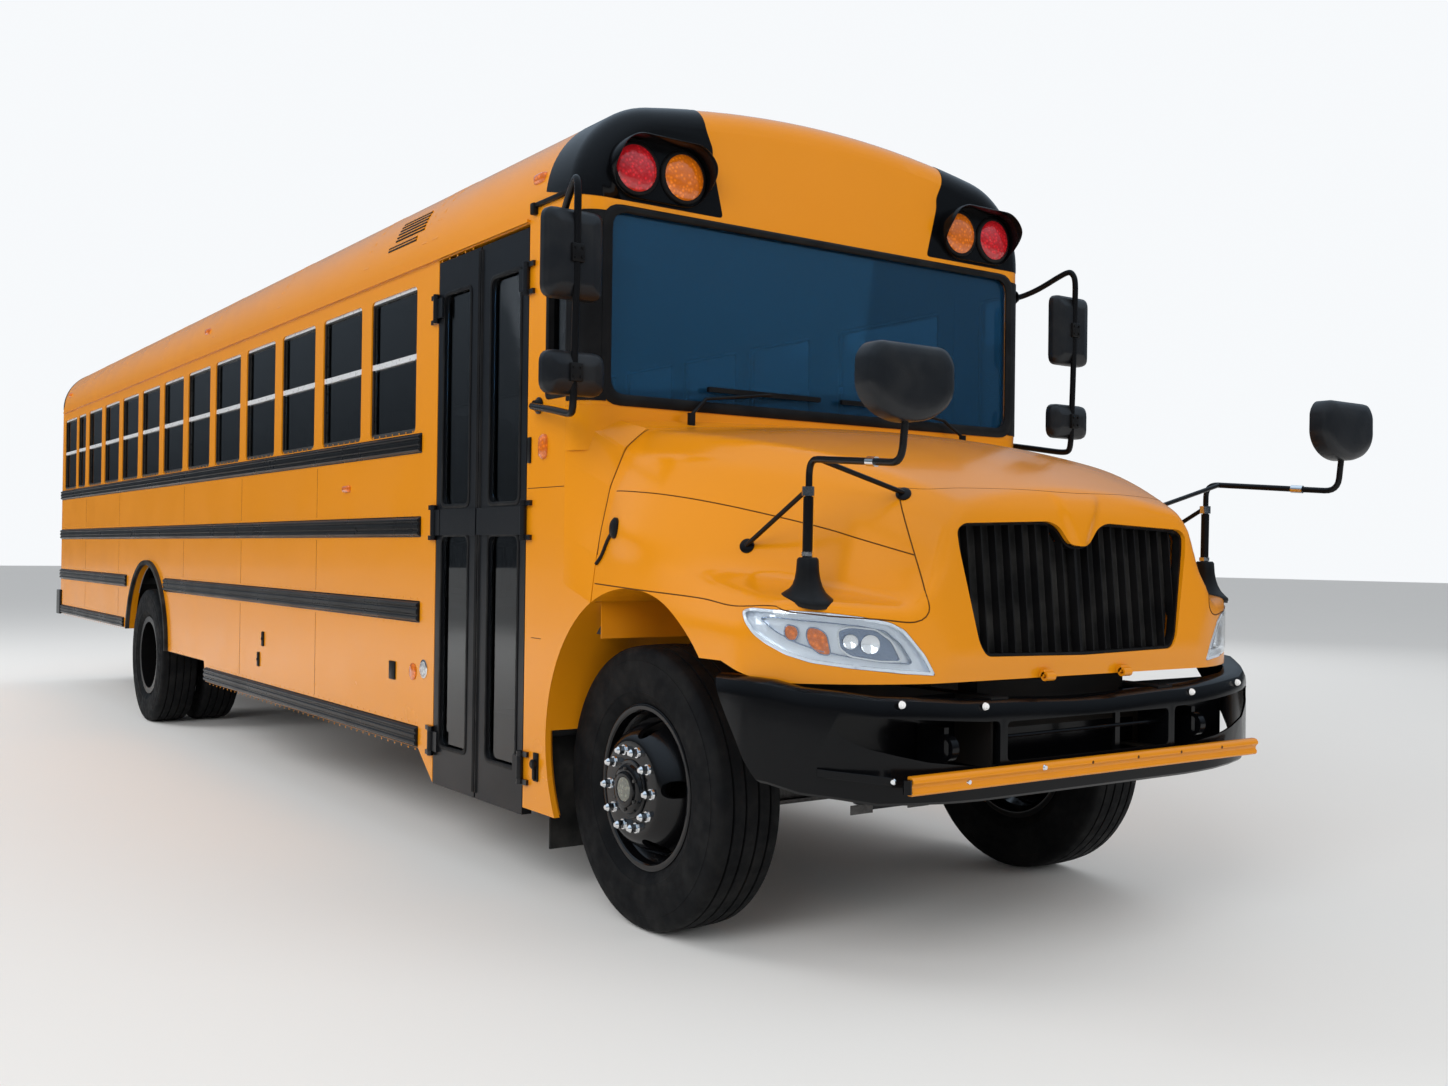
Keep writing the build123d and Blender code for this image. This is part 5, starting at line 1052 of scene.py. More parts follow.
class Skin:
    """A surface on which flat outlines and lines are laid along a direction."""

    # How far back a point starts on its way to the surface, and a height above every surface.
    FAR = 12.0
    SKY = 4.0

    def __init__(self, thing: Thing, direction: Point) -> None:
        """Read the surface.

        Args:
            thing: The mesh object whose surface is used.
            direction: The axis along which points fall on the surface.
        """
        mesh = bmesh.new()
        mesh.from_mesh(thing.data)
        self.tree = BVHTree.FromBMesh(mesh)
        mesh.free()
        self.direction = Vector(direction)

    def drop(self, point: Point, lift: float = 0.0) -> Vector | None:
        """Return where a point falls on the surface, lifted back along the way it came."""
        spot, *_ = self.tree.ray_cast(Vector(point) - self.direction * self.FAR, self.direction)
        return None if spot is None else spot - self.direction * lift

    def nearest(self, point: Point) -> tuple[Vector, Vector]:
        """Return the surface's nearest spot to a point, and the normal there."""
        spot, normal, *_ = self.tree.find_nearest(Vector(point))
        return spot, normal

    def down(self, x: float, y: float) -> float | None:
        """Return the height of the surface straight below a high point."""
        spot, *_ = self.tree.ray_cast(Vector((x, y, self.SKY)), Vector((0, 0, -1)))
        return None if spot is None else spot.z

    def nearest_line(self, points: Sequence[Point], lift: float, step: float = 0.02) -> list[Point]:
        """Return a smooth line through points, pulled onto the surface and lifted off it.

        Args:
            points: The points in order.
            lift: How far off the surface.
            step: The length of a run.

        Returns:
            The line's points.
        """
        result = []
        for point in smooth_path(points, step):
            spot, normal = self.nearest(point)
            result.append(tuple(spot + normal * lift))
        return result

    def line(self, points: Sequence[Point], lift: float = 0.0, step: float = 0.03) -> list[Point]:
        """Return a polyline laid on the surface, divided into short runs.

        Args:
            points: The points in order.
            lift: How far off the surface.
            step: The length of a run.

        Returns:
            The line's points.
        """
        result: list[Point] = []
        for a, b in zip(points, points[1:]):
            start, end = Vector(a), Vector(b)
            count = max(1, round((end - start).length / step))
            for i in range(count + (b is points[-1])):
                spot = self.drop(tuple(start.lerp(end, i / count)), lift)
                if spot is not None:
                    result.append(tuple(spot))
        return result

    def patch(self, name: str, outline: Sequence[Flat], lift: float, depth: float,
              step: float) -> Thing:
        """Return a plate whose flat outline is laid on the surface.

        Args:
            name: The object's name.
            outline: The closed outline across the direction.
            lift: How far the plate's outer face stands off the surface.
            depth: The plate's thickness, inwards from its outer face.
            step: The size of its inner triangles.

        Returns:
            The plate as a closed mesh.
        """
        points = [Vector(p) for p in outline]
        count = len(points)
        (x_low, x_high), (y_low, y_high) = ((min(values), max(values)) for values in zip(*points))
        x = x_low + step
        while x < x_high:
            y = y_low + step
            while y < y_high:
                points.append(Vector((x, y)))
                y += step
            x += step
        flat, _, faces, _, _, _ = delaunay_2d_cdt(points, [], [list(range(count))], 1, 1e-6)
        top = []
        for p in flat:
            spot = self.drop(self.place(p), lift)
            top.append(spot if spot is not None else Vector(self.place(p)))
        bottom = [p + self.direction * depth for p in top]
        size = len(top)
        edges: dict[tuple[int, int], int] = {}
        for face in faces:
            for i, a in enumerate(face):
                b = face[(i + 1) % len(face)]
                edges[(a, b)] = edges.get((a, b), 0) + 1
        rim = [pair for pair in edges if (pair[1], pair[0]) not in edges]
        walls = [(b, a, a + size, b + size) for a, b in rim]
        mesh_faces = [tuple(f) for f in faces] + [tuple(v + size for v in reversed(f)) for f in faces] + walls
        return recalculated(make_object(name, top + bottom, mesh_faces))

    def place(self, point: Vector) -> Point:
        """Return a flat point in space, on the upright plane through the origin across a level direction.

        Args:
            point: The flat point.

        Returns:
            The point in space.
        """
        across = Vector((abs(self.direction.y), -math.copysign(self.direction.x, -self.direction.y), 0.0))
        spot = across * point.x
        return (spot.x, spot.y, point.y)


class PointField:
    """A Geometry Nodes tree that sets the same small piece on each point of a mesh."""

    def __init__(self, name: str, **inputs: str) -> None:
        """Build the part of the tree that every field has.

        Args:
            name: The tree's name.
            **inputs: The kind of each further input, under its label.
        """
        self.tree = bpy.data.node_groups.new(name, "GeometryNodeTree")
        self.add, self.link = self.tree.nodes.new, self.tree.links.new
        for label, kind in {"Geometry": "Geometry", **inputs, "Finish": "Material"}.items():
            self.tree.interface.new_socket(label, in_out="INPUT", socket_type=f"NodeSocket{kind}")
        self.tree.interface.new_socket("Geometry", in_out="OUTPUT", socket_type="NodeSocketGeometry")
        self.source, target = self.add("NodeGroupInput"), self.add("NodeGroupOutput")
        self.spread, real = self.add("GeometryNodeInstanceOnPoints"), self.add("GeometryNodeRealizeInstances")
        dress = self.add("GeometryNodeSetMaterial")
        self.link(self.source.outputs["Geometry"], self.spread.inputs["Points"])
        self.link(self.spread.outputs["Instances"], real.inputs["Geometry"])
        self.link(real.outputs["Geometry"], dress.inputs["Geometry"])
        self.link(self.source.outputs["Finish"], dress.inputs["Material"])
        self.link(dress.outputs["Geometry"], target.inputs["Geometry"])

    def run(self, thing: Thing, finish: Finish, **values: object) -> Thing:
        """Apply the tree to an object's points with values for its inputs and return the plain result.

        Args:
            thing: The object.
            finish: The finish of its pieces.
            **values: The values of its other inputs.

        Returns:
            The plain result.
        """
        modifier = thing.modifiers.new("field", "NODES")
        modifier.node_group = self.tree
        values["Finish"] = finish.material()
        for item in self.tree.interface.items_tree:
            if item.in_out == "INPUT" and item.name in values:
                modifier[item.identifier] = values[item.name]
        return applied(thing)


class StudField(PointField):
    """The field of studs: short cones that stand along each point's own direction."""

    def __init__(self) -> None:
        """Build the tree with its named inputs."""
        super().__init__("stud_field", Sides="Int", Foot="Float", Head="Float", Height="Float")
        stud, turn = self.add("GeometryNodeMeshCone"), self.add("FunctionNodeAlignRotationToVector")
        aim = self.add("GeometryNodeInputNamedAttribute")
        aim.data_type = "FLOAT_VECTOR"
        aim.inputs["Name"].default_value = "aim"
        turn.axis = "Z"
        for label, socket in (("Sides", "Vertices"), ("Foot", "Radius Bottom"), ("Head", "Radius Top"),
                              ("Height", "Depth")):
            self.link(self.source.outputs[label], stud.inputs[socket])
        self.link(aim.outputs["Attribute"], turn.inputs["Vector"])
        self.link(stud.outputs["Mesh"], self.spread.inputs["Instance"])
        self.link(turn.outputs["Rotation"], self.spread.inputs["Rotation"])

    def set_on(self, name: str, spots: Sequence[tuple[Point, Point]], radius: float, height: float,
               finish: Finish, sides: int = 8, taper: float = 0.6) -> Thing:
        """Return the studs on all spots as one plain mesh.

        Args:
            name: The object's name.
            spots: The foot and the outward direction of each stud.
            radius: The radius of its foot.
            height: Its height.
            finish: Its finish.
            sides: How many sides it has.
            taper: The head's radius as a share of the foot's.

        Returns:
            The plain mesh object.
        """
        mesh = bpy.data.meshes.new(name)
        mesh.from_pydata([spot for spot, _ in spots], [], [])
        aim = mesh.attributes.new("aim", "FLOAT_VECTOR", "POINT")
        for item, (_, direction) in zip(aim.data, spots):
            item.vector = direction
        studs = self.run(linked(name, mesh), finish, Sides=sides, Foot=radius, Head=radius * taper, Height=height)
        return smoothed(studs, 30.0)


class RowField(PointField):
    """The field of rows: one pattern piece, repeated."""

    def __init__(self) -> None:
        """Build the tree with its named inputs."""
        super().__init__("row_field", Pattern="Object")
        pattern = self.add("GeometryNodeObjectInfo")
        self.link(self.source.outputs["Pattern"], pattern.inputs["Object"])
        self.link(pattern.outputs["Geometry"], self.spread.inputs["Instance"])

    def repeat(self, name: str, pattern: Thing, spots: Sequence[Point], finish: Finish) -> Thing:
        """Return the pattern on all spots as one plain mesh; the pattern itself is removed.

        Args:
            name: The object's name.
            pattern: The piece to repeat, modelled about the origin.
            spots: Where its origin goes.
            finish: Its finish.

        Returns:
            The plain mesh object.
        """
        result = self.run(make_object(name, spots, []), finish, Pattern=pattern)
        bpy.data.objects.remove(pattern)
        return smoothed(result, 40.0)


STUDS = StudField()
ROWS = RowField()


def fit(thing: Thing, body: str, slot: str, finish: Finish | None = None, *nodes: str) -> Thing:
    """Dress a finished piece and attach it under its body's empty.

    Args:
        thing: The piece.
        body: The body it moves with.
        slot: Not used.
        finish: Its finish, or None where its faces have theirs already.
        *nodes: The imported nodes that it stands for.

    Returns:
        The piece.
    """
    if finish is not None:
        thing.data.materials.clear()
        thing.data.materials.append(finish.material())
    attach(thing, body)
    if nodes:
        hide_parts(*nodes)
    LOG.info("%s rides on %s with %d faces", thing.name, body, len(thing.data.polygons))
    return thing


# ---- studio ----


@dataclass
class Studio:
    """The floor, the soft lights and the camera at the photograph's angle."""

    camera_at: Point = (9.1795, -3.7722, 1.3907)
    forward: Point = (-0.81659, 0.57716, 0.00753)
    roll_degrees: float = 0.738
    lens: float = 34.072
    floor_colour: Colour = (0.80, 0.80, 0.79)
    # Each lamp's place, aim, size and power.
    lamps = (
        ((12.0, -13.0, 9.5), (1.0, 0.0, 1.2), 9.0, 1400.0),
        ((16.0, 6.0, 7.0), (4.0, 0.0, 1.2), 7.0, 480.0),
        ((-8.0, -10.0, 8.0), (-2.0, 0.0, 1.5), 8.0, 980.0),
        ((-6.0, 12.0, 9.0), (0.0, 0.0, 1.5), 9.0, 420.0),
    )
    # The lamps that reflections show.
    shining = ()
    sky_strength: float = 0.58
    # How bright reflections find the sky, from the horizon up.
    shine = (0.05, 0.90, 0.06, 1.15)
    # The plain backdrop that the camera sees, the soft light's and the reflected sky's colour.
    backdrop: Colour = (0.93, 0.95, 0.97)
    soft_colour: Colour = (1.0, 1.0, 1.0)
    sky_colour: Colour = (0.66, 0.82, 1.0)
    floor_reach: float = 90.0

    def build(self) -> None:
        """Make the floor, the lamps, the world and the camera."""
        self.lay_floor()
        for number, lamp in enumerate(self.lamps):
            self.hang_lamp(number, *lamp)
        self.set_world()
        self.aim_camera()
        bpy.context.scene.view_settings.view_transform = "Standard"

    def lay_floor(self) -> None:
        """Make the pale floor."""
        corners = [(x * self.floor_reach, y * self.floor_reach, 0) for x, y in ((-1, -1), (1, -1), (1, 1), (-1, 1))]
        floor = make_object("studio_floor", corners, [(0, 1, 2, 3)])
        shader = Shader("studio_floor_finish")
        mottled = shader.mix(shader.noise(0.4, 2), shade(self.floor_colour, 0.985), self.floor_colour)
        shader.drive("Base Color", mottled)
        shader.set(Roughness=0.7)
        floor.data.materials.append(shader.material)

    def hang_lamp(self, number: int, place: Point, aim: Point, size: float, power: float) -> None:
        """Hang one soft lamp.

        Args:
            number: The lamp's number, for its name.
            place: Where it hangs.
            aim: What it points at.
            size: Its width.
            power: Its power in watts.
        """
        light = bpy.data.lights.new(f"soft_lamp_{number}", "AREA")
        light.energy = power
        light.size = size
        lamp = linked(f"soft_lamp_{number}", light)
        lamp.location = place
        lamp.rotation_euler = (Vector(aim) - Vector(place)).to_track_quat("-Z", "Y").to_euler()
        lamp.visible_glossy = number in self.shining

    def set_world(self) -> None:
        """Make the world pale to the camera and in reflections, and softer as a light."""
        world = bpy.data.worlds.new("studio_world")
        world.use_nodes = True
        nodes, link = world.node_tree.nodes, world.node_tree.links.new
        nodes.clear()

        def add(kind: str) -> bpy.types.Node:
            """Add a node of a kind to the world."""
            return nodes.new(f"ShaderNode{kind}")

        def background(colour: Colour, strength: float) -> bpy.types.Node:
            """Add a background to the world.

            Args:
                colour: Its colour.
                strength: Its strength.

            Returns:
                The background's node.
            """
            node = add("Background")
            node.inputs["Color"].default_value = (*colour, 1)
            node.inputs["Strength"].default_value = strength
            return node

        soft, plain = background(self.soft_colour, self.sky_strength), background(self.backdrop, 1.0)
        sky = background(self.sky_colour, 1.0)
        height, ramp = add("SeparateXYZ"), add("MapRange")
        for label, number in zip(("From Min", "From Max", "To Min", "To Max"), self.shine):
            ramp.inputs[label].default_value = number
        link(add("TexCoord").outputs["Generated"], height.inputs["Vector"])
        link(height.outputs["Z"], ramp.inputs["Value"])
        link(ramp.outputs["Result"], sky.inputs["Strength"])
        path, seen = add("LightPath"), add("Math")
        seen.operation = "MAXIMUM"
        link(path.outputs["Is Camera Ray"], seen.inputs[0])
        link(path.outputs["Is Transmission Ray"], seen.inputs[1])
        mixed = soft
        for share, other in ((path.outputs["Is Glossy Ray"], sky), (seen.outputs["Value"], plain)):
            mix = add("MixShader")
            link(share, mix.inputs["Fac"])
            link(mixed.outputs[0], mix.inputs[1])
            link(other.outputs[0], mix.inputs[2])
            mixed = mix
        link(mixed.outputs[0], add("OutputWorld").inputs["Surface"])
        bpy.context.scene.world = world

    def aim_camera(self) -> None:
        """Put the camera where the photograph was taken."""
        forward = Vector(self.forward).normalized()
        level = forward.cross(Vector((0, 0, 1))).normalized()
        upright = level.cross(forward)
        roll = math.radians(self.roll_degrees)
        right = level * math.cos(roll) + upright * math.sin(roll)
        up = -level * math.sin(roll) + upright * math.cos(roll)
        data = bpy.data.cameras.new("photo_camera")
        data.lens = self.lens
        data.sensor_width = 36.0
        data.sensor_fit = "HORIZONTAL"
        data.clip_end = 400.0
        camera = linked("photo_camera", data)
        turn = Matrix((right, up, -forward)).transposed()
        camera.matrix_world = Matrix.Translation(self.camera_at) @ turn.to_4x4()
        bpy.context.scene.camera = camera


# ---- wheels ----


@dataclass
class Wheels:
    """Treaded tyres and the nuts, studs and caps of the wheels."""

    radius: float = 0.525
    bead_half: float = 0.1047
    bead_radius: float = 0.2863
    lip_radius: float = 0.3053
    groove_width: float = 0.010
    groove_depth: float = 0.013
    grooves: tuple[float, ...] = (-0.078, -0.027, 0.027, 0.078)
    front_y: float = 0.970
    rear_y: float = 0.921
    dual_offset: float = 0.165
    nut_ring: float = 0.1435
    nut_count: int = 10
    turns: int = 128
    lug_face: float = 0.1705
    hand_holes: int = 5
    hand_hole_radius: float = 0.031
    hand_hole_ring: float = 0.222
    # The hub's step with its studs, and the rear wheels' nut face and axle flange.
    hub_step: float = 0.1925
    hub_stud_ring: float = 0.075
    rear_face: float = 0.016
    flange_face: float = 0.148
    flange_ring: float = 0.079
    # The rear arch's inner panel: distance from the middle, height range, half length and half thickness.
    house_y: float = 0.560
    house_heights: Flat = (0.742, 0.932)
    house_half: float = 0.66
    house_sheet: float = 0.003
    # Closed sections as (distance out from the tyre's middle, radius).
    barrel = ((-0.1105, 0.3050), (-0.1055, 0.3050), (-0.1050, 0.2860), (-0.0700, 0.2855), (-0.0550, 0.2640),
              (0.0400, 0.2640), (0.0660, 0.2855), (0.1050, 0.2860), (0.1055, 0.3050), (0.1085, 0.3072),
              (0.1120, 0.3062), (0.1138, 0.3020), (0.1142, 0.2950), (0.1130, 0.2850), (0.1080, 0.2800),
              (0.0720, 0.2770), (0.0500, 0.2560), (-0.0600, 0.2560), (-0.0750, 0.2770), (-0.1130, 0.2790),
              (-0.1145, 0.2960))
    disc = ((0.030, 0.2562), (0.048, 0.2562), (0.060, 0.2510), (0.085, 0.2400), (0.115, 0.2270), (0.140, 0.2120),
            (0.158, 0.1970), (0.168, 0.1840), (0.1705, 0.1720), (0.1705, 0.1080), (0.1595, 0.1080), (0.1595, 0.1700),
            (0.156, 0.1780), (0.148, 0.1880), (0.131, 0.2030), (0.107, 0.2170), (0.078, 0.2310), (0.052, 0.2430),
            (0.040, 0.2480), (0.030, 0.2500))
    hub = ((0.100, 0.0550), (0.100, 0.1065), (0.1745, 0.1065), (0.1780, 0.1030), (0.1790, 0.0930), (0.1900, 0.0880),
           (0.1930, 0.0820), (0.1940, 0.0660), (0.2010, 0.0645), (0.2030, 0.0600), (0.2030, 0.0480), (0.2000, 0.0450),
           (0.2000, 0.0005), (0.1900, 0.0005), (0.1900, 0.0550))
    drum = ((-0.115, 0.188), (-0.115, 0.206), (0.025, 0.206), (0.035, 0.195), (0.035, 0.060), (0.025, 0.060),
            (0.025, 0.188))
    oil_window = ((0.199, 0.0005), (0.199, 0.0445), (0.2012, 0.0440), (0.2018, 0.0005))
    rear_lip = ((0.1088, 0.2640), (0.1088, 0.3045), (0.1105, 0.3062), (0.1130, 0.3055), (0.1160, 0.3010),
                (0.1162, 0.2930), (0.1140, 0.2820), (0.1105, 0.2720), (0.1100, 0.2640))

    def build(self) -> None:
        """Make the tyres and the small parts of all four wheel stations."""
        for side in SIDES:
            name = SIDE_NAMES[side]
            front = self.tyre(f"front_tread_{name}", (FRONT_AXLE_X, side * self.front_y, self.radius))
            fit(front, f"front_wheel_{name}", "tyre_rubber", SHOP.tyre, f"front_tyre_{name}")
            pair = [self.tyre(f"rear_{k}", (REAR_AXLE_X, side * (self.rear_y + k * self.dual_offset), self.radius))
                    for k in (-1, 1)]
            rear = smoothed(joined(f"rear_treads_{name}", pair), 32.0)
            fit(rear, f"rear_wheels_{name}", "tyre_rubber", SHOP.tyre, f"rear_tyres_{name}")
            self.front_hardware(side, name)
            self.rear_hardware(side, name)
        panels = joined("wheelhouse_panels", [self.wheelhouse(side) for side in SIDES])
        fit(panels, "bus_body", "chassis_paint", SHOP.chassis)

    def profile(self) -> list[Flat]:
        """Return the tyre's closed half-section.

        Returns:
            Its (distance across, radius) pairs.
        """
        wall = [(self.bead_half, self.bead_radius), (self.bead_half, self.lip_radius), (0.115, 0.316),
                (0.127, 0.335), (0.1330, 0.350), (0.1352, 0.3515), (0.1362, 0.357), (0.1350, 0.3625),
                (0.1385, 0.385), (0.1405, 0.410), (0.1398, 0.435), (0.1372, 0.458), (0.1375, 0.4665),
                (0.1355, 0.4680), (0.1345, 0.4800), (0.1330, 0.4920), (0.1300, 0.5040), (0.1235, 0.5140),
                (0.1150, 0.5185)]
        tread: list[Flat] = []
        for a in sorted(self.grooves, reverse=True):
            half = self.groove_width / 2
            top = self.crown(a)
            tread += [(a + half, top), (a + half * 0.6, top - self.groove_depth),
                      (a - half * 0.6, top - self.groove_depth), (a - half, top)]
        left = [(-a, r) for a, r in reversed(wall)]
        return wall + tread + left

    def crown(self, a: float) -> float:
        """Return the tread's radius at a distance from its middle."""
        return self.radius - 0.0003 - 0.0055 * (a / 0.115) ** 2

    def tyre(self, name: str, center: Point) -> Thing:
        """Return one tyre with grooved tread and ringed walls."""
        return smoothed(turned(name, self.profile(), center, "Y", self.turns), 32.0)

    def ring(self, center: Point, radius: float, count: int, side: int,
             phase: float = 0.0) -> list[tuple[Point, Point]]:
        """Return spots on a circle about the axle that face outwards.

        Args:
            center: The circle's middle.
            radius: The circle's radius.
            count: How many spots.
            side: The side of the bus: -1 on the right, 1 on the left.
            phase: The first spot's turn, in pitches.

        Returns:
            Each spot with its outward direction.
        """
        spots = []
        for i in range(count):
            angle = math.tau * (i + phase) / count
            spot = Vector(center) + Vector((math.cos(angle) * radius, 0, math.sin(angle) * radius))
            spots.append((tuple(spot), (0.0, float(side), 0.0)))
        return spots

    def front_hardware(self, side: int, name: str) -> None:
        """Make the front wheel's rim, dished disc, hub, chrome nuts, hub studs and cap.

        Args:
            side: The side of the bus: -1 on the right, 1 on the left.
            name: The side's name.
        """
        body = f"front_wheel_{name}"
        center = (FRONT_AXLE_X, side * self.front_y, self.radius)

        def spun(label: str, section: Sequence[Flat], turns: int) -> Thing:
            """Return a section turned about this wheel's axle."""
            return smoothed(turned(label, section, center, "Y", turns, side), 30)

        disc = spun("disc", self.disc, 96)
        for i in range(self.hand_holes):
            angle = math.tau * (i + 0.08) / self.hand_holes
            hole = [(0.02, 0.0005), (0.02, self.hand_hole_radius), (0.20, self.hand_hole_radius), (0.20, 0.0005)]
            spot = (center[0] + math.cos(angle) * self.hand_hole_ring, center[1],
                    center[2] + math.sin(angle) * self.hand_hole_ring)
            disc = cut(disc, turned("hand_hole", hole, spot, "Y", 28, side))
        wheel = joined(f"front_disc_wheel_{name}", [spun("barrel", self.barrel, 96), smoothed(disc, 30),
                                                   spun("hub", self.hub, 64), spun("drum", self.drum, 48)])
        fit(wheel, body, "black_paint", SHOP.wheel_black, f"front_wheel_{name}")
        face = (FRONT_AXLE_X, side * (self.front_y + self.lug_face), self.radius)
        spots = self.ring(face, self.nut_ring, self.nut_count, side)
        washers = STUDS.set_on(f"front_washers_{name}", spots, 0.0215, 0.006, SHOP.chrome, 16, 0.9)
        nuts = STUDS.set_on(f"front_nuts_{name}", spots, 0.0160, 0.030, SHOP.chrome, 6, 0.94)
        caps = STUDS.set_on(f"front_nut_caps_{name}", [(tuple(Vector(s) + Vector(d) * 0.030), d) for s, d in spots],
                            0.0150, 0.010, SHOP.chrome, 12, 0.55)
        fit(joined(f"front_lug_nuts_{name}", [washers, nuts, caps]), body, "black_paint", SHOP.chrome)
        step = (FRONT_AXLE_X, side * (self.front_y + self.hub_step), self.radius)
        studs = STUDS.set_on(f"hub_studs_{name}", self.ring(step, self.hub_stud_ring, 6, side, 0.5), 0.007, 0.009,
                             SHOP.cast, 6, 0.9)
        fit(studs, body, "black_paint")
        window = turned(f"hub_oil_window_{name}", self.oil_window, center, "Y", 40, side)
        fit(smoothed(window), body, "lamp_plastic", SHOP.oil_window)

    def wheelhouse(self, side: int) -> Thing:
        """Return the sheet panel that closes the rear wheel's arch inboard of the tyres.

        Args:
            side: The side of the bus: -1 on the right, 1 on the left.

        Returns:
            The panel.
        """
        low, high = self.house_heights
        rear, front = REAR_AXLE_X - self.house_half, REAR_AXLE_X + self.house_half
        outline = [(rear, low), (front, low), (front, high), (rear, high)]
        y = side * self.house_y
        return prism(f"wheelhouse_{side}", outline, y - self.house_sheet, y + self.house_sheet, "Y")

    def rear_hardware(self, side: int, name: str) -> None:
        """Make the rear wheel's nuts, axle flange bolts and rim lip.

        Args:
            side: The side of the bus: -1 on the right, 1 on the left.
            name: The side's name.
        """
        body = f"rear_wheels_{name}"
        face = (REAR_AXLE_X, side * (self.rear_y + self.rear_face), self.radius)
        nuts = STUDS.set_on(f"rear_nuts_{name}", self.ring(face, self.nut_ring, self.nut_count, side), 0.0175, 0.03,
                            SHOP.chrome, 6, 0.9)
        fit(nuts, body, "black_paint")
        flange = (REAR_AXLE_X, side * (self.rear_y + self.flange_face), self.radius)
        bolts = STUDS.set_on(f"axle_flange_bolts_{name}", self.ring(flange, self.flange_ring, 8, side), 0.009, 0.012,
                             SHOP.cast, 6, 0.9)
        fit(bolts, body, "black_paint")
        outer = (REAR_AXLE_X, side * (self.rear_y + self.dual_offset), self.radius)
        lip = turned(f"rear_rim_lip_{name}", self.rear_lip, outer, "Y", 96, side)
        fit(smoothed(lip), body, "black_paint", SHOP.chassis)


# ---- hood ----


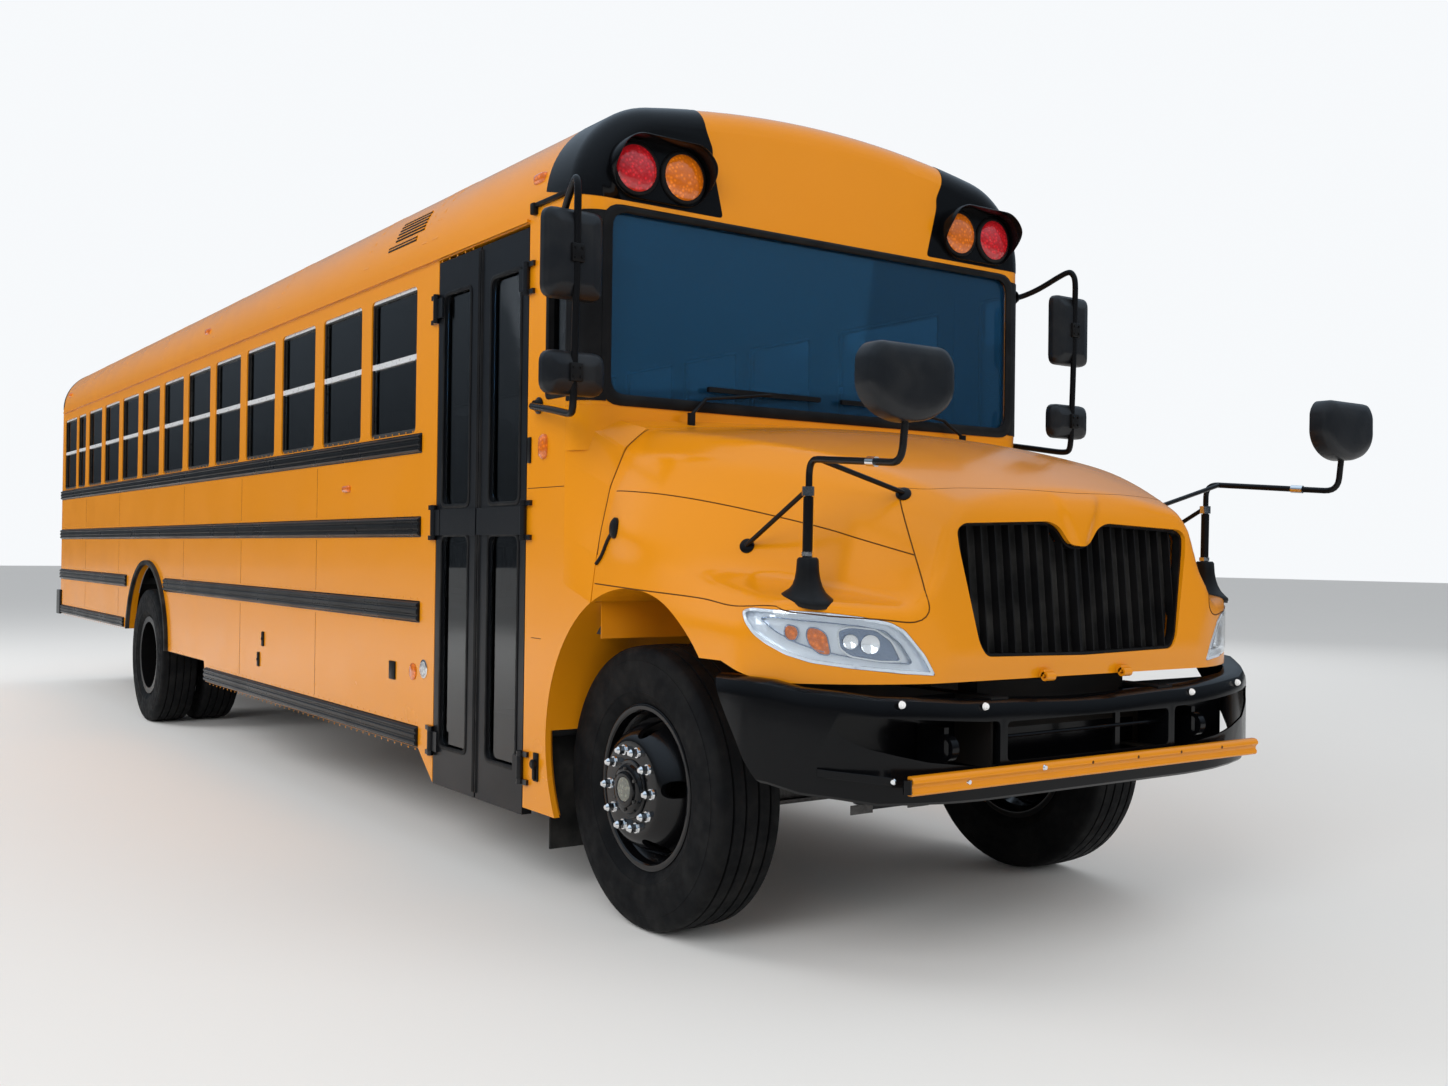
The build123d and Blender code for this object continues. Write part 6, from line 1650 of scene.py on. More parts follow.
@dataclass
class Hood:
    """The tilting hood: a smooth moulding with both fenders, its openings, liners, seams and latches."""

    # Station, crown, then the flank's points from the shoulder to the fender's edge as y, z pairs.
    rows: tuple[tuple[float, ...], ...] = (
        (-0.130, 1.915, 0.980, 1.868, 1.075, 1.790, 1.140, 1.640, 1.165, 1.520, 1.195, 1.380, 1.219, 1.200),
        (0.516, 1.838, 0.850, 1.775, 0.945, 1.690, 1.040, 1.480, 1.090, 1.370, 1.170, 1.300, 1.219, 1.180),
        (0.950, 1.705, 0.645, 1.652, 0.715, 1.585, 0.790, 1.390, 0.850, 1.270, 1.110, 1.247, 1.212, 1.150),
        (1.250, 1.560, 0.540, 1.505, 0.600, 1.440, 0.660, 1.300, 0.740, 1.215, 1.090, 1.205, 1.205, 1.090),
    )
    nose: tuple[Flat, ...] = ((1.030, 2.000), (1.060, 1.668), (1.122, 1.628), (1.150, 1.560), (1.187, 1.060),
                              (1.176, 0.985))
    lip: tuple[Flat, ...] = ((1.30, 0.985), (0.900, 0.985), (0.720, 1.044), (0.560, 1.044), (-0.122, 1.200),
                             (-0.40, 1.260))
    rear: float = -0.122
    floor: float = 0.78
    voxel: float = 0.017
    rounding: int = 16
    wall: float = 0.016
    shield_heights: Flat = (1.440, 1.605)
    shield_half: float = 0.112
    shield_height: float = 0.013
    shield_edge: float = 0.028
    arch_center: Flat = (0.134, 0.656)
    arch_radius: float = 0.604
    arch_inner: float = 0.640
    liner_sheet: float = 0.006
    # What is kept of the liners over and behind the wheel, as stations and heights.
    liner_side = ((-0.32, 1.42), (0.80, 1.42), (0.80, 1.01), (0.58, 1.052), (0.46, 1.08), (0.40, 0.99), (-0.05, 0.99),
                  (-0.32, 0.99))
    cowl_liner_side = ((-0.60, 1.215), (-0.132, 1.215), (-0.132, 0.682), (-0.60, 0.682))
    # The hold-down on the fender, its cap's section and its strap, and the latch low on the cowl.
    latch_at: Point = (0.025, 1.208, 1.478)
    latch_cap = ((0.0, 0.001), (0.0, 0.026), (0.010, 0.026), (0.018, 0.019), (0.020, 0.001))
    latch_strap = ((0.018, 1.206, 1.465), (-0.030, 1.206, 1.430), (-0.078, 1.204, 1.372), (-0.112, 1.204, 1.345))
    cowl_latch_at: Point = (-0.541, -1.2185, 0.531)
    cowl_knob = ((0.0, 0.001), (0.0, 0.019), (-0.016, 0.019), (-0.021, 0.012), (-0.021, 0.001))

    def __post_init__(self) -> None:
        """Make the smooth outer form that the other front pieces are laid on."""
        self.form = self.outer_form()
        self.skin = Skin(self.form, (-1, 0, 0))

    def outer_form(self) -> Thing:
        """Return the closed and smoothed outer form, longer at its rear and foot than the hood.

        Returns:
            The form.
        """
        rings = []
        places = [-0.42] + [-0.13 + 0.06 * i for i in range(25)]
        for place in places:
            numbers = through_rows(self.rows, place)
            crown, flank = numbers[0], list(zip(numbers[1::2], numbers[2::2]))
            left = [(-y, z) for y, z in reversed(flank)]
            ring = arc_points(left[-1], (0.0, crown), flank[0], 26)[1:-1]
            foot = [(flank[-1][0], self.floor), (left[0][0], self.floor)]
            rings.append([(station(place), y, z) for y, z in left + ring + flank + foot])
        form = lofted("hood_form", rings)
        side = [(-0.41, 2.3), (1.02, 2.3), *self.nose, (1.176, self.floor - 0.01), (-0.41, self.floor - 0.01)]
        form = cut(form, crossing("nose_side", side), "INTERSECT")
        corner = arc_points((0.80, 1.221), (1.080, 0.950), (1.190, 0.560), 14)
        plan = [(-0.5, 1.221), *corner, *[(x, -y) for x, y in reversed(corner)], (-0.5, -1.221)]
        form = cut(form, prism("nose_plan", [(station(x), y) for x, y in plan], 0.5, 2.5, "Z"), "INTERSECT")
        remesh = form.modifiers.new("even", "REMESH")
        remesh.mode = "VOXEL"
        remesh.voxel_size = self.voxel
        relax = form.modifiers.new("round", "SMOOTH")
        relax.factor = 0.5
        relax.iterations = self.rounding
        form = applied(form)
        self.raise_shield(form)
        return smoothed(form, 80.0)

    def raise_shield(self, form: Thing) -> None:
        """Push the shield above the grille's notch proud of the nose.

        Args:
            form: The hood's outer form.
        """
        low, high = self.shield_heights
        for vertex in form.data.vertices:
            x, y, z = vertex.co
            if x < station(1.04) or not low - 0.05 < z < high + 0.05:
                continue
            share = max(0.0, min(1.0, (z - low) / (high - low)))
            half = self.shield_half * (0.25 + 0.75 * share)
            edge = min(half - abs(y), high - z, z - low + 0.03)
            vertex.co.x = x + self.shield_height * eased(edge / self.shield_edge + 0.5)

    def build(self) -> None:
        """Cut the openings, hollow the form and add the liners, seams, lugs and latches."""
        shell = self.shell()
        fit(shell, "hood", "yellow_paint", SHOP.yellow, "hood")
        self.liners()
        self.seams()
        self.lugs()
        self.latches()
        Grille(self).build()
        Headlamps(self).build()
        CrossViewMirrors(self).build()
        bpy.data.objects.remove(self.form)

    def shell(self) -> Thing:
        """Return the moulding as an even wall with all its openings.

        Returns:
            The moulding.
        """
        tools = [block("rear_tool", (station(-1.0), -1.4, 0.5), (station(self.rear), 1.4, 2.4))]
        tools.append(crossing("foot_tool", [*self.lip, (-0.40, 0.6), (1.30, 0.6)]))
        center = (station(self.arch_center[0]), 0.0, self.arch_center[1])
        for side in SIDES:
            rim = [(self.arch_inner, 0.0), (self.arch_inner, self.arch_radius), (1.3, self.arch_radius), (1.3, 0.0)]
            tools.append(turned("arch_tool", rim, center, "Y", 96, side))
            tools.append(Headlamps.tool(side))
        tools.append(lengthwise("grille_tool", Grille.full_outline(0.0), 1.0, 1.3))
        marker = SHOP.seam.material()
        form = linked("hood_shell", self.form.data.copy())
        form.data.materials.clear()
        form.data.materials.append(SHOP.yellow.material())
        for tool in tools:
            tool.data.materials.append(marker)
            modifier = form.modifiers.new(tool.name, "BOOLEAN")
            modifier.object = tool
            modifier.solver = "EXACT"
            modifier.material_mode = "TRANSFER"
        form = applied(form)
        for tool in tools:
            bpy.data.objects.remove(tool)
        slots = [slot.name for slot in form.data.materials]
        skin = slots.index(SHOP.yellow.material().name)
        mesh = bmesh.new()
        mesh.from_mesh(form.data)
        bmesh.ops.delete(mesh, geom=[f for f in mesh.faces if f.material_index != skin], context="FACES")
        bmesh.ops.remove_doubles(mesh, verts=mesh.verts, dist=5e-5)
        mesh.to_mesh(form.data)
        mesh.free()
        solid = form.modifiers.new("wall", "SOLIDIFY")
        solid.thickness = self.wall
        solid.offset = -1.0
        return smoothed(applied(form), 38.0)

    def liners(self) -> None:
        """Make the painted liners over the front wheels, trimmed to the fenders."""
        center = (station(self.arch_center[0]), 0.0, self.arch_center[1])
        parts = []
        for side in SIDES:
            inner, outer, low, high = self.arch_inner, 1.25, self.arch_radius, self.arch_radius + self.liner_sheet
            ring = [(inner, low), (outer, low), (outer, high), (inner - self.liner_sheet, high),
                    (inner - self.liner_sheet, 0.32), (inner, 0.32)]
            liner = turned("liner", ring, center, "Y", 96, side)
            parts.append(cut(liner, crossing("liner_keep", self.liner_side), "INTERSECT"))
        liners = joined("wheel_liners", parts)
        inner = linked("liner_bounds", self.form.data.copy())
        shrink = inner.modifiers.new("inwards", "DISPLACE")
        shrink.strength = -(self.wall * 0.5)
        shrink.mid_level = 0.0
        inner = applied(inner)
        rear = block("rear_bounds", (station(self.rear + 0.002), -1.3, 0.5), (station(1.3), 1.3, 2.0))
        liners = cut(cut(liners, rear, "INTERSECT"), inner, "INTERSECT")
        fit(smoothed(liners), "hood", "yellow_paint", SHOP.yellow)
        self.cowl_liners(center)

    def cowl_liners(self, center: Point) -> None:
        """Make the fixed liners behind the front tyres and the cowl's closing panels above them.

        Args:
            center: The middle of the front wheels' arch.
        """
        parts = []
        for side in SIDES:
            inner, outer, reach = side * 0.62, side * 1.205, self.arch_radius
            ring = [(inner, reach), (outer, reach), (outer, reach + 0.004), (inner, reach + 0.004)]
            liner = turned("cowl_liner", ring, center, "Y", 96)
            parts.append(cut(liner, crossing("cowl_keep", self.cowl_liner_side), "INTERSECT"))
            panel = [(inner, 1.064), (side * 1.17, 1.064), (side * 1.17, 1.30), (side * 1.12, 1.38), (inner, 1.38)]
            parts.append(lengthwise("cowl_closing", panel, -0.131, -0.128))
        fit(smoothed(joined("cowl_liners", parts)), "bus_body", "yellow_paint", SHOP.yellow)

    # Seams of the mouldings on the right side, as points that fall on the skin: station, y, z.
    seam_lines = (
        ((-0.042, -1.161, 1.617), (0.109, -1.154, 1.609), (0.377, -1.073, 1.576), (0.523, -1.005, 1.547),
         (0.785, -0.863, 1.483), (0.911, -0.795, 1.444), (1.082, -0.709, 1.393)),
        ((0.958, -0.668, 1.612), (0.988, -0.690, 1.574), (1.023, -0.700, 1.507), (1.082, -0.709, 1.393),
         (1.150, -0.728, 1.282), (1.169, -0.727, 1.213), (1.157, -0.775, 1.181), (1.114, -0.885, 1.189),
         (1.012, -1.044, 1.201), (0.762, -1.173, 1.221), (0.555, -1.189, 1.240), (0.210, -1.211, 1.257),
         (-0.110, -1.212, 1.272)),
    )
    nose_seam = ((0.958, -0.668, 1.612), (1.037, -0.603, 1.612), (1.066, -0.493, 1.619), (1.105, -0.296, 1.622),
                 (1.125, 0.0, 1.620), (1.105, 0.296, 1.622), (1.066, 0.493, 1.619), (1.037, 0.603, 1.612),
                 (0.958, 0.668, 1.612))

    def seams(self) -> None:
        """Lay thin tubes in the shaded seam finish along the panel seams on the skin: painted shade in their gaps."""
        parts = []
        for line in self.seam_lines:
            for side in SIDES:
                parts.append(tube("seam", self.skin.nearest_line(placed(line, -side), -0.0006), 0.0026, sides=1))
        numbers = through_rows(self.rows, self.rear)
        for side in SIDES:
            flank = list(zip(numbers[1::2], numbers[2::2]))[:-1]
            points = placed([(self.rear + 0.003, y, z) for y, z in flank], side)
            parts.append(tube("seam", self.skin.nearest_line(points, -0.0008), 0.0032, sides=1))
        parts.append(tube("seam", self.skin.nearest_line(placed(self.nose_seam), -0.0003), 0.0011, sides=1))
        fit(joined("hood_seams", parts), "hood", "black_plastic", SHOP.seam)

    def lugs(self) -> None:
        """Make the two hinge lugs below the grille."""
        parts = []
        for y in (-0.200, 0.200):
            low, high = y - 0.021, y + 0.021
            parts.append(block("lug", (station(1.152), low, 0.989), (station(1.199), high, 1.013)))
            parts.append(block("lug_root", (station(1.150), low, 0.989), (station(1.172), high, 1.050)))
            eye = [(low, 0.0084), (low, 0.0158), (high, 0.0158), (high, 0.0084)]
            parts.append(turned("lug_eye", eye, (station(1.200), 0.0, 0.990), "Y", 24))
        fit(smoothed(joined("hood_lugs", parts)), "hood", "yellow_paint", SHOP.yellow)

    def latches(self) -> None:
        """Make the rubber hold-down on each rear corner of the fenders."""
        parts = []
        for side in SIDES:
            spot, normal = self.skin.nearest(placed([self.latch_at], side)[0])
            cap = turned("latch_cap", self.latch_cap, (0, 0, 0), "Y", 20)
            parts.append(recalculated(stood(cap, spot - normal * 0.004, normal, 1.5)))
            points = self.skin.nearest_line(placed(self.latch_strap, side), 0.005)
            parts.append(tube("latch_strap", points, 0.0065))
        fit(smoothed(joined("hood_latches", parts)), "hood", "black_plastic", SHOP.black_plastic)
        [(x, y, z)] = placed([self.cowl_latch_at])
        plate = block("cowl_latch", (x - 0.020, y - 0.008, z - 0.058), (x + 0.020, y, z + 0.056))
        knob = turned("cowl_latch_knob", self.cowl_knob, (x, y - 0.006, z + 0.012), "Y", 20)
        hasp = block("cowl_latch_hasp", (x - 0.009, y - 0.017, z - 0.050), (x + 0.009, y - 0.006, z - 0.004))
        latch = joined("cowl_latch", [bevelled(plate, 0.003), knob, bevelled(hasp, 0.002)])
        fit(smoothed(latch), "bus_body", "black_plastic", SHOP.black_plastic)


# ---- grille and headlamps ----


@dataclass
class Grille:
    """The black grille: a rounded frame, thin slats and the screen behind them."""

    hood: Hood
    slat_count: int = 17
    slat_width: float = 0.011
    reach: float = 0.590
    half = ((0.0, 1.430), (0.048, 1.436), (0.100, 1.497), (0.150, 1.515), (0.560, 1.500), (0.594, 1.478),
            (0.588, 1.420), (0.512, 1.105), (0.480, 1.063), (0.0, 1.054))

    @classmethod
    def full_outline(cls, inset: float) -> list[Flat]:
        """Return the opening's rounded outline, moved inwards by inset.

        Args:
            inset: How far it's moved.

        Returns:
            The outline.
        """
        half = list(cls.half)
        loop = half + [(-y, z) for y, z in reversed(half[1:-1])]
        loop = rounded_outline(loop, 0.030, 4)
        return inset_outline(loop, inset) if inset else loop

    def slab(self, front: float, rear: float) -> Thing:
        """Return a slab along the nose's slope between two distances in front of the CAD slab's rear plane.

        Args:
            front: The front plane's distance.
            rear: The rear plane's distance.

        Returns:
            The slab.
        """
        outline = [(station(1.083 + rear), 1.700), (station(1.083 + front), 1.700), (station(1.149 + front), 1.040),
                   (station(1.149 + rear), 1.040)]
        return prism("slope_slab", outline, -0.70, 0.70, "Y")

    def build(self) -> None:
        """Make the frame, the slats and the screen."""
        frame_ring = lengthwise("grille_ring", self.full_outline(0.001), 1.0, 1.3)
        frame_ring = cut(frame_ring, lengthwise("grille_hole", self.full_outline(0.010), 0.9, 1.4))
        frame_ring = cut(frame_ring, self.slab(0.033, 0.0), "INTERSECT")
        slats = []
        pitch = 2 * self.reach / (self.slat_count + 1)
        for i in range(1, self.slat_count + 1):
            y = -self.reach + pitch * i
            w = self.slat_width * (0.42 if i != (self.slat_count + 1) // 2 else 1.0)
            outline = [(y - w, 0.0), (y - w * 0.6, 1.0), (y + w * 0.6, 1.0), (y + w, 0.0)]
            rings = [[(station(1.078 + 0.030 * d), a, 1.72) for a, d in outline],
                     [(station(1.146 + 0.030 * d), a, 1.02) for a, d in outline]]
            slats.append(lofted("slat", rings))
        bars = cut(joined("slats", slats), lengthwise("bar_bounds", self.full_outline(0.010), 0.9, 1.4), "INTERSECT")
        screen = lengthwise("screen", self.full_outline(0.004), 1.0, 1.3)
        screen = cut(screen, self.slab(-0.012, -0.016), "INTERSECT")
        fit(smoothed(joined("grille_frame_and_slats", [frame_ring, bars])), "hood", "black_plastic",
            SHOP.black_plastic, "grille")
        fit(smoothed(screen), "hood", "black_plastic", SHOP.flap)


@dataclass
class Headlamps:
    """The headlamps: a bright housing behind a clear cover, with indicator, marker and projector cells."""

    hood: Hood
    # The lamp is laid on the corner along this direction into the bus, as shares of X and of the way inwards.
    slant = (0.788, 0.616)
    # Outline on the skin: station, distance from the middle and height.
    outline = ((0.778, 1.180, 1.209), (0.819, 1.198, 1.173), (0.851, 1.189, 1.136), (0.886, 1.164, 1.106),
               (0.937, 1.122, 1.073), (0.993, 1.066, 1.050), (1.069, 0.967, 1.034), (1.141, 0.822, 1.018),
               (1.175, 0.699, 1.009), (1.167, 0.740, 1.077), (1.146, 0.808, 1.156), (1.128, 0.855, 1.181),
               (1.087, 0.935, 1.197), (1.031, 1.019, 1.208), (0.969, 1.090, 1.213), (0.889, 1.148, 1.217),
               (0.808, 1.166, 1.220))
    inner = ((0.868, 1.171, 1.187), (0.910, 1.144, 1.189), (0.970, 1.090, 1.181), (1.032, 1.019, 1.174),
             (1.084, 0.941, 1.165), (1.122, 0.870, 1.150), (1.141, 0.823, 1.109), (1.154, 0.784, 1.049),
             (1.115, 0.883, 1.056), (1.069, 0.967, 1.071), (1.013, 1.043, 1.089), (0.959, 1.101, 1.115),
             (0.912, 1.144, 1.148))
    cells = (
        ("amber", ((0.938, 1.121, 1.168), (0.959, 1.101, 1.162), (0.966, 1.095, 1.144), (0.959, 1.101, 1.121),
                   (0.943, 1.116, 1.121), (0.934, 1.125, 1.142))),
        ("amber", ((0.988, 1.072, 1.160), (1.008, 1.049, 1.157), (1.024, 1.029, 1.139), (1.033, 1.019, 1.077),
                   (1.013, 1.043, 1.079), (0.992, 1.067, 1.104), (0.984, 1.076, 1.135))),
        ("dark", ((1.047, 0.999, 1.152), (1.068, 0.968, 1.162), (1.108, 0.897, 1.154), (1.128, 0.850, 1.118),
                  (1.141, 0.820, 1.058), (1.115, 0.883, 1.059), (1.069, 0.967, 1.074), (1.051, 0.994, 1.099))),
    )
    # Each reflector bowl's place on the skin and its radius.
    bowls = ((1.100, 0.912, 1.110, 0.030), (1.068, 0.966, 1.118, 0.024))
    depth_range: Flat = (-5.34, -5.02)
    rounding: float = 0.014
    cell_rounding: float = 0.012

    @classmethod
    def flat(cls, points: Sequence[Point]) -> list[Flat]:
        """Return points on the skin as places across the slanted direction, the same for both sides."""
        c, s = cls.slant
        return [(s * station(x) - c * y, z) for x, y, z in points]

    @classmethod
    def direction(cls, side: int) -> Point:
        """Return the direction into the bus at one side's lamp."""
        c, s = cls.slant
        return (-c, -side * s, 0.0)

    @classmethod
    def tool(cls, side: int) -> Thing:
        """Return the solid that cuts one lamp's opening.

        Args:
            side: The side of the bus: -1 on the right, 1 on the left.

        Returns:
            The solid.
        """
        c, s = cls.slant
        into, across = Vector(cls.direction(side)), Vector((s, -side * c, 0.0))
        outline = rounded_outline(cls.flat(cls.outline), cls.rounding, 4)
        rings = [[tuple(across * u + into * depth + Vector((0, 0, z))) for u, z in outline]
                 for depth in cls.depth_range]
        return lofted("lamp_tool", rings)

    def __post_init__(self) -> None:
        """Make one skin for each side's direction."""
        self.skins = {side: Skin(self.hood.form, self.direction(side)) for side in SIDES}

    def plate(self, name: str, outline: Sequence[Flat], side: int, lift: float, depth: float,
              step: float = 0.022) -> Thing:
        """Return a plate of a flat outline, laid on the hood's form on the given side."""
        return self.skins[side].patch(name, outline, lift, depth, step)

    def build(self) -> None:
        """Make both lamps."""
        covers, backs, rims, ambers, darks_and_shade_rims, shines = [], [], [], [], [], []
        whole = rounded_outline(self.flat(self.outline), self.rounding, 4)
        tight = inset_outline(whole, 0.0012)
        inner = rounded_outline(self.flat(self.inner), self.cell_rounding, 4)
        for side in SIDES:
            covers.append(smoothed(self.plate("cover", tight, side, 0.0035, 0.004), 50))
            backs.append(self.plate("back", tight, side, -0.026, 0.003))
            rims.append(self.rim(side, tight, inset_outline(whole, 0.011), 0.0005, 0.026))
            # A dark band inside the bezel around the inner cells: painted shade at their edge.
            darks_and_shade_rims.append(self.rim(side, inset_outline(inner, -0.0035), inner, -0.010, 0.014))
            for kind, cell in self.cells:
                shape = rounded_outline(self.flat(cell), self.cell_rounding, 4)
                if kind == "amber":
                    ambers.append(smoothed(self.plate("amber", shape, side, -0.010, 0.008, 0.012), 50))
                    # A dark band around each indicator: painted shade at its edge.
                    darks_and_shade_rims.append(self.rim(side, inset_outline(shape, -0.004), shape, -0.007, 0.014))
                else:
                    darks_and_shade_rims.append(self.plate("dark", shape, side, -0.021, 0.003, 0.014))
                    shines.append(self.rim(side, inset_outline(shape, -0.005), shape, -0.009, 0.014))
            shines += self.projector(side)
        fit(joined("headlamp_covers", covers), "hood", "headlight_plastic", SHOP.clear, "headlights")
        fit(joined("headlamp_reflectors", backs), "hood", "headlight_plastic", SHOP.bezel)
        fit(joined("headlamp_bezels", rims), "hood", "headlight_plastic", SHOP.bezel)
        fit(joined("headlamp_indicators", ambers), "hood", "lamp_plastic", SHOP.amber_lens)
        fit(joined("headlamp_dark_cells", darks_and_shade_rims), "hood", "headlight_plastic", SHOP.facets)
        fit(joined("headlamp_cell_rims", shines), "hood", "headlight_plastic", SHOP.silver)

    def rim(self, side: int, outer: Sequence[Flat], inner: Sequence[Flat], lift: float,
            depth: float) -> Thing:
        """Return a band between two outlines with the same number of points, laid on the form.

        Args:
            side: The side of the bus: -1 on the right, 1 on the left.
            outer: The outer outline.
            inner: The inner outline.
            lift: How far off the surface.
            depth: How deep the band reaches.

        Returns:
            The band.
        """
        skin = self.skins[side]
        rings = []
        for outline, drop in ((outer, 0.0), (inner, 0.0), (inner, depth), (outer, depth)):
            ring = []
            for point in outline:
                spot = skin.drop(skin.place(Vector(point)), lift)
                ring.append(tuple(spot + skin.direction * drop))
            rings.append(ring)
        loops = [[ring[i] for ring in rings] for i in range(len(outer))]
        return smoothed(lofted("rim", loops + [loops[0]], capped=False), 40)

    def projector(self, side: int) -> list[Thing]:
        """Return the bright reflector bowls inside the dark cell.

        Args:
            side: The side of the bus: -1 on the right, 1 on the left.

        Returns:
            The bowls.
        """
        bowls = []
        skin = self.skins[side]
        for x, y, z, radius in self.bowls:
            [point] = self.flat([(x, y, z)])
            spot = skin.drop(skin.place(Vector(point)), -0.019)
            profile = [(0.0, 0.0005), (0.004, radius * 0.55), (0.010, radius), (0.012, radius), (0.010, radius * 0.9),
                       (0.006, radius * 0.5), (0.003, 0.0005)]
            bowl = stood(turned("bowl", profile, (0, 0, 0), "Y", 24), spot, -skin.direction)
            bowls.append(smoothed(bowl, 50))
        return bowls


# ---- mirrors and warning lamps ----


@dataclass
class CrossViewMirrors:
    """The convex mirrors on bent arms above the fenders, with boots, clamps and feet."""

    hood: Hood
    foot: Point = (0.931, 1.031, 1.236)
    head: Point = (1.473, 1.112, 1.880)
    head_size: Point = (0.080, 0.330, 0.220)
    # The bent arm, the thicker post around its foot, and the struts from the arm to the skin.
    arm = ((0.927, 1.031, 1.250), (0.934, 1.031, 1.695), (1.452, 1.112, 1.655), (1.473, 1.112, 1.850))
    post = ((0.927, 1.031, 1.260), (0.931, 1.031, 1.575))
    struts = (((0.990, 1.033, 1.690), (0.985, 0.672, 1.592)), ((0.929, 1.031, 1.600), (0.596, 1.030, 1.420)))
    # The boot's rings: height above the fender, half length, half width and how far each follows the slope.
    bell = ((-0.014, 0.092, 0.064, 1.0), (-0.002, 0.095, 0.067, 1.0), (0.005, 0.094, 0.066, 1.0),
            (0.011, 0.084, 0.058, 1.0), (0.021, 0.066, 0.048, 0.9), (0.036, 0.052, 0.041, 0.6),
            (0.056, 0.043, 0.036, 0.3), (0.080, 0.038, 0.033, 0.1), (0.118, 0.035, 0.031, 0.0),
            (0.125, 0.029, 0.026, 0.0))

    def build(self) -> None:
        """Make the tubes, boots, clamps, shells and glasses of both sides."""
        tubes, boots, clamps, shells, glasses = [], [], [], [], []
        for side in SIDES:
            tubes += self.arms(side)
            boots.append(self.boot(side))
            clamps += self.clamps(side)
            shells.append(self.shell(side))
            glasses.append(self.glass(side))
        fit(joined("cross_view_arms", tubes), "hood", "black_plastic", SHOP.rail_black, "cross_view_mirrors")
        fit(joined("cross_view_boots", boots), "hood", "black_plastic", SHOP.black_plastic)
        fit(joined("cross_view_clamps", clamps), "hood", "cast_parts", SHOP.chrome)
        fit(joined("cross_view_shells", shells), "hood", "black_plastic", SHOP.mirror_shell)
        fit(joined("cross_view_glasses", glasses), "hood", "black_plastic", SHOP.mirror)

    def arms(self, side: int) -> list[Thing]:
        """Return the bent arm and the two struts of one side.

        Args:
            side: The side of the bus: -1 on the right, 1 on the left.

        Returns:
            The arm's pieces.
        """
        arms = [tube("arm", bent_path(placed(self.arm, side), 0.050), 0.0112, sides=3),
                tube("post", placed(self.post, side), 0.0165, sides=3)]
        for start, target in self.struts:
            begin, end = placed((start, target), side)
            spot, normal = self.hood.skin.nearest(end)
            arms.append(tube("strut", [begin, tuple(spot + normal * 0.008)], 0.0085, sides=3))
            arms.append(self.pad(spot, normal, 0.026, 0.010))
        return arms

    def pad(self, spot: Vector, normal: Vector, radius: float, height: float) -> Thing:
        """Return a round foot pad on the skin."""
        profile = [(-0.004, 0.0005), (-0.004, radius), (height * 0.5, radius), (height, radius * 0.6), (height, 0.0005)]
        return smoothed(recalculated(stood(turned("pad", profile, (0, 0, 0), "Y", 20), spot, normal)))

    def boot(self, side: int) -> Thing:
        """Return the flared rubber boot around the arm's foot.

        Args:
            side: The side of the bus: -1 on the right, 1 on the left.

        Returns:
            The boot.
        """
        down = self.hood.skin.down
        x, y = station(self.foot[0]), side * self.foot[1]
        middle = down(x, y)
        along = (down(x + 0.04, y) - down(x - 0.04, y)) / 0.08
        across = (middle - down(x, y - side * 0.06)) / (side * 0.06)
        rings = []
        for height, long, wide, follow in self.bell:
            ring = []
            for i in range(32):
                angle = math.tau * i / 32
                dx, dy = long * superellipse(math.cos(angle)), wide * superellipse(math.sin(angle))
                slope = along * dx + across * dy - 0.8 * (dx * dx + dy * dy)
                ring.append((x + dx, y + dy, middle + slope * follow + height))
            rings.append(ring)
        return smoothed(lofted("boot", rings), 50)

    def clamps(self, side: int) -> list[Thing]:
        """Return the bright clamps on the arm.

        Args:
            side: The side of the bus: -1 on the right, 1 on the left.

        Returns:
            The clamps.
        """
        clamps = []
        for x, z, radius, tall in ((0.930, 1.592, 0.021, 0.030), (0.928, 1.392, 0.0195, 0.014)):
            profile = [(z - tall / 2, 0.012), (z - tall / 2, radius), (z + tall / 2, radius), (z + tall / 2, 0.012)]
            clamps.append(smoothed(turned("clamp", profile, (station(x), side * 1.031, 0.0), "Z", 20)))
        along = Vector((1.452 - 0.934, side * 0.081, -0.040)).normalized()
        middle = Vector((station(1.300), side * (1.031 + 0.081 * 0.706), 1.695 - 0.040 * 0.706))
        clamps.append(tube("sleeve", [tuple(middle - along * 0.022), tuple(middle + along * 0.022)], 0.0155, sides=3))
        return clamps

    def head_ring(self, side: int, x: float, scale: float) -> list[Point]:
        """Return the head's outline, flat on top and round below, at one station.

        Args:
            side: The side of the bus: -1 on the right, 1 on the left.
            x: The place along X.
            scale: The outline's share of its full size.

        Returns:
            The outline's points.
        """
        _, wide, tall = self.head_size
        points = []
        for i in range(33):
            angle = math.pi * i / 32
            points.append((-math.cos(angle) * wide / 2, -math.sin(angle) * tall * 0.5))
        top = [(wide / 2, 0.070), (wide / 2 - 0.035, tall / 2), (-wide / 2 + 0.035, tall / 2), (-wide / 2, 0.070)]
        loop = points + rounded_outline([points[-1], *top, points[0]], 0.03, 4)[6:-6]
        return [(x, side * self.head[1] + y * scale, self.head[2] + z * scale) for y, z in loop]

    def shell(self, side: int) -> Thing:
        """Return the head's domed shell, open at its rear face.

        Args:
            side: The side of the bus: -1 on the right, 1 on the left.

        Returns:
            The shell.
        """
        x = station(self.head[0])
        rows = ((-0.038, 1.0), (0.012, 1.0), (0.026, 0.96), (0.034, 0.86), (0.0385, 0.70), (0.040, 0.4), (0.040, 0.05))
        rings = [self.head_ring(side, x + d, s) for d, s in rows]
        inside = [self.head_ring(side, x + d, s) for d, s in ((0.020, 0.02), (0.020, 0.80), (-0.020, 0.955),
                                                               (-0.038, 0.965))]
        return smoothed(lofted("head", rings[::-1] + inside[::-1]), 55)

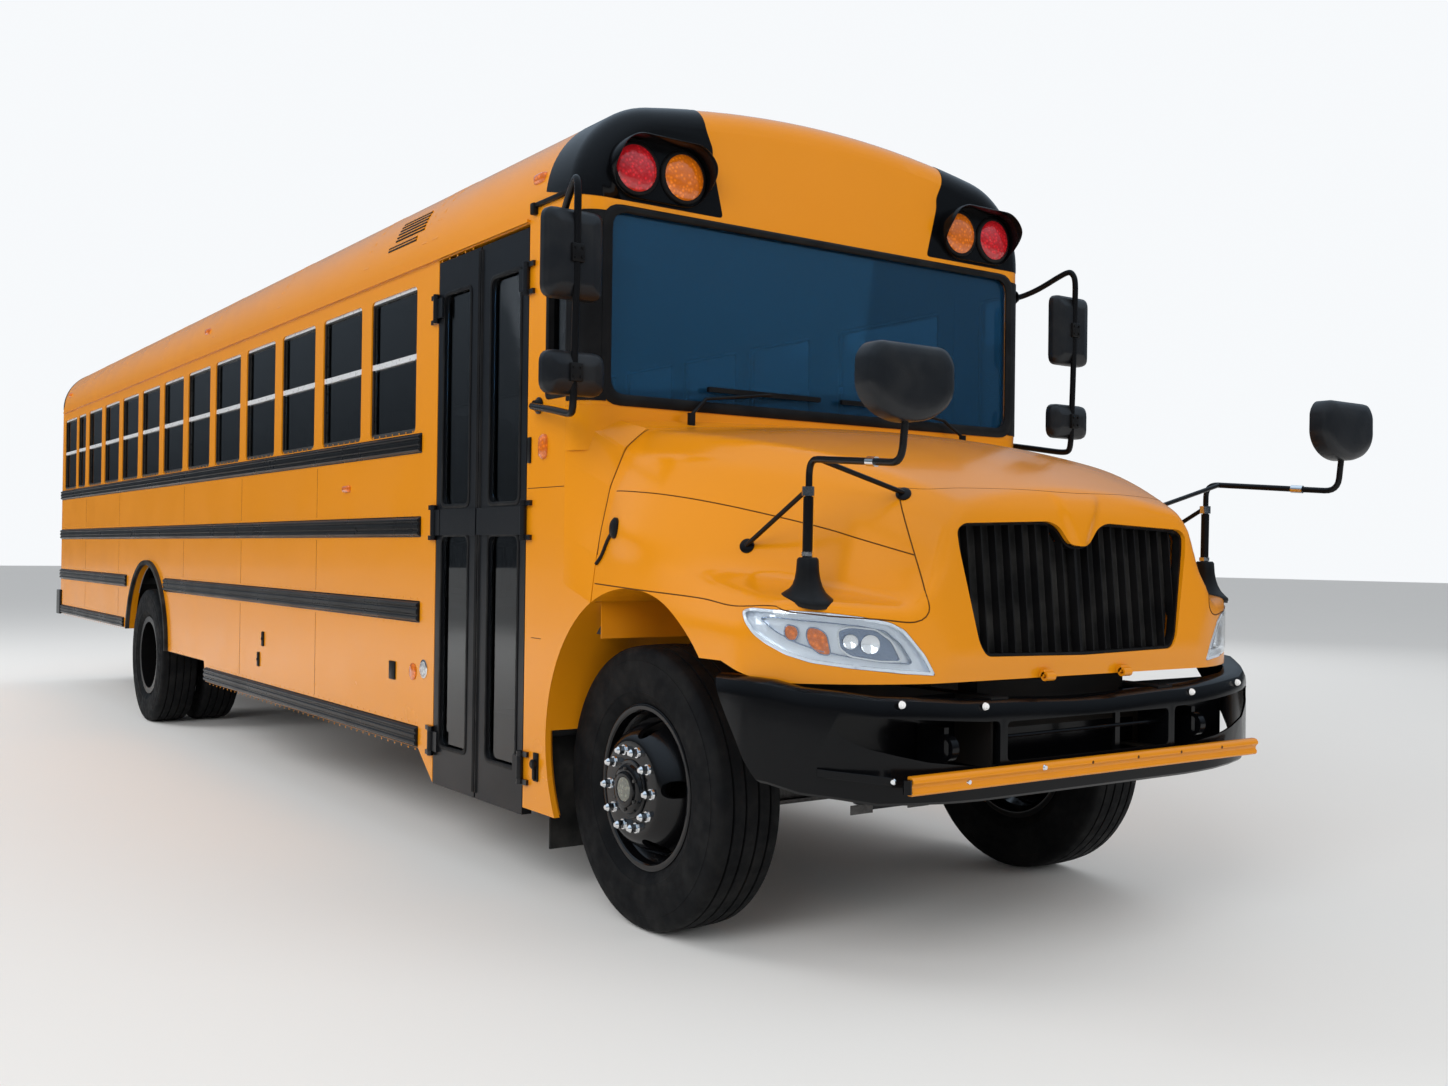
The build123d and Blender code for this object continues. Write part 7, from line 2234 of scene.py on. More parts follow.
    def glass(self, side: int) -> Thing:
        """Return the convex glass that looks back at the driver.

        Args:
            side: The side of the bus: -1 on the right, 1 on the left.

        Returns:
            The glass.
        """
        x = station(self.head[0])
        rows = ((-0.020, 0.945), (-0.030, 0.945), (-0.0335, 0.80), (-0.036, 0.55), (-0.0375, 0.25), (-0.038, 0.02))
        return smoothed(lofted("glass", [self.head_ring(side, x + d, s) for d, s in rows]), 60)


@dataclass
class WarningLamps:
    """The black panels at the roof's corners with their visors, domed lenses and rubber rings, and the tail lamps."""

    height: float = 2.887
    spots: tuple[tuple[str, float], ...] = (("amber", 0.767), ("red", 0.990))
    lens_radius: float = 0.094
    visor_radius: float = 0.119
    visor_deep: float = 0.092
    visor_shallow: float = 0.016
    panel_lift: float = 0.002
    # The black panel's edge on one side, as distance from the middle and height.
    edge = ((0.568, 2.757), (0.626, 2.986), (0.622, 3.027), (0.657, 3.102), (0.700, 3.40), (1.40, 3.40), (1.40, 2.757))
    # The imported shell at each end, its outer plane, the way out and how far the black reaches back.
    ends = (("front_frame", WINDSHIELD_X, 1, 0.300), ("rear_shell", REAR_X, -1, 0.130))
    # Each tail lamp's distance from the middle, height, radius and colour.
    tails = ((1.010, 1.560, 0.088, "red"), (1.010, 1.350, 0.088, "amber"), (1.010, 1.165, 0.070, "white"))

    def build(self) -> None:
        """Make the lamps at both ends."""
        black, rings = [], []
        lenses: dict[str, list[Thing]] = {"red": [], "amber": [], "white": []}
        for node, face, out, back in self.ends:
            black.append(self.panels(node, face, out, back))
            for side in SIDES:
                black.append(self.visor(face + out * self.panel_lift, out, side))
                for colour, y in self.spots:
                    place = (face + out * self.panel_lift, side * y, self.height)
                    lenses[colour].append(self.lens(place, out, self.lens_radius))
                    rings.append(self.ring(place, out, self.lens_radius))
        for side in SIDES:
            for y, z, radius, colour in self.tails:
                place = (REAR_X, side * y, z)
                lenses[colour].append(self.lens(place, -1, radius - 0.010))
                rings.append(self.ring(place, -1, radius - 0.010))
        fit(joined("warning_lamp_panels", black), "bus_body", "black_paint", SHOP.black, "lamp_housings")
        fit(joined("red_lamp_lenses", lenses["red"]), "bus_body", "lamp_plastic", SHOP.red_lens, "lamp_lenses")
        fit(joined("amber_lamp_lenses", lenses["amber"]), "bus_body", "lamp_plastic", SHOP.amber_lens)
        fit(joined("reversing_lamp_lenses", lenses["white"]), "bus_body", "lamp_plastic", SHOP.white_lens)
        fit(joined("lamp_rubber_rings", rings), "bus_body", "black_plastic", SHOP.gasket)

    def panels(self, node: str, face: float, out: int, back: float) -> Thing:
        """Return the thin black skin over both roof corners at one end.

        Args:
            node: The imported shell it's taken from.
            face: The end's outer plane.
            out: The way outwards along the axis: 1 or -1.
            back: How far the black reaches back.

        Returns:
            The skin.
        """
        skin = node_copy(node, "panel_skin")
        swell = skin.modifiers.new("outwards", "DISPLACE")
        swell.strength = self.panel_lift
        swell.mid_level = 0.0
        skin = applied(skin)
        areas = []
        for side in SIDES:
            outline = rounded_outline([(side * y, z) for y, z in self.edge], 0.02, 4)
            low, high = sorted((face - out * back, face + out * 0.05))
            areas.append(prism("panel_area", outline, low, high, "X"))
        skin = cut(skin, joined("panel_areas", areas), "INTERSECT")
        slope = [(-0.01 - back, 2.825), (-0.095, 2.772), (0.0, 2.757), (0.06, 2.757), (0.06, 3.5), (-0.01 - back, 3.5)]
        side_cut = prism("panel_side", [(face + out * x, z) for x, z in slope], -PAST_SIDE, PAST_SIDE, "Y")
        return smoothed(cut(skin, side_cut, "INTERSECT"), 30)

    def visor(self, face: float, out: int, side: int) -> Thing:
        """Return the hood that both lamps of one corner share, deep above and shallow below.

        Args:
            face: The plane it stands on.
            out: The way outwards along the axis: 1 or -1.
            side: The side of the bus: -1 on the right, 1 on the left.

        Returns:
            The visor.
        """
        near, far = self.spots[0][1], self.spots[1][1]
        loops = []
        for i in range(73):
            angle = math.tau * i / 72
            c, s = math.cos(angle), math.sin(angle)
            middle = far if c > 0 else near
            reach = self.visor_shallow + (self.visor_deep - self.visor_shallow) * eased((s + 0.75) / 1.25)
            outer = (side * (middle + c * self.visor_radius), self.height + s * self.visor_radius)
            slim = self.visor_radius - 0.005
            inner = (side * (middle + c * slim), self.height + s * slim)
            loops.append([(face - out * 0.004, *outer), (face + out * (reach - 0.003), *outer),
                          (face + out * reach, (outer[0] + inner[0]) / 2, (outer[1] + inner[1]) / 2),
                          (face + out * (reach - 0.003), *inner), (face - out * 0.004, *inner)])
        return smoothed(lofted("visor", loops, capped=False), 50)

    def lens(self, place: Point, out: int, radius: float) -> Thing:
        """Return a domed lens.

        Args:
            place: The place of its middle.
            out: The way outwards along the axis: 1 or -1.
            radius: The radius.

        Returns:
            The lens.
        """
        dome = [(-0.002, 0.0005), (-0.002, radius), (0.008, radius), (0.0125, radius * 0.97), (0.019, radius * 0.86),
                (0.0245, radius * 0.68), (0.0285, radius * 0.45), (0.0305, radius * 0.22), (0.031, 0.0005)]
        return smoothed(turned("lens", dome, place, "X", 40, out), 50)

    def ring(self, place: Point, out: int, radius: float) -> Thing:
        """Return the rubber ring around a lens.

        Args:
            place: The place of its middle.
            out: The way outwards along the axis: 1 or -1.
            radius: The radius.

        Returns:
            The rubber ring.
        """
        band = [(-0.002, radius - 0.003), (-0.002, radius + 0.014), (0.008, radius + 0.013), (0.0135, radius + 0.006),
                (0.0125, radius - 0.003)]
        return smoothed(turned("ring", band, place, "X", 40, out), 50)


@dataclass
class SideMirrors:
    """The flat and convex side mirrors on their bent tubes."""

    rod: float = 0.0138
    # The tube of the right side: station, distance from the middle and height.
    hoop = ((-0.300, 1.205, 2.655), (-0.300, 1.262, 2.660), (-0.215, 1.300, 2.690), (-0.085, 1.335, 2.752),
            (-0.050, 1.345, 2.758), (-0.026, 1.351, 2.720), (-0.034, 1.350, 2.250), (-0.045, 1.350, 1.910),
            (-0.070, 1.345, 1.892), (-0.300, 1.300, 1.930), (-0.560, 1.262, 1.968), (-0.560, 1.205, 1.972))
    # The section of the flange at each end of the tube.
    flange = ((1.2185, 0.0005), (1.2185, 0.034), (1.224, 0.034), (1.228, 0.026), (1.246, 0.019), (1.246, 0.0005))
    # Each head's reach across, height range and how round its corners are.
    heads = ((1.227, 1.473, 2.310, 2.640, 0.045), (1.215, 1.473, 1.960, 2.122, 0.050))
    face: float = -0.082

    def build(self) -> None:
        """Make both sides' tubes, shells, glasses and clamps."""
        tubes, shells, glasses, clamps = [], [], [], []
        for side in SIDES:
            path = bent_path(placed(self.hoop, side), 0.06, 8)
            tubes.append(tube("hoop", path, self.rod, sides=3))
            for index in (0, -1):
                x, _, z = self.hoop[index]
                tubes.append(smoothed(turned("flange", self.flange, (station(x), 0.0, z), "Y", 24, side)))
            for inner, outer, low, high, corner in self.heads:
                shells.append(self.shell(side, inner, outer, low, high, corner))
                glasses.append(self.glass(side, inner, outer, low, high, corner))
                clamps += self.clamp(side, (low + high) / 2)
        fit(joined("side_mirror_tubes", tubes), "bus_body", "black_plastic", SHOP.rail_black, "side_mirrors")
        fit(joined("side_mirror_shells", shells), "bus_body", "black_plastic", SHOP.mirror_shell)
        fit(joined("side_mirror_glasses", glasses), "bus_body", "black_plastic", SHOP.mirror)
        fit(joined("side_mirror_clamps", clamps), "bus_body", "black_plastic", SHOP.black_plastic)

    def loop(self, side: int, x: float, inner: float, outer: float, low: float, high: float, corner: float,
             inset: float) -> list[Point]:
        """Return a head's outline at a station, moved inwards."""
        flat = box_outline((inner + inset, outer - inset), (low + inset, high - inset), max(0.008, corner - inset), 5)
        return [(station(x), side * y, z) for y, z in flat]

    def shell(self, side: int, *head: float) -> Thing:
        """Return a head's moulded shell, with a flat nose and sloping sides.

        Args:
            side: The side of the bus: -1 on the right, 1 on the left.
            *head: The head's row of the table.

        Returns:
            The shell.
        """
        rows = ((self.face, 0.0), (-0.060, 0.001), (-0.050, 0.004), (-0.0385, 0.020), (-0.0305, 0.044),
                (-0.0275, 0.052), (-0.0270, 0.058), (-0.0265, 0.075))
        inside = ((-0.064, 0.070), (-0.064, 0.010), (self.face, 0.007))
        rings = [self.loop(side, x, *head, inset) for x, inset in (*rows, *inside)]
        nose, hollow = rings[:len(rows)][::-1], rings[len(rows):][::-1]
        return smoothed(lofted("shell", nose + hollow), 42)

    def glass(self, side: int, *head: float) -> Thing:
        """Return a head's mirror glass."""
        rows = ((-0.064, 0.0105), (-0.0785, 0.0105), (-0.0800, 0.014), (-0.0805, 0.060))
        return smoothed(lofted("glass", [self.loop(side, x, *head, inset) for x, inset in rows]), 42)

    def clamp(self, side: int, z: float) -> list[Thing]:
        """Return the clamp that holds a head to the tube, with its bolts.

        Args:
            side: The side of the bus: -1 on the right, 1 on the left.
            z: Its height.

        Returns:
            The clamp and its bolts.
        """
        x, y = station(-0.030), side * 1.350
        body = bevelled(block("clamp", (x - 0.006, y - 0.026, z - 0.034), (x + 0.016, y + 0.026, z + 0.034)), 0.004)
        spots = [((x + 0.0155, y + dy, z + dz), (1.0, 0.0, 0.0)) for dy in (-0.015, 0.015) for dz in (-0.018, 0.018)]
        return [body, STUDS.set_on("clamp_bolts", spots, 0.006, 0.005, SHOP.black_plastic, 6, 0.9)]


# ---- bumper and crossing gate ----


@dataclass
class Bumper:
    """The pressed front bumper with its openings and bolts, and the crossing gate's arm."""

    # Plan of the outer face on one side: station and distance from the middle.
    flat: Flat = (1.222, 0.700)
    corner = ((0.690, 1.243), (0.790, 1.244), (0.880, 1.240), (0.960, 1.208), (1.040, 1.140), (1.115, 1.046),
              (1.172, 0.935), (1.205, 0.820), (1.222, 0.700))
    # Distance from the middle, height of the foot and height of the top lip.
    heights = ((0.0, 0.600, 0.914), (0.50, 0.600, 0.928), (0.90, 0.612, 0.952), (1.10, 0.640, 0.972),
               (1.244, 0.682, 1.003))
    # Distance in from the outer face, and height above the foot (positive) or below the lip (negative).
    section = ((0.040, 0.0), (0.012, 0.001), (0.002, 0.010), (0.0, 0.028), (0.0, -0.060), (0.003, -0.036),
               (0.012, -0.014), (0.026, -0.003), (0.042, 0.0), (0.085, -0.002), (0.085, -0.010), (0.044, -0.009),
               (0.030, -0.012), (0.019, -0.022), (0.012, -0.040), (0.009, -0.062), (0.009, 0.030), (0.012, 0.016),
               (0.040, 0.009))
    opening = ((1.060, 0.885), (1.052, 0.842), (1.018, 0.816), (0.963, 0.792), (0.870, 0.768), (0.762, 0.743),
               (0.522, 0.712), (0.452, 0.708), (0.452, 0.856), (0.522, 0.858), (0.870, 0.884), (1.030, 0.897))
    # What the slanted rear edge cuts away, as stations and heights.
    rear_slope = ((0.60, 1.30), (0.694, 1.020), (0.756, 0.921), (0.841, 0.803), (0.896, 0.723), (0.935, 0.670),
                  (0.935, 0.50), (0.60, 0.50))
    valance = ((-0.90, 0.592), (0.90, 0.592), (0.94, 0.61), (0.94, 0.66), (-0.94, 0.66), (-0.94, 0.61))
    tow_hole = ((0.625, 0.030), (0.625, 0.044), (0.655, 0.044), (0.655, 0.030))
    divider_y: float = 0.436
    tow_y: float = 0.640
    bolts = ((-0.865, 0.928), (-0.521, 0.907), (0.553, 0.903), (0.865, 0.922))

    def build(self) -> None:
        """Make the bumper, its inner bars, bolts, valance and the gate."""
        fit(self.pressing(), "bus_body", "black_paint", SHOP.black, "front_bumper")
        self.inner_parts()
        self.gate()

    def plan(self, inset: float) -> list[Flat]:
        """Return the plan from the right end to the left, moved inwards.

        Args:
            inset: How far inwards.

        Returns:
            The plan's points.
        """
        middle = [(self.flat[0], self.flat[1] * (1 - i / 8)) for i in range(1, 8)]
        half = smooth_path([(x, y, 0.0) for x, y in self.corner], 5)
        half = [(x, y) for x, y, _ in half] + middle
        whole = [(x, -y) for x, y in half] + [(self.flat[0], 0.0)] + [(x, y) for x, y in reversed(half)]
        result = []
        for i, here in enumerate(whole):
            before, after = Vector(whole[max(0, i - 1)]), Vector(whole[min(len(whole) - 1, i + 1)])
            along = (after - before).normalized()
            result.append((here[0] - along.y * inset, here[1] + along.x * inset))
        return result

    def level(self, y: float, column: int) -> float:
        """Return the height of the foot or the lip at a distance from the middle.

        Args:
            y: The distance from the middle.
            column: 1 for the foot, 2 for the lip.

        Returns:
            The height.
        """
        y = min(abs(y), self.heights[-1][0])
        for a, b in zip(self.heights, self.heights[1:]):
            if y <= b[0]:
                return a[column] + (b[column] - a[column]) * eased((y - a[0]) / (b[0] - a[0]))
        return self.heights[-1][column]

    def pressing(self) -> Thing:
        """Return the bumper's sheet with its openings.

        Returns:
            The sheet.
        """
        outer = self.plan(0.0)
        plans = [self.plan(inset) for inset, _ in self.section]
        rings = []
        for i, (_, y) in enumerate(outer):
            ring = []
            for number, (inset, rise) in enumerate(self.section):
                x, across = plans[number][i]
                at_lip = 4 <= number <= 15
                z = self.level(y, 2 if at_lip else 1) + rise
                ring.append((station(x), across, z))
            rings.append(ring)
        sheet = lofted("bumper", rings)
        tools = [lengthwise("recess", box_outline((-0.418, 0.418), (0.722, 0.852), 0.02), 1.1, 1.3)]
        for side in SIDES:
            shape = rounded_outline([(side * y, z) for y, z in self.opening], 0.02, 4)
            tools.append(lengthwise("opening", shape, 0.85, 1.3))
        tools.append(crossing("rear_edge", self.rear_slope))
        for tool in tools:
            sheet = cut(sheet, tool)
        return smoothed(sheet, 28)

    def inner_parts(self) -> None:
        """Make the bolts and what shows through the openings."""
        face = station(self.flat[0])
        spots = []
        for y, z in self.bolts:
            x = face if abs(y) < 0.7 else face - 0.022
            spots.append(((x - 0.003, y, z), (1.0, 0.0, 0.05)))
        washers = STUDS.set_on("bumper_washers", spots, 0.013, 0.008, SHOP.chrome, 16, 0.8)
        heads = STUDS.set_on("bumper_heads", [(tuple(Vector(p) + Vector(d) * 0.007), d) for p, d in spots], 0.008,
                             0.006, SHOP.chrome, 6, 0.8)
        fit(joined("bumper_bolts", [washers, heads]), "bus_body", "black_paint")
        back = station(1.175)
        bars = [tube("bar", [(back, -0.42, 0.795), (back, 0.42, 0.801)], 0.007),
                block("post", (back - 0.012, 0.180, 0.70), (back, 0.205, 0.86)),
                block("cross_plate", (station(1.025), -1.00, 0.640), (station(1.030), 1.00, 0.930)),
                self.strap()]
        for side in SIDES:
            y = side * self.divider_y
            bars.append(block("divider", (back - 0.10, y - 0.004, 0.66), (back + 0.036, y + 0.004, 0.88)))
            y = side * self.tow_y
            bars.append(block("tow_plate", (station(1.040), y - 0.010, 0.68), (station(1.165), y + 0.010, 0.84)))
            hole = turned("tow_hole", self.tow_hole, (station(1.165), 0.0, 0.775), "Y", 24, side)
            bars.append(smoothed(hole))
        bars.append(lengthwise("valance", self.valance, 1.06, 1.10))
        fit(smoothed(joined("bumper_inner_bars", bars)), "bus_body", "black_paint", SHOP.black)
        plates = [block("plate", (station(1.099), y - 0.045, 0.583), (station(1.103), y + 0.045, 0.612))
                  for y in (-0.94, -0.70)]
        fit(joined("valance_plates", plates), "bus_body", "chassis_paint", SHOP.cast)

    def strap(self) -> Thing:
        """Return the flat strap from the bumper's corner to the gate's pivot.

        Returns:
            The strap.
        """
        rings = []
        path = ((1.078, -1.102, 0.722), (1.108, -1.083, 0.719), (1.170, -1.010, 0.711), (1.236, -0.936, 0.702))
        for x, y, z in path:
            rings.append([(station(x) + 0.63 * d, y - 0.77 * d, z + h)
                          for d, h in ((0.0, -0.012), (0.006, -0.012), (0.006, 0.012), (0.0, 0.012))])
        return bevelled(lofted("strap", rings), 0.001, 1, 40)

    def gate(self) -> None:
        """Make the gate's pressed arm with its bolt, and flat dark discs that paint the shade in each hole."""
        x = station(1.249)
        section = ((0.0, 0.656), (0.0, 0.716), (0.014, 0.716), (0.023, 0.712), (0.028, 0.704), (0.028, 0.696),
                   (0.021, 0.689), (0.018, 0.684), (0.018, 0.676), (0.023, 0.670), (0.023, 0.661), (0.018, 0.656))
        rings = [[(x + out, y, z) for out, z in section] for y in (-0.886, 0.886)]
        arm = bevelled(lofted("arm", rings), 0.0015, 1, 50)
        fit(arm, "crossing_gate", "yellow_paint", SHOP.yellow, "crossing_gate")
        eye = smoothed(turned("eye", [(0.664, 0.0084), (0.664, 0.014), (0.708, 0.014), (0.708, 0.0084)],
                              (station(1.265), -0.900, 0.0), "Z", 24))
        tongue = block("tongue", (x + 0.004, -0.894, 0.666), (x + 0.012, -0.870, 0.705))
        fit(joined("gate_eye", [eye, tongue]), "crossing_gate", "black_paint", SHOP.black)
        spots = [((x + 0.0175, -0.640, 0.680), (1.0, 0.0, 0.0)), ((x + 0.0275, -0.300, 0.700), (1.0, 0.0, 0.0)),
                 ((station(1.240), -0.936, 0.702), (0.63, -0.77, 0.0))]
        bolt = STUDS.set_on("gate_bolts", spots, 0.010, 0.006, SHOP.chrome, 12, 0.7)
        fit(bolt, "crossing_gate", "cast_parts")
        # Flat discs in the shaded seam finish: painted shade where the arm's holes are.
        hole_shade_spots = [((x + 0.0275, y, 0.699), (1.0, 0.0, 0.0)) for y in (-0.06, 0.18, 0.42, 0.66)]
        fit(STUDS.set_on("gate_holes", hole_shade_spots, 0.006, 0.001, SHOP.seam, 12, 0.9), "crossing_gate", "black_plastic")


# ---- body trim ----


@dataclass
class FrontTrim:
    """The rubber around the windshield and corner panes, the cowl's fascia and the drip strip at the cap."""

    corner: float = 0.110
    half: float = 1.100
    low: float = 1.990
    high: float = 2.720

    def build(self) -> None:
        """Make every trim piece."""
        outer = box_outline((-self.half - 0.030, self.half + 0.030), (self.low - 0.032, self.high + 0.018), 0.085)
        inner = box_outline((-self.half + 0.012, self.half - 0.012), (self.low + 0.012, self.high - 0.012), 0.065)
        rubber = [frame_band("gasket", outer, inner, WINDSHIELD_X - 0.004, WINDSHIELD_X + 0.009, "X")]
        panes = []
        for side in SIDES:
            rubber.append(self.corner_cover(side))
            outer = box_outline((station(-0.508), station(-0.322)), (1.990, 2.682), 0.03)
            inner = box_outline((station(-0.484), station(-0.346)), (2.018, 2.650), 0.02)
            rubber.append(frame_band("gasket", outer, inner, side * (SKIN_Y - 0.003), side * (SKIN_Y + 0.006), "Y"))
            jamb = box_outline((station(-0.4895), station(-0.3305)), (2.0105, 2.6595), 0.02)
            rubber.append(frame_band("jamb", jamb, inset_outline(jamb, 0.006), side * 1.1745, side * 1.2185, "Y"))
            pane = prism("pane", inset_outline(jamb, 0.002), side * 1.192, side * 1.198, "Y")
            panes.append(smoothed(pane, 30))
            drip = block("drip", (station(-0.602), side * 1.214, 2.772), (station(-0.300), side * 1.236, 2.790))
            end = block("drip_end", (station(-0.622), side * 1.214, 2.744), (station(-0.590), side * 1.243, 2.792))
            rubber += [bevelled(drip, 0.004), bevelled(end, 0.006)]
        fit(joined("windshield_rubber", rubber), "bus_body", "black_plastic", SHOP.gasket)
        fit(joined("corner_panes", panes), "bus_body", "clear_glass", SHOP.window)
        turns = [math.pi / 2 * i / 8 for i in range(9)]
        arc = [(WINDSHIELD_X - self.corner + math.sin(a) * (self.corner - 0.001),
                SKIN_Y - self.corner + math.cos(a) * (self.corner - 0.001)) for a in turns]
        plan = [(station(-0.36), SKIN_Y - 0.001), *arc]
        plan += [(x, -y) for x, y in reversed(plan)]
        fascia = prism("cowl_fascia", plan, 1.780, 1.968, "Z")
        fit(smoothed(fascia, 30), "bus_body", "yellow_paint", SHOP.yellow)

    def corner_cover(self, side: int) -> Thing:
        """Return the black cover around the corner post between the windshield and the corner pane.

        Args:
            side: The side of the bus: -1 on the right, 1 on the left.

        Returns:
            The cover.
        """
        center = (WINDSHIELD_X - self.corner, SKIN_Y - self.corner)
        rings = []
        for i in range(13):
            angle = math.pi / 2 * i / 12
            c, s = math.cos(angle), math.sin(angle)
            inner, outer = self.corner - 0.002, self.corner + 0.004
            near = (center[0] + c * outer, side * (center[1] + s * outer))
            far = (center[0] + c * inner, side * (center[1] + s * inner))
            rings.append([(*near, 1.972), (*near, 2.706), (*far, 2.706), (*far, 1.972)])
        return smoothed(lofted("corner_cover", rings), 30)


@dataclass
class SideTrim:
    """Ribbed rub rails, rivets, seams, roof louvres, marker lamps and latches of the body's sides."""

    skin: float = SKIN_Y
    # Each rail's height range and its front and rear stations.
    rails = ((1.845, 1.940, -1.735, -10.975), (1.448, 1.547, -1.735, -10.975), (1.046, 1.148, -1.735, -6.650),
             (1.046, 1.148, -7.950, -10.975), (0.462, 0.560, -1.735, -5.455), (0.702, 0.787, -8.030, -10.900))
    # One rib across a rail: share of the height, and how far out.
    rib = ((0.0, 0.0015), (0.05, 0.0025), (0.10, 0.0135), (0.16, 0.0175), (0.24, 0.0175), (0.30, 0.0115),
           (0.36, 0.0115), (0.42, 0.0175), (0.58, 0.0175), (0.64, 0.0115), (0.70, 0.0115), (0.76, 0.0175),
           (0.84, 0.0175), (0.90, 0.0135), (0.95, 0.0025), (1.0, 0.0015))
    roof_seams = (-1.630, -1.750, -2.505, -3.955, -5.405, -6.855, -8.305, -9.755)
    wall_seams = (-3.200, -4.650, -6.100, -8.275, -9.725)
    pillar_first: float = -1.750
    pitch: float = 0.725
    pillar_count: int = 12
    # The rivets' pitch along rails and seams, their pitch up the posts, and their distance from a rail's edge.
    rivet_pitch: float = 0.085
    post_pitch: float = 0.083
    rivet_edge: float = 0.011
    rivet_size: Flat = (0.0056, 0.0019)
    drip_height: float = 2.712
    # The seam over the rear wheel has no panel below the rails.
    arch_seam: float = -6.100
    # Height ranges of the panels, then of the lowest one: its foot ahead of and behind the rear wheel, and its top.
    rivet_rows = ((1.565, 1.83), (1.165, 1.43))
    rivet_foot: Point = (0.60, 0.83, 1.03)
    seam_rows = ((1.560, 1.833), (1.160, 1.436))
    seam_foot: Point = (0.575, 0.80, 1.034)
    latches = ((-4.150, 0.830), (-4.235, 0.700))
    louvres = (2.872, 2.886, 2.914, 2.932, 2.950, 2.968, 2.986, 3.003)

    def __post_init__(self) -> None:
        """Read the roof that rivets and laps are laid on."""
        self.roof = Skin(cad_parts["roof"], (0, 0, -1))

    def build(self) -> None:
        """Make every trim piece of both sides."""
        self.make_rails()
        self.make_rivets()
        self.make_seams()
        self.make_louvres()
        self.make_lamps()

    def rail_runs(self, side: int) -> list[tuple[float, float, float, float]]:
        """Return the rails of one side; the driver's side has the long ones reach the cab.

        Args:
            side: The side of the bus: -1 on the right, 1 on the left.

        Returns:
            Each rail's heights and stations.
        """
        runs = []
        for low, high, front, rear in self.rails:
            if side == 1 and front == -1.735:
                front = -0.720
            runs.append((low, high, front, rear))
        return runs

    def panel_rows(self, x: float, rows: Sequence[Flat], foot: Point) -> list[Flat]:
        """Return the height ranges of the panels that meet at one wall seam.

        Args:
            x: The seam's station.
            rows: The upper panels' ranges.
            foot: The lowest panel's two feet and its top.

        Returns:
            The height ranges.
        """
        if x == self.arch_seam:
            return list(rows)
        ahead, behind, top = foot
        return [*rows, (ahead if x > self.arch_seam else behind, top)]

    def roof_spot(self, x: float, y: float) -> tuple[Vector, Vector] | None:
        """Return the roof's spot above a place and the normal there, or None beside the roof."""
        height = self.roof.down(x, y)
        return None if height is None else self.roof.nearest((x, y, height))

    def make_rails(self) -> None:
        """Make the ribbed rails."""
        parts = []
        for side in SIDES:
            for low, high, front, rear in self.rail_runs(side):
                ring = [(side * (self.skin + out), low + (high - low) * share) for share, out in self.rib]
                ring += [(side * (self.skin - 0.001), high), (side * (self.skin - 0.001), low)]
                slim = [(side * (self.skin + (abs(y) - self.skin) * 0.55), low + (high - low) * 0.5
                         + (z - low - (high - low) * 0.5) * 0.93) for y, z in ring]
                rings = []
                for x, shape in ((front, slim), (front - 0.006, ring), (rear + 0.006, ring), (rear, slim)):
                    rings.append([(station(x), y, z) for y, z in shape])
                parts.append(smoothed(lofted("rail", rings), 32))
        fit(joined("ribbed_rub_rails", parts), "bus_body", "black_paint", SHOP.rail_black, "rub_rails")

    def make_rivets(self) -> None:
        """Set the rivets along the rails, the window posts, the drip rail and the roof's seams."""
        spots: list[tuple[Point, Point]] = []
        for side in SIDES:
            out = (0.0, float(side), 0.0)
            for low, high, front, rear in self.rail_runs(side):
                count = int((front - rear) / self.rivet_pitch)
                for z in (low - self.rivet_edge, high + self.rivet_edge):
                    spots += [((station(front - 0.03 - self.rivet_pitch * i), side * self.skin, z), out)
                              for i in range(count)]
            for i in range(1, self.pillar_count):
                x = station(self.pillar_first - self.pitch * i)
                for row in range(9):
                    z = 1.985 + self.post_pitch * row
                    spots += [((x + dx, side * self.skin, z), out) for dx in (-0.042, 0.042)]
            count = 118 if side < 0 else 124
            front = -1.20 if side < 0 else -0.70
            spots += [((station(front - self.post_pitch * i), side * self.skin, self.drip_height), out)
                      for i in range(count)]
            for x in self.wall_seams:
                for low, high in self.panel_rows(x, self.rivet_rows, self.rivet_foot):
                    rows = int((high - low) / self.rivet_pitch)
                    spots += [((station(x) + 0.014, side * self.skin, low + 0.03 + self.rivet_pitch * r), out)
                              for r in range(rows)]
        places = [(station(x) + dx, -1.19 + self.rivet_pitch * i)
                  for x in self.roof_seams for i in range(29) for dx in (-0.016, 0.016)]
        for found in (self.roof_spot(x, y) for x, y in places):
            if found:
                spot, normal = found
                spots.append((tuple(spot - normal * 0.0004), tuple(normal)))
        rivets = STUDS.set_on("body_rivets", spots, *self.rivet_size, SHOP.yellow, 6, 0.5)
        fit(rivets, "bus_body", "yellow_paint")

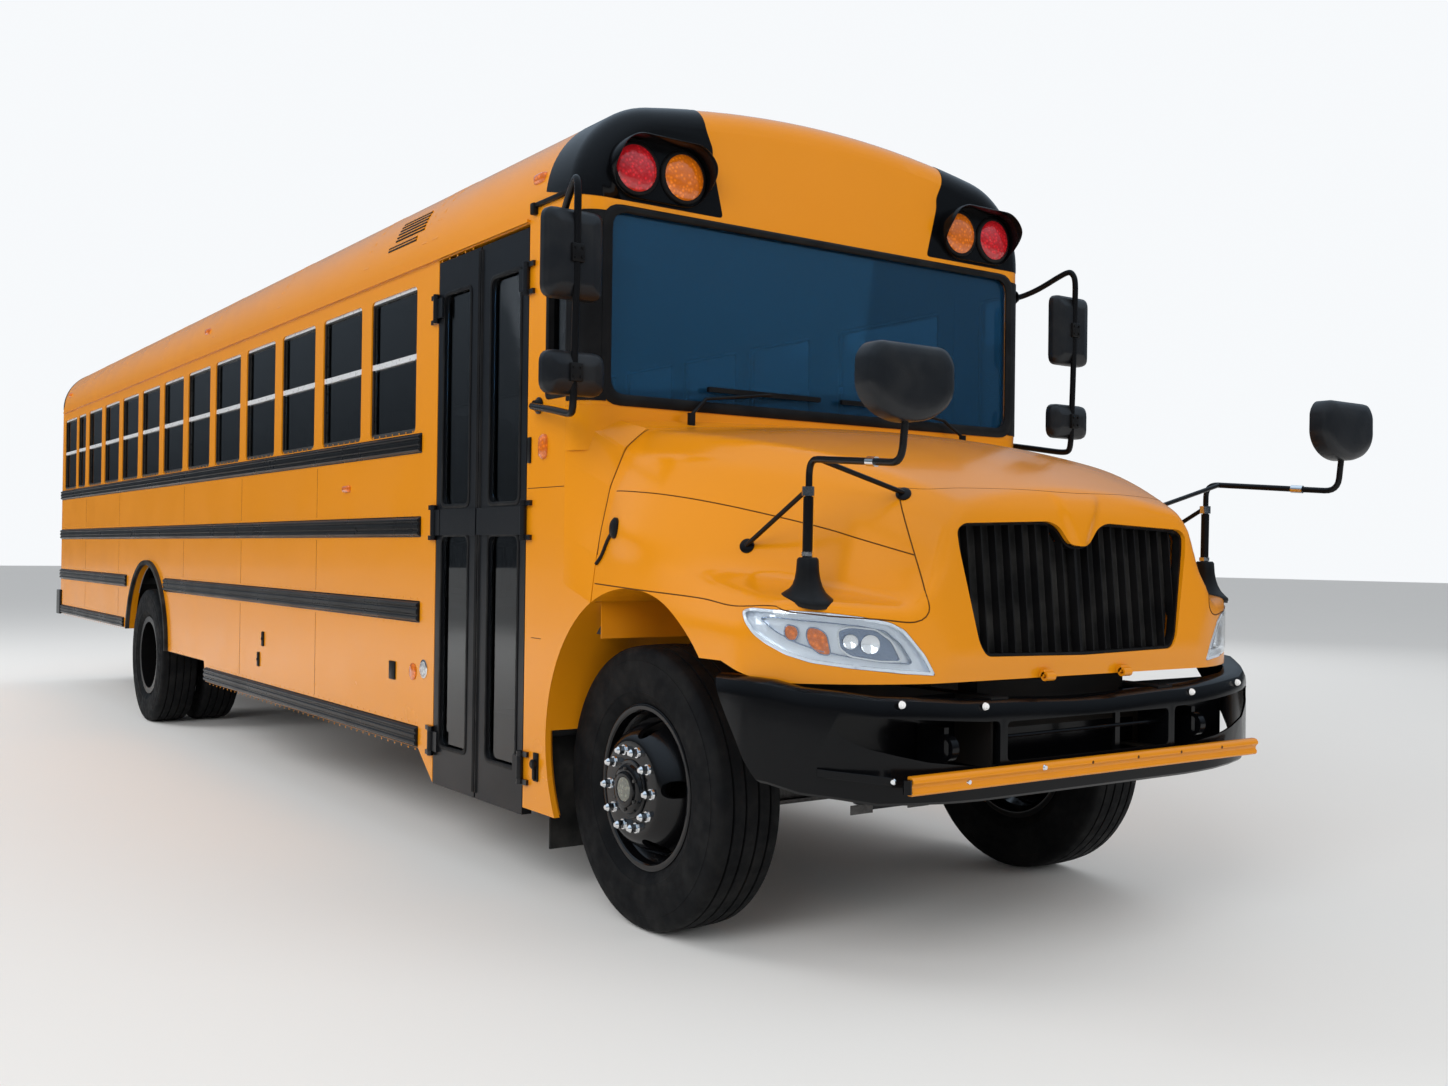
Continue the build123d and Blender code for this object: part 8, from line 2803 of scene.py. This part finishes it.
    def make_seams(self) -> None:
        """Lay thin strips in the shaded seam finish, painted shade in the seams between the wall panels, and the laps
        of the roof's sheets.
        """
        parts, laps = [], []
        for side in SIDES:
            near, far = side * (self.skin - 0.002), side * (self.skin + 0.0006)
            for x in self.wall_seams:
                for low, high in self.panel_rows(x, self.seam_rows, self.seam_foot):
                    parts.append(block("seam", (station(x) - 0.0016, near, low), (station(x) + 0.0016, far, high)))
            for low, high, rear, front in ((1.6415, 1.6445, -0.650, -0.345), (1.0405, 1.0435, -0.600, -0.520)):
                parts.append(block("seam", (station(rear), near, low), (station(front), far, high)))
        fit(joined("panel_seams", parts), "bus_body", "black_plastic", SHOP.seam)
        for x in self.roof_seams:
            rings = []
            for i in range(61):
                found = self.roof_spot(station(x), -1.2155 + 2.431 * i / 60)
                if not found:
                    continue
                spot, normal = found
                up, foot = spot + normal * 0.0016, spot - normal * 0.004
                rings.append([(up.x - 0.030, up.y, up.z), (up.x + 0.030, up.y, up.z), (foot.x + 0.033, foot.y, foot.z),
                              (foot.x - 0.033, foot.y, foot.z)])
            laps.append(smoothed(lofted("lap", rings), 30))
        fit(joined("roof_laps", laps), "bus_body", "yellow_paint", SHOP.yellow)

    def make_louvres(self) -> None:
        """Make the vent slots in the roof's side, each a black tube that paints the shade in its opening, with its
        pressed lip.
        """
        dark, lips = [], []
        for side in SIDES:
            skin = Skin(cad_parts["roof"], (0, -side, 0))
            for z in self.louvres:
                front, rear = (-1.865, -2.215) if z < 2.90 else (-1.800 - (z - 2.91) * 0.15, -2.150)
                # The black tube paints the shade under each lip; the yellow tube is the lip itself.
                for target, rise, radius in ((dark, 0.0, 0.0042), (lips, 0.0066, 0.0040)):
                    path = [(station(front), 0.0, z + rise), (station(rear), 0.0, z + rise)]
                    laid = skin.line(path, 0.0008 if rise == 0.0 else 0.0016, 0.05)
                    if len(laid) > 1:
                        target.append(tube("slot", [tuple(p) for p in laid], radius, sides=1))
        fit(joined("roof_vent_slots", dark), "bus_body", "black_plastic", SHOP.gasket)
        fit(joined("roof_vent_lips", lips), "bus_body", "yellow_paint", SHOP.yellow)

    def make_lamps(self) -> None:
        """Make the marker lamps, reflectors, small clear lamps, vents and skirt latches."""
        amber, clear, dark, bright = [], [], [], []
        for side in SIDES:
            out = (0.0, float(side), 0.0)
            for x in (-0.608, -5.584, -10.700):
                place = (station(x), side * 1.190, 2.895)
                amber.append(self.marker(place, side, (0.048, 0.030, 0.022)))
            amber.append(self.marker((station(-2.730), side * self.skin, 1.705), side, (0.052, 0.018, 0.017)))
            amber.append(self.marker((station(-0.515), side * self.skin, 1.806), side, (0.030, 0.018, 0.050)))
            dark.append(bevelled(self.box(station(-0.645), station(-0.622), side, 0.008, 1.745, 1.850), 0.003))
            amber.append(self.button((station(-1.805), side * self.skin, 0.812), side, 0.040, 0.007))
            clear.append(self.button((station(-1.676), side * self.skin, 0.834), side, 0.036, 0.010))
            bright.append(self.button((station(-1.676), side * self.skin, 0.834), side, 0.044, 0.006))
            dark.append(bevelled(self.box(station(-2.095), station(-2.020), side, 0.008, 0.755, 0.845), 0.006))
            for x, z in self.latches:
                plate = self.box(station(x) - 0.020, station(x) + 0.020, side, 0.009, z - 0.045, z + 0.045)
                dark.append(bevelled(plate, 0.008))
            pins = [((station(x), side * (self.skin + 0.008), z), out) for x, z in self.latches]
            dark.append(STUDS.set_on("latch_pin", pins, 0.010, 0.006, SHOP.black_plastic, 12, 0.8))
        fit(joined("amber_markers", amber), "bus_body", "lamp_plastic", SHOP.amber_lens)
        fit(joined("clear_side_lamps", clear), "bus_body", "lamp_plastic", SHOP.white_lens)
        fit(joined("side_lamp_rings", bright), "bus_body", "cast_parts", SHOP.chrome)
        fit(joined("skirt_latches", dark), "bus_body", "black_plastic", SHOP.black_plastic)

    def box(self, rear: float, front: float, side: int, out: float, low: float, high: float) -> Thing:
        """Return a thin box that stands off one side's skin."""
        return block("box", (rear, side * (self.skin - 0.002), low), (front, side * (self.skin + out), high))

    def marker(self, place: Point, side: int, size: Point) -> Thing:
        """Return a rounded marker lamp: its half length, how far out it stands and its half height.

        Args:
            place: The place of its middle.
            side: The side of the bus: -1 on the right, 1 on the left.
            size: Its half length, depth and half height.

        Returns:
            The lamp.
        """
        long, deep, tall = size
        rings = []
        for out, share in ((-0.25, 1.0), (0.35, 1.0), (0.75, 0.86), (0.95, 0.6), (1.0, 0.2)):
            flat = box_outline((-long * share, long * share), (-tall * share, tall * share), tall * 0.6, 3)
            rings.append([(place[0] + x, place[1] + side * deep * out, place[2] + z) for x, z in flat])
        return smoothed(lofted("marker", rings), 45)

    def button(self, place: Point, side: int, radius: float, deep: float) -> Thing:
        """Return a round, slightly domed lamp or reflector."""
        dome = [(-0.002, 0.0005), (-0.002, radius), (deep * 0.6, radius), (deep, radius * 0.85), (deep * 1.15, 0.0005)]
        return smoothed(turned("button", dome, place, "Y", 28, side), 45)


@dataclass
class Windows:
    """Black run channels, latches and rubbers of the side windows, and the doors' and rear panes' rubbers."""

    front: float = -1.750
    pitch: float = 0.725
    half: float = 0.295
    count: int = 11
    low: float = 1.945
    high: float = 2.645
    face: float = 1.2110
    # Each entrance leaf's panes from and to along X, and where the two leaves' seals meet.
    leaves = (("front", 3.824, 4.106, 3.7262), ("rear", 3.339, 3.621, 3.7188))
    leaf_panes = ((0.500, 1.456), (1.590, 2.550))
    rear_door_panes = ((1.290, 1.830), (2.010, 2.540))

    def centres(self, side: int) -> list[tuple[float, float]]:
        """Return each window's centre station and half width on one side.

        Args:
            side: The side of the bus: -1 on the right, 1 on the left.

        Returns:
            The windows.
        """
        spots = [(self.front - self.pitch * (i + 0.5), self.half) for i in range(self.count)]
        spots += [(-9.985, 0.180), (-10.555, self.half)]
        if side == 1:
            spots.append((-1.165, 0.400))
        return spots

    def build(self) -> None:
        """Make the channels, latches and rubbers."""
        channels, latches = [], []
        for side in SIDES:
            for x, half in self.centres(side):
                for edge in (-1, 1):
                    a, b = station(x + edge * (half - 0.004)), station(x + edge * (half - 0.028))
                    near, far = side * (self.face - 0.004), side * (self.face + 0.0015)
                    channels.append(block("channel", (a, near, self.low + 0.022), (b, far, 2.296)))
                    channels.append(block("channel", (a, near, 2.326), (b, far, self.high - 0.020)))
                    spot = station(x + edge * half * 0.55)
                    latches.append(block("latch", (spot - 0.022, side * 1.176, 2.315),
                                         (spot + 0.022, side * 1.160, 2.335)))
        fit(joined("window_channels", channels), "bus_body", "black_plastic", SHOP.gasket)
        fit(joined("window_latches", latches), "bus_body", "black_plastic", SHOP.black_plastic)
        self.door_rubbers()
        self.rear_rubbers()

    def door_rubbers(self) -> None:
        """Make the rubbers around the entrance doors' panes and along their edges."""
        for name, x0, x1, seal in self.leaves:
            parts = []
            for low, high in self.leaf_panes:
                outer = box_outline((x0 - 0.012, x1 + 0.012), (low - 0.012, high + 0.012), 0.045)
                inner = box_outline((x0 + 0.006, x1 - 0.006), (low + 0.006, high - 0.006), 0.035)
                parts.append(frame_band("rubber", outer, inner, -1.2185, -1.2235, "Y"))
            edge = -1 if name == "front" else 1
            bead = [(seal + edge * 0.0005, -1.222), (seal - edge * 0.014, -1.226), (seal - edge * 0.022, -1.216),
                    (seal - edge * 0.022, -1.182), (seal + edge * 0.0005, -1.182)]
            fit(smoothed(joined(f"entrance_{name}_rubbers", parts + [prism("seal", bead, 0.345, 2.690, "Z")])),
                f"entrance_leaf_{name}", "black_plastic", SHOP.gasket)

    def rear_rubbers(self) -> None:
        """Make the rubbers around the rear panes."""
        fixed = []
        for side in SIDES:
            middle = side * 0.760
            fixed.append(frame_band("rubber", box_outline((middle - 0.302, middle + 0.302), (1.978, 2.612), 0.06),
                                    box_outline((middle - 0.276, middle + 0.276), (2.004, 2.586), 0.045),
                                    REAR_X + 0.004, REAR_X - 0.008, "X"))
        fit(joined("rear_window_rubbers", fixed), "bus_body", "black_plastic", SHOP.gasket)
        moving = []
        for low, high in self.rear_door_panes:
            moving.append(frame_band("rubber", box_outline((-0.302, 0.302), (low - 0.012, high + 0.012), 0.05),
                                     box_outline((-0.278, 0.278), (low + 0.012, high - 0.012), 0.04),
                                     REAR_X + 0.004, REAR_X - 0.008, "X"))
        fit(joined("rear_door_rubbers", moving), "rear_emergency_door", "black_plastic", SHOP.gasket)


# ---- seats ----


@dataclass
class Seats:
    """Bench seats with padded cushions and backs, piping and steel legs."""

    front: float = 2.484
    pitch: float = 0.725
    rows: int = 12
    driver_front: float = 3.684
    inner: float = 0.185
    outer: float = 1.157
    base: float = 1.425
    # How a stuffed form fills out: distance in from its end and share of its outline.
    swell = ((0.0, 0.55), (0.004, 0.80), (0.014, 0.93), (0.035, 0.985), (0.10, 1.0))

    def build(self) -> None:
        """Make the benches of both sides."""
        rows = [(self.front - self.pitch * i, 0.0, 0.0) for i in range(self.rows)]
        for side in SIDES:
            if side == 1:
                self.bench(side, ("driver_cushion", "driver_back", "driver_piping", "driver_legs"), (0.330, 0.860),
                           [(self.driver_front, 0.0, 0.0)])
            name = SIDE_NAMES[side]
            labels = (f"bench_cushions_{name}", f"bench_backs_{name}", f"bench_piping_{name}", f"bench_legs_{name}")
            self.bench(side, labels, (self.inner, self.outer), rows, f"seats_{name}")

    def bench(self, side: int, labels: Sequence[str], across: Flat, spots: Sequence[Point], *nodes: str) -> None:
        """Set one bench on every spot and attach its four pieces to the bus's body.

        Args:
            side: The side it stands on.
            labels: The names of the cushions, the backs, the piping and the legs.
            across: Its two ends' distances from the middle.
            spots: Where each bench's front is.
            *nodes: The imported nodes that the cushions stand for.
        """
        finishes = (SHOP.seat, SHOP.seat, SHOP.gasket, SHOP.chassis)
        cushions, backs, piping, legs = [ROWS.repeat(label, pattern, spots, finish) for label, pattern, finish in
                                         zip(labels, self.patterns(side, *across), finishes)]
        fit(cushions, "bus_body", "seat_cover", None, *nodes)
        fit(backs, "bus_body", "seat_cover")
        fit(piping, "bus_body", "seat_cover")
        fit(legs, "bus_body", "chassis_paint")

    def pillow(self, name: str, outline: Sequence[Flat], low: float, high: float) -> Thing:
        """Return a stuffed form whose side-view outline fills out between its two ends.

        Args:
            name: The object's name.
            outline: The side view's outline.
            low: One end.
            high: The other end.

        Returns:
            The form.
        """
        middle = Vector((sum(x for x, _ in outline) / len(outline), sum(z for _, z in outline) / len(outline)))
        loop = rounded_outline(outline, 0.035, 4)
        swell = [(low + inset, share) for inset, share in self.swell]
        swell += [((low + high) / 2, 1.012), *[(high - (y - low), share) for y, share in reversed(swell)]]
        rings = [[(middle.x + (x - middle.x) * share, y, middle.y + (z - middle.y) * share) for x, z in loop]
                 for y, share in swell]
        return smoothed(lofted(name, rings), 60)

    def patterns(self, side: int, inner: float, outer: float) -> tuple[Thing, ...]:
        """Return one bench's cushion, back, piping and legs, with its front at x = 0.

        Args:
            side: The side of the bus: -1 on the right, 1 on the left.
            inner: The inner end's distance from the middle.
            outer: The outer end's distance from the middle.

        Returns:
            The four pieces.
        """
        low, high = sorted((side * inner, side * outer))
        z = self.base
        cushion = self.pillow("cushion", [(0.0, z + 0.005), (0.0, z + 0.100), (-0.030, z + 0.130), (-0.410, z + 0.112),
                                          (-0.430, z + 0.005)], low, high)
        back = self.pillow("back", [(-0.395, z + 0.060), (-0.392, z + 0.115), (-0.478, z + 0.700), (-0.505, z + 0.728),
                                    (-0.545, z + 0.722), (-0.558, z + 0.690), (-0.478, z + 0.060)], low, high)
        lines = []
        for x, height in ((0.001, z + 0.095), (-0.482, z + 0.690), (-0.556, z + 0.690)):
            lines.append(tube("piping", [(x, low + 0.02, height), (x, high - 0.02, height)], 0.004, sides=1))
        piping = joined("piping", lines)
        steel = []
        for y in (low + 0.10, high - 0.10):
            for x in (-0.060, -0.400):
                steel.append(tube("leg", [(x, y, 1.121), (x, y, z + 0.01)], 0.013, sides=1))
            steel.append(block("foot", (-0.43, y - 0.018, 1.121), (-0.03, y + 0.018, 1.128)))
        steel.append(block("rail", (-0.42, low + 0.03, z - 0.012), (-0.02, high - 0.03, z + 0.006)))
        return cushion, back, piping, joined("legs", steel)


# ---- stop arm and rear end ----


@dataclass
class StopArm:
    """The white border and the lamps of the stop arm's blank sign."""

    center: Point = (2.7755, 1.267, 1.700)
    across: float = 0.457
    # How far each face is from the middle, the border's two edges in from the rim, and the lamps' height off it.
    face_out: float = 0.0085
    border: Flat = (0.006, 0.024)
    lamp_rise: float = 0.165
    dome = ((0.0, 0.0005), (0.0, 0.040), (0.006, 0.038), (0.0085, 0.025), (0.0092, 0.0005))

    def build(self) -> None:
        """Make the border bands and lamps on both faces."""
        bands, lamps = [], []
        for out in SIDES:
            outer, inner = [self.octagon(self.across / 2 - edge) for edge in self.border]
            face = self.center[1] + out * self.face_out
            bands.append(frame_band("band", outer, inner, face - out * 0.0015, face + out * 0.0008, "Y"))
            for dz in (-self.lamp_rise, self.lamp_rise):
                place = (self.center[0], face, self.center[2] + dz)
                lamps.append(smoothed(turned("lamp", self.dome, place, "Y", 28, out), 45))
        fit(joined("stop_arm_border", bands), "stop_arm", "stop_red", SHOP.white)
        fit(joined("stop_arm_lamps", lamps), "stop_arm", "lamp_plastic", SHOP.red_lens)

    def octagon(self, reach: float) -> list[Flat]:
        """Return an octagon around the sign's centre, in X and Z.

        Args:
            reach: Half its width across the flats.

        Returns:
            The octagon's corners.
        """
        radius = reach / math.cos(math.pi / 8)
        return [(self.center[0] + radius * math.cos(math.pi / 8 + math.tau * i / 8),
                 self.center[2] + radius * math.sin(math.pi / 8 + math.tau * i / 8)) for i in range(8)]


@dataclass
class RearTrim:
    """The rear door's handle, the blank plate, rivets and bumper bolts."""

    handle_y: float = 0.345
    handle_ends: Flat = (1.480, 1.640)
    handle_reach: float = 0.052
    rose = ((-0.004, 0.0005), (-0.004, 0.022), (0.006, 0.020), (0.010, 0.012), (0.010, 0.0005))
    bumper_x: float = -6.345

    def build(self) -> None:
        """Make the rear end's small parts."""
        low, high = self.handle_ends
        near, far = REAR_X - 0.002, REAR_X - self.handle_reach
        corners = [(near, self.handle_y, low), (far, self.handle_y, low), (far, self.handle_y, high),
                   (near, self.handle_y, high)]
        handle = [tube("grip", bent_path(corners, 0.02), 0.009, sides=3)]
        for z in self.handle_ends:
            handle.append(smoothed(turned("rose", self.rose, (near, self.handle_y, z), "X", 20, -1), 40))
        fit(joined("rear_door_handle", handle), "rear_emergency_door", "black_plastic", SHOP.chrome)
        plate = [bevelled(block("plate", (REAR_X - 0.012, 0.62, 1.210), (REAR_X - 0.002, 0.93, 1.370)), 0.003)]
        fit(joined("blank_rear_plate", plate), "bus_body", "window_aluminium", SHOP.white)
        spots = [((REAR_X, side * y, z), (-1.0, 0.0, 0.0)) for side in SIDES for y in (0.470, 1.120)
                 for z in [1.02 + 0.09 * i for i in range(17)] if not (y > 1.0 and z < 1.70)]
        fit(STUDS.set_on("rear_rivets", spots, 0.0056, 0.002, SHOP.yellow, 6, 0.5), "bus_body", "yellow_paint")
        bolts = [((self.bumper_x, y, z), (-1.0, 0.0, 0.0)) for y in (-0.90, -0.45, 0.45, 0.90) for z in (0.750, 0.870)]
        fit(STUDS.set_on("rear_bumper_bolts", bolts, 0.014, 0.0009, SHOP.chrome, 12, 0.9), "bus_body", "cast_parts")


# ---- assembly ----


def dress_nodes() -> None:
    """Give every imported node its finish."""
    for name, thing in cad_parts.items():
        finish = NODE_FINISHES[name]
        thing.data.materials.clear()
        thing.data.materials.append(finish.material())


def main() -> None:
    """Build the sub-assemblies in order."""
    logging.basicConfig(level=logging.INFO, format="%(name)s: %(message)s")
    Studio().build()
    dress_nodes()
    for assembly in (Wheels, Hood, WarningLamps, SideMirrors, Bumper, FrontTrim, SideTrim, Windows, Seats, StopArm,
                     RearTrim):
        assembly().build()
        LOG.info("%s: built", assembly.__name__)


if __name__ == "__main__":
    main()
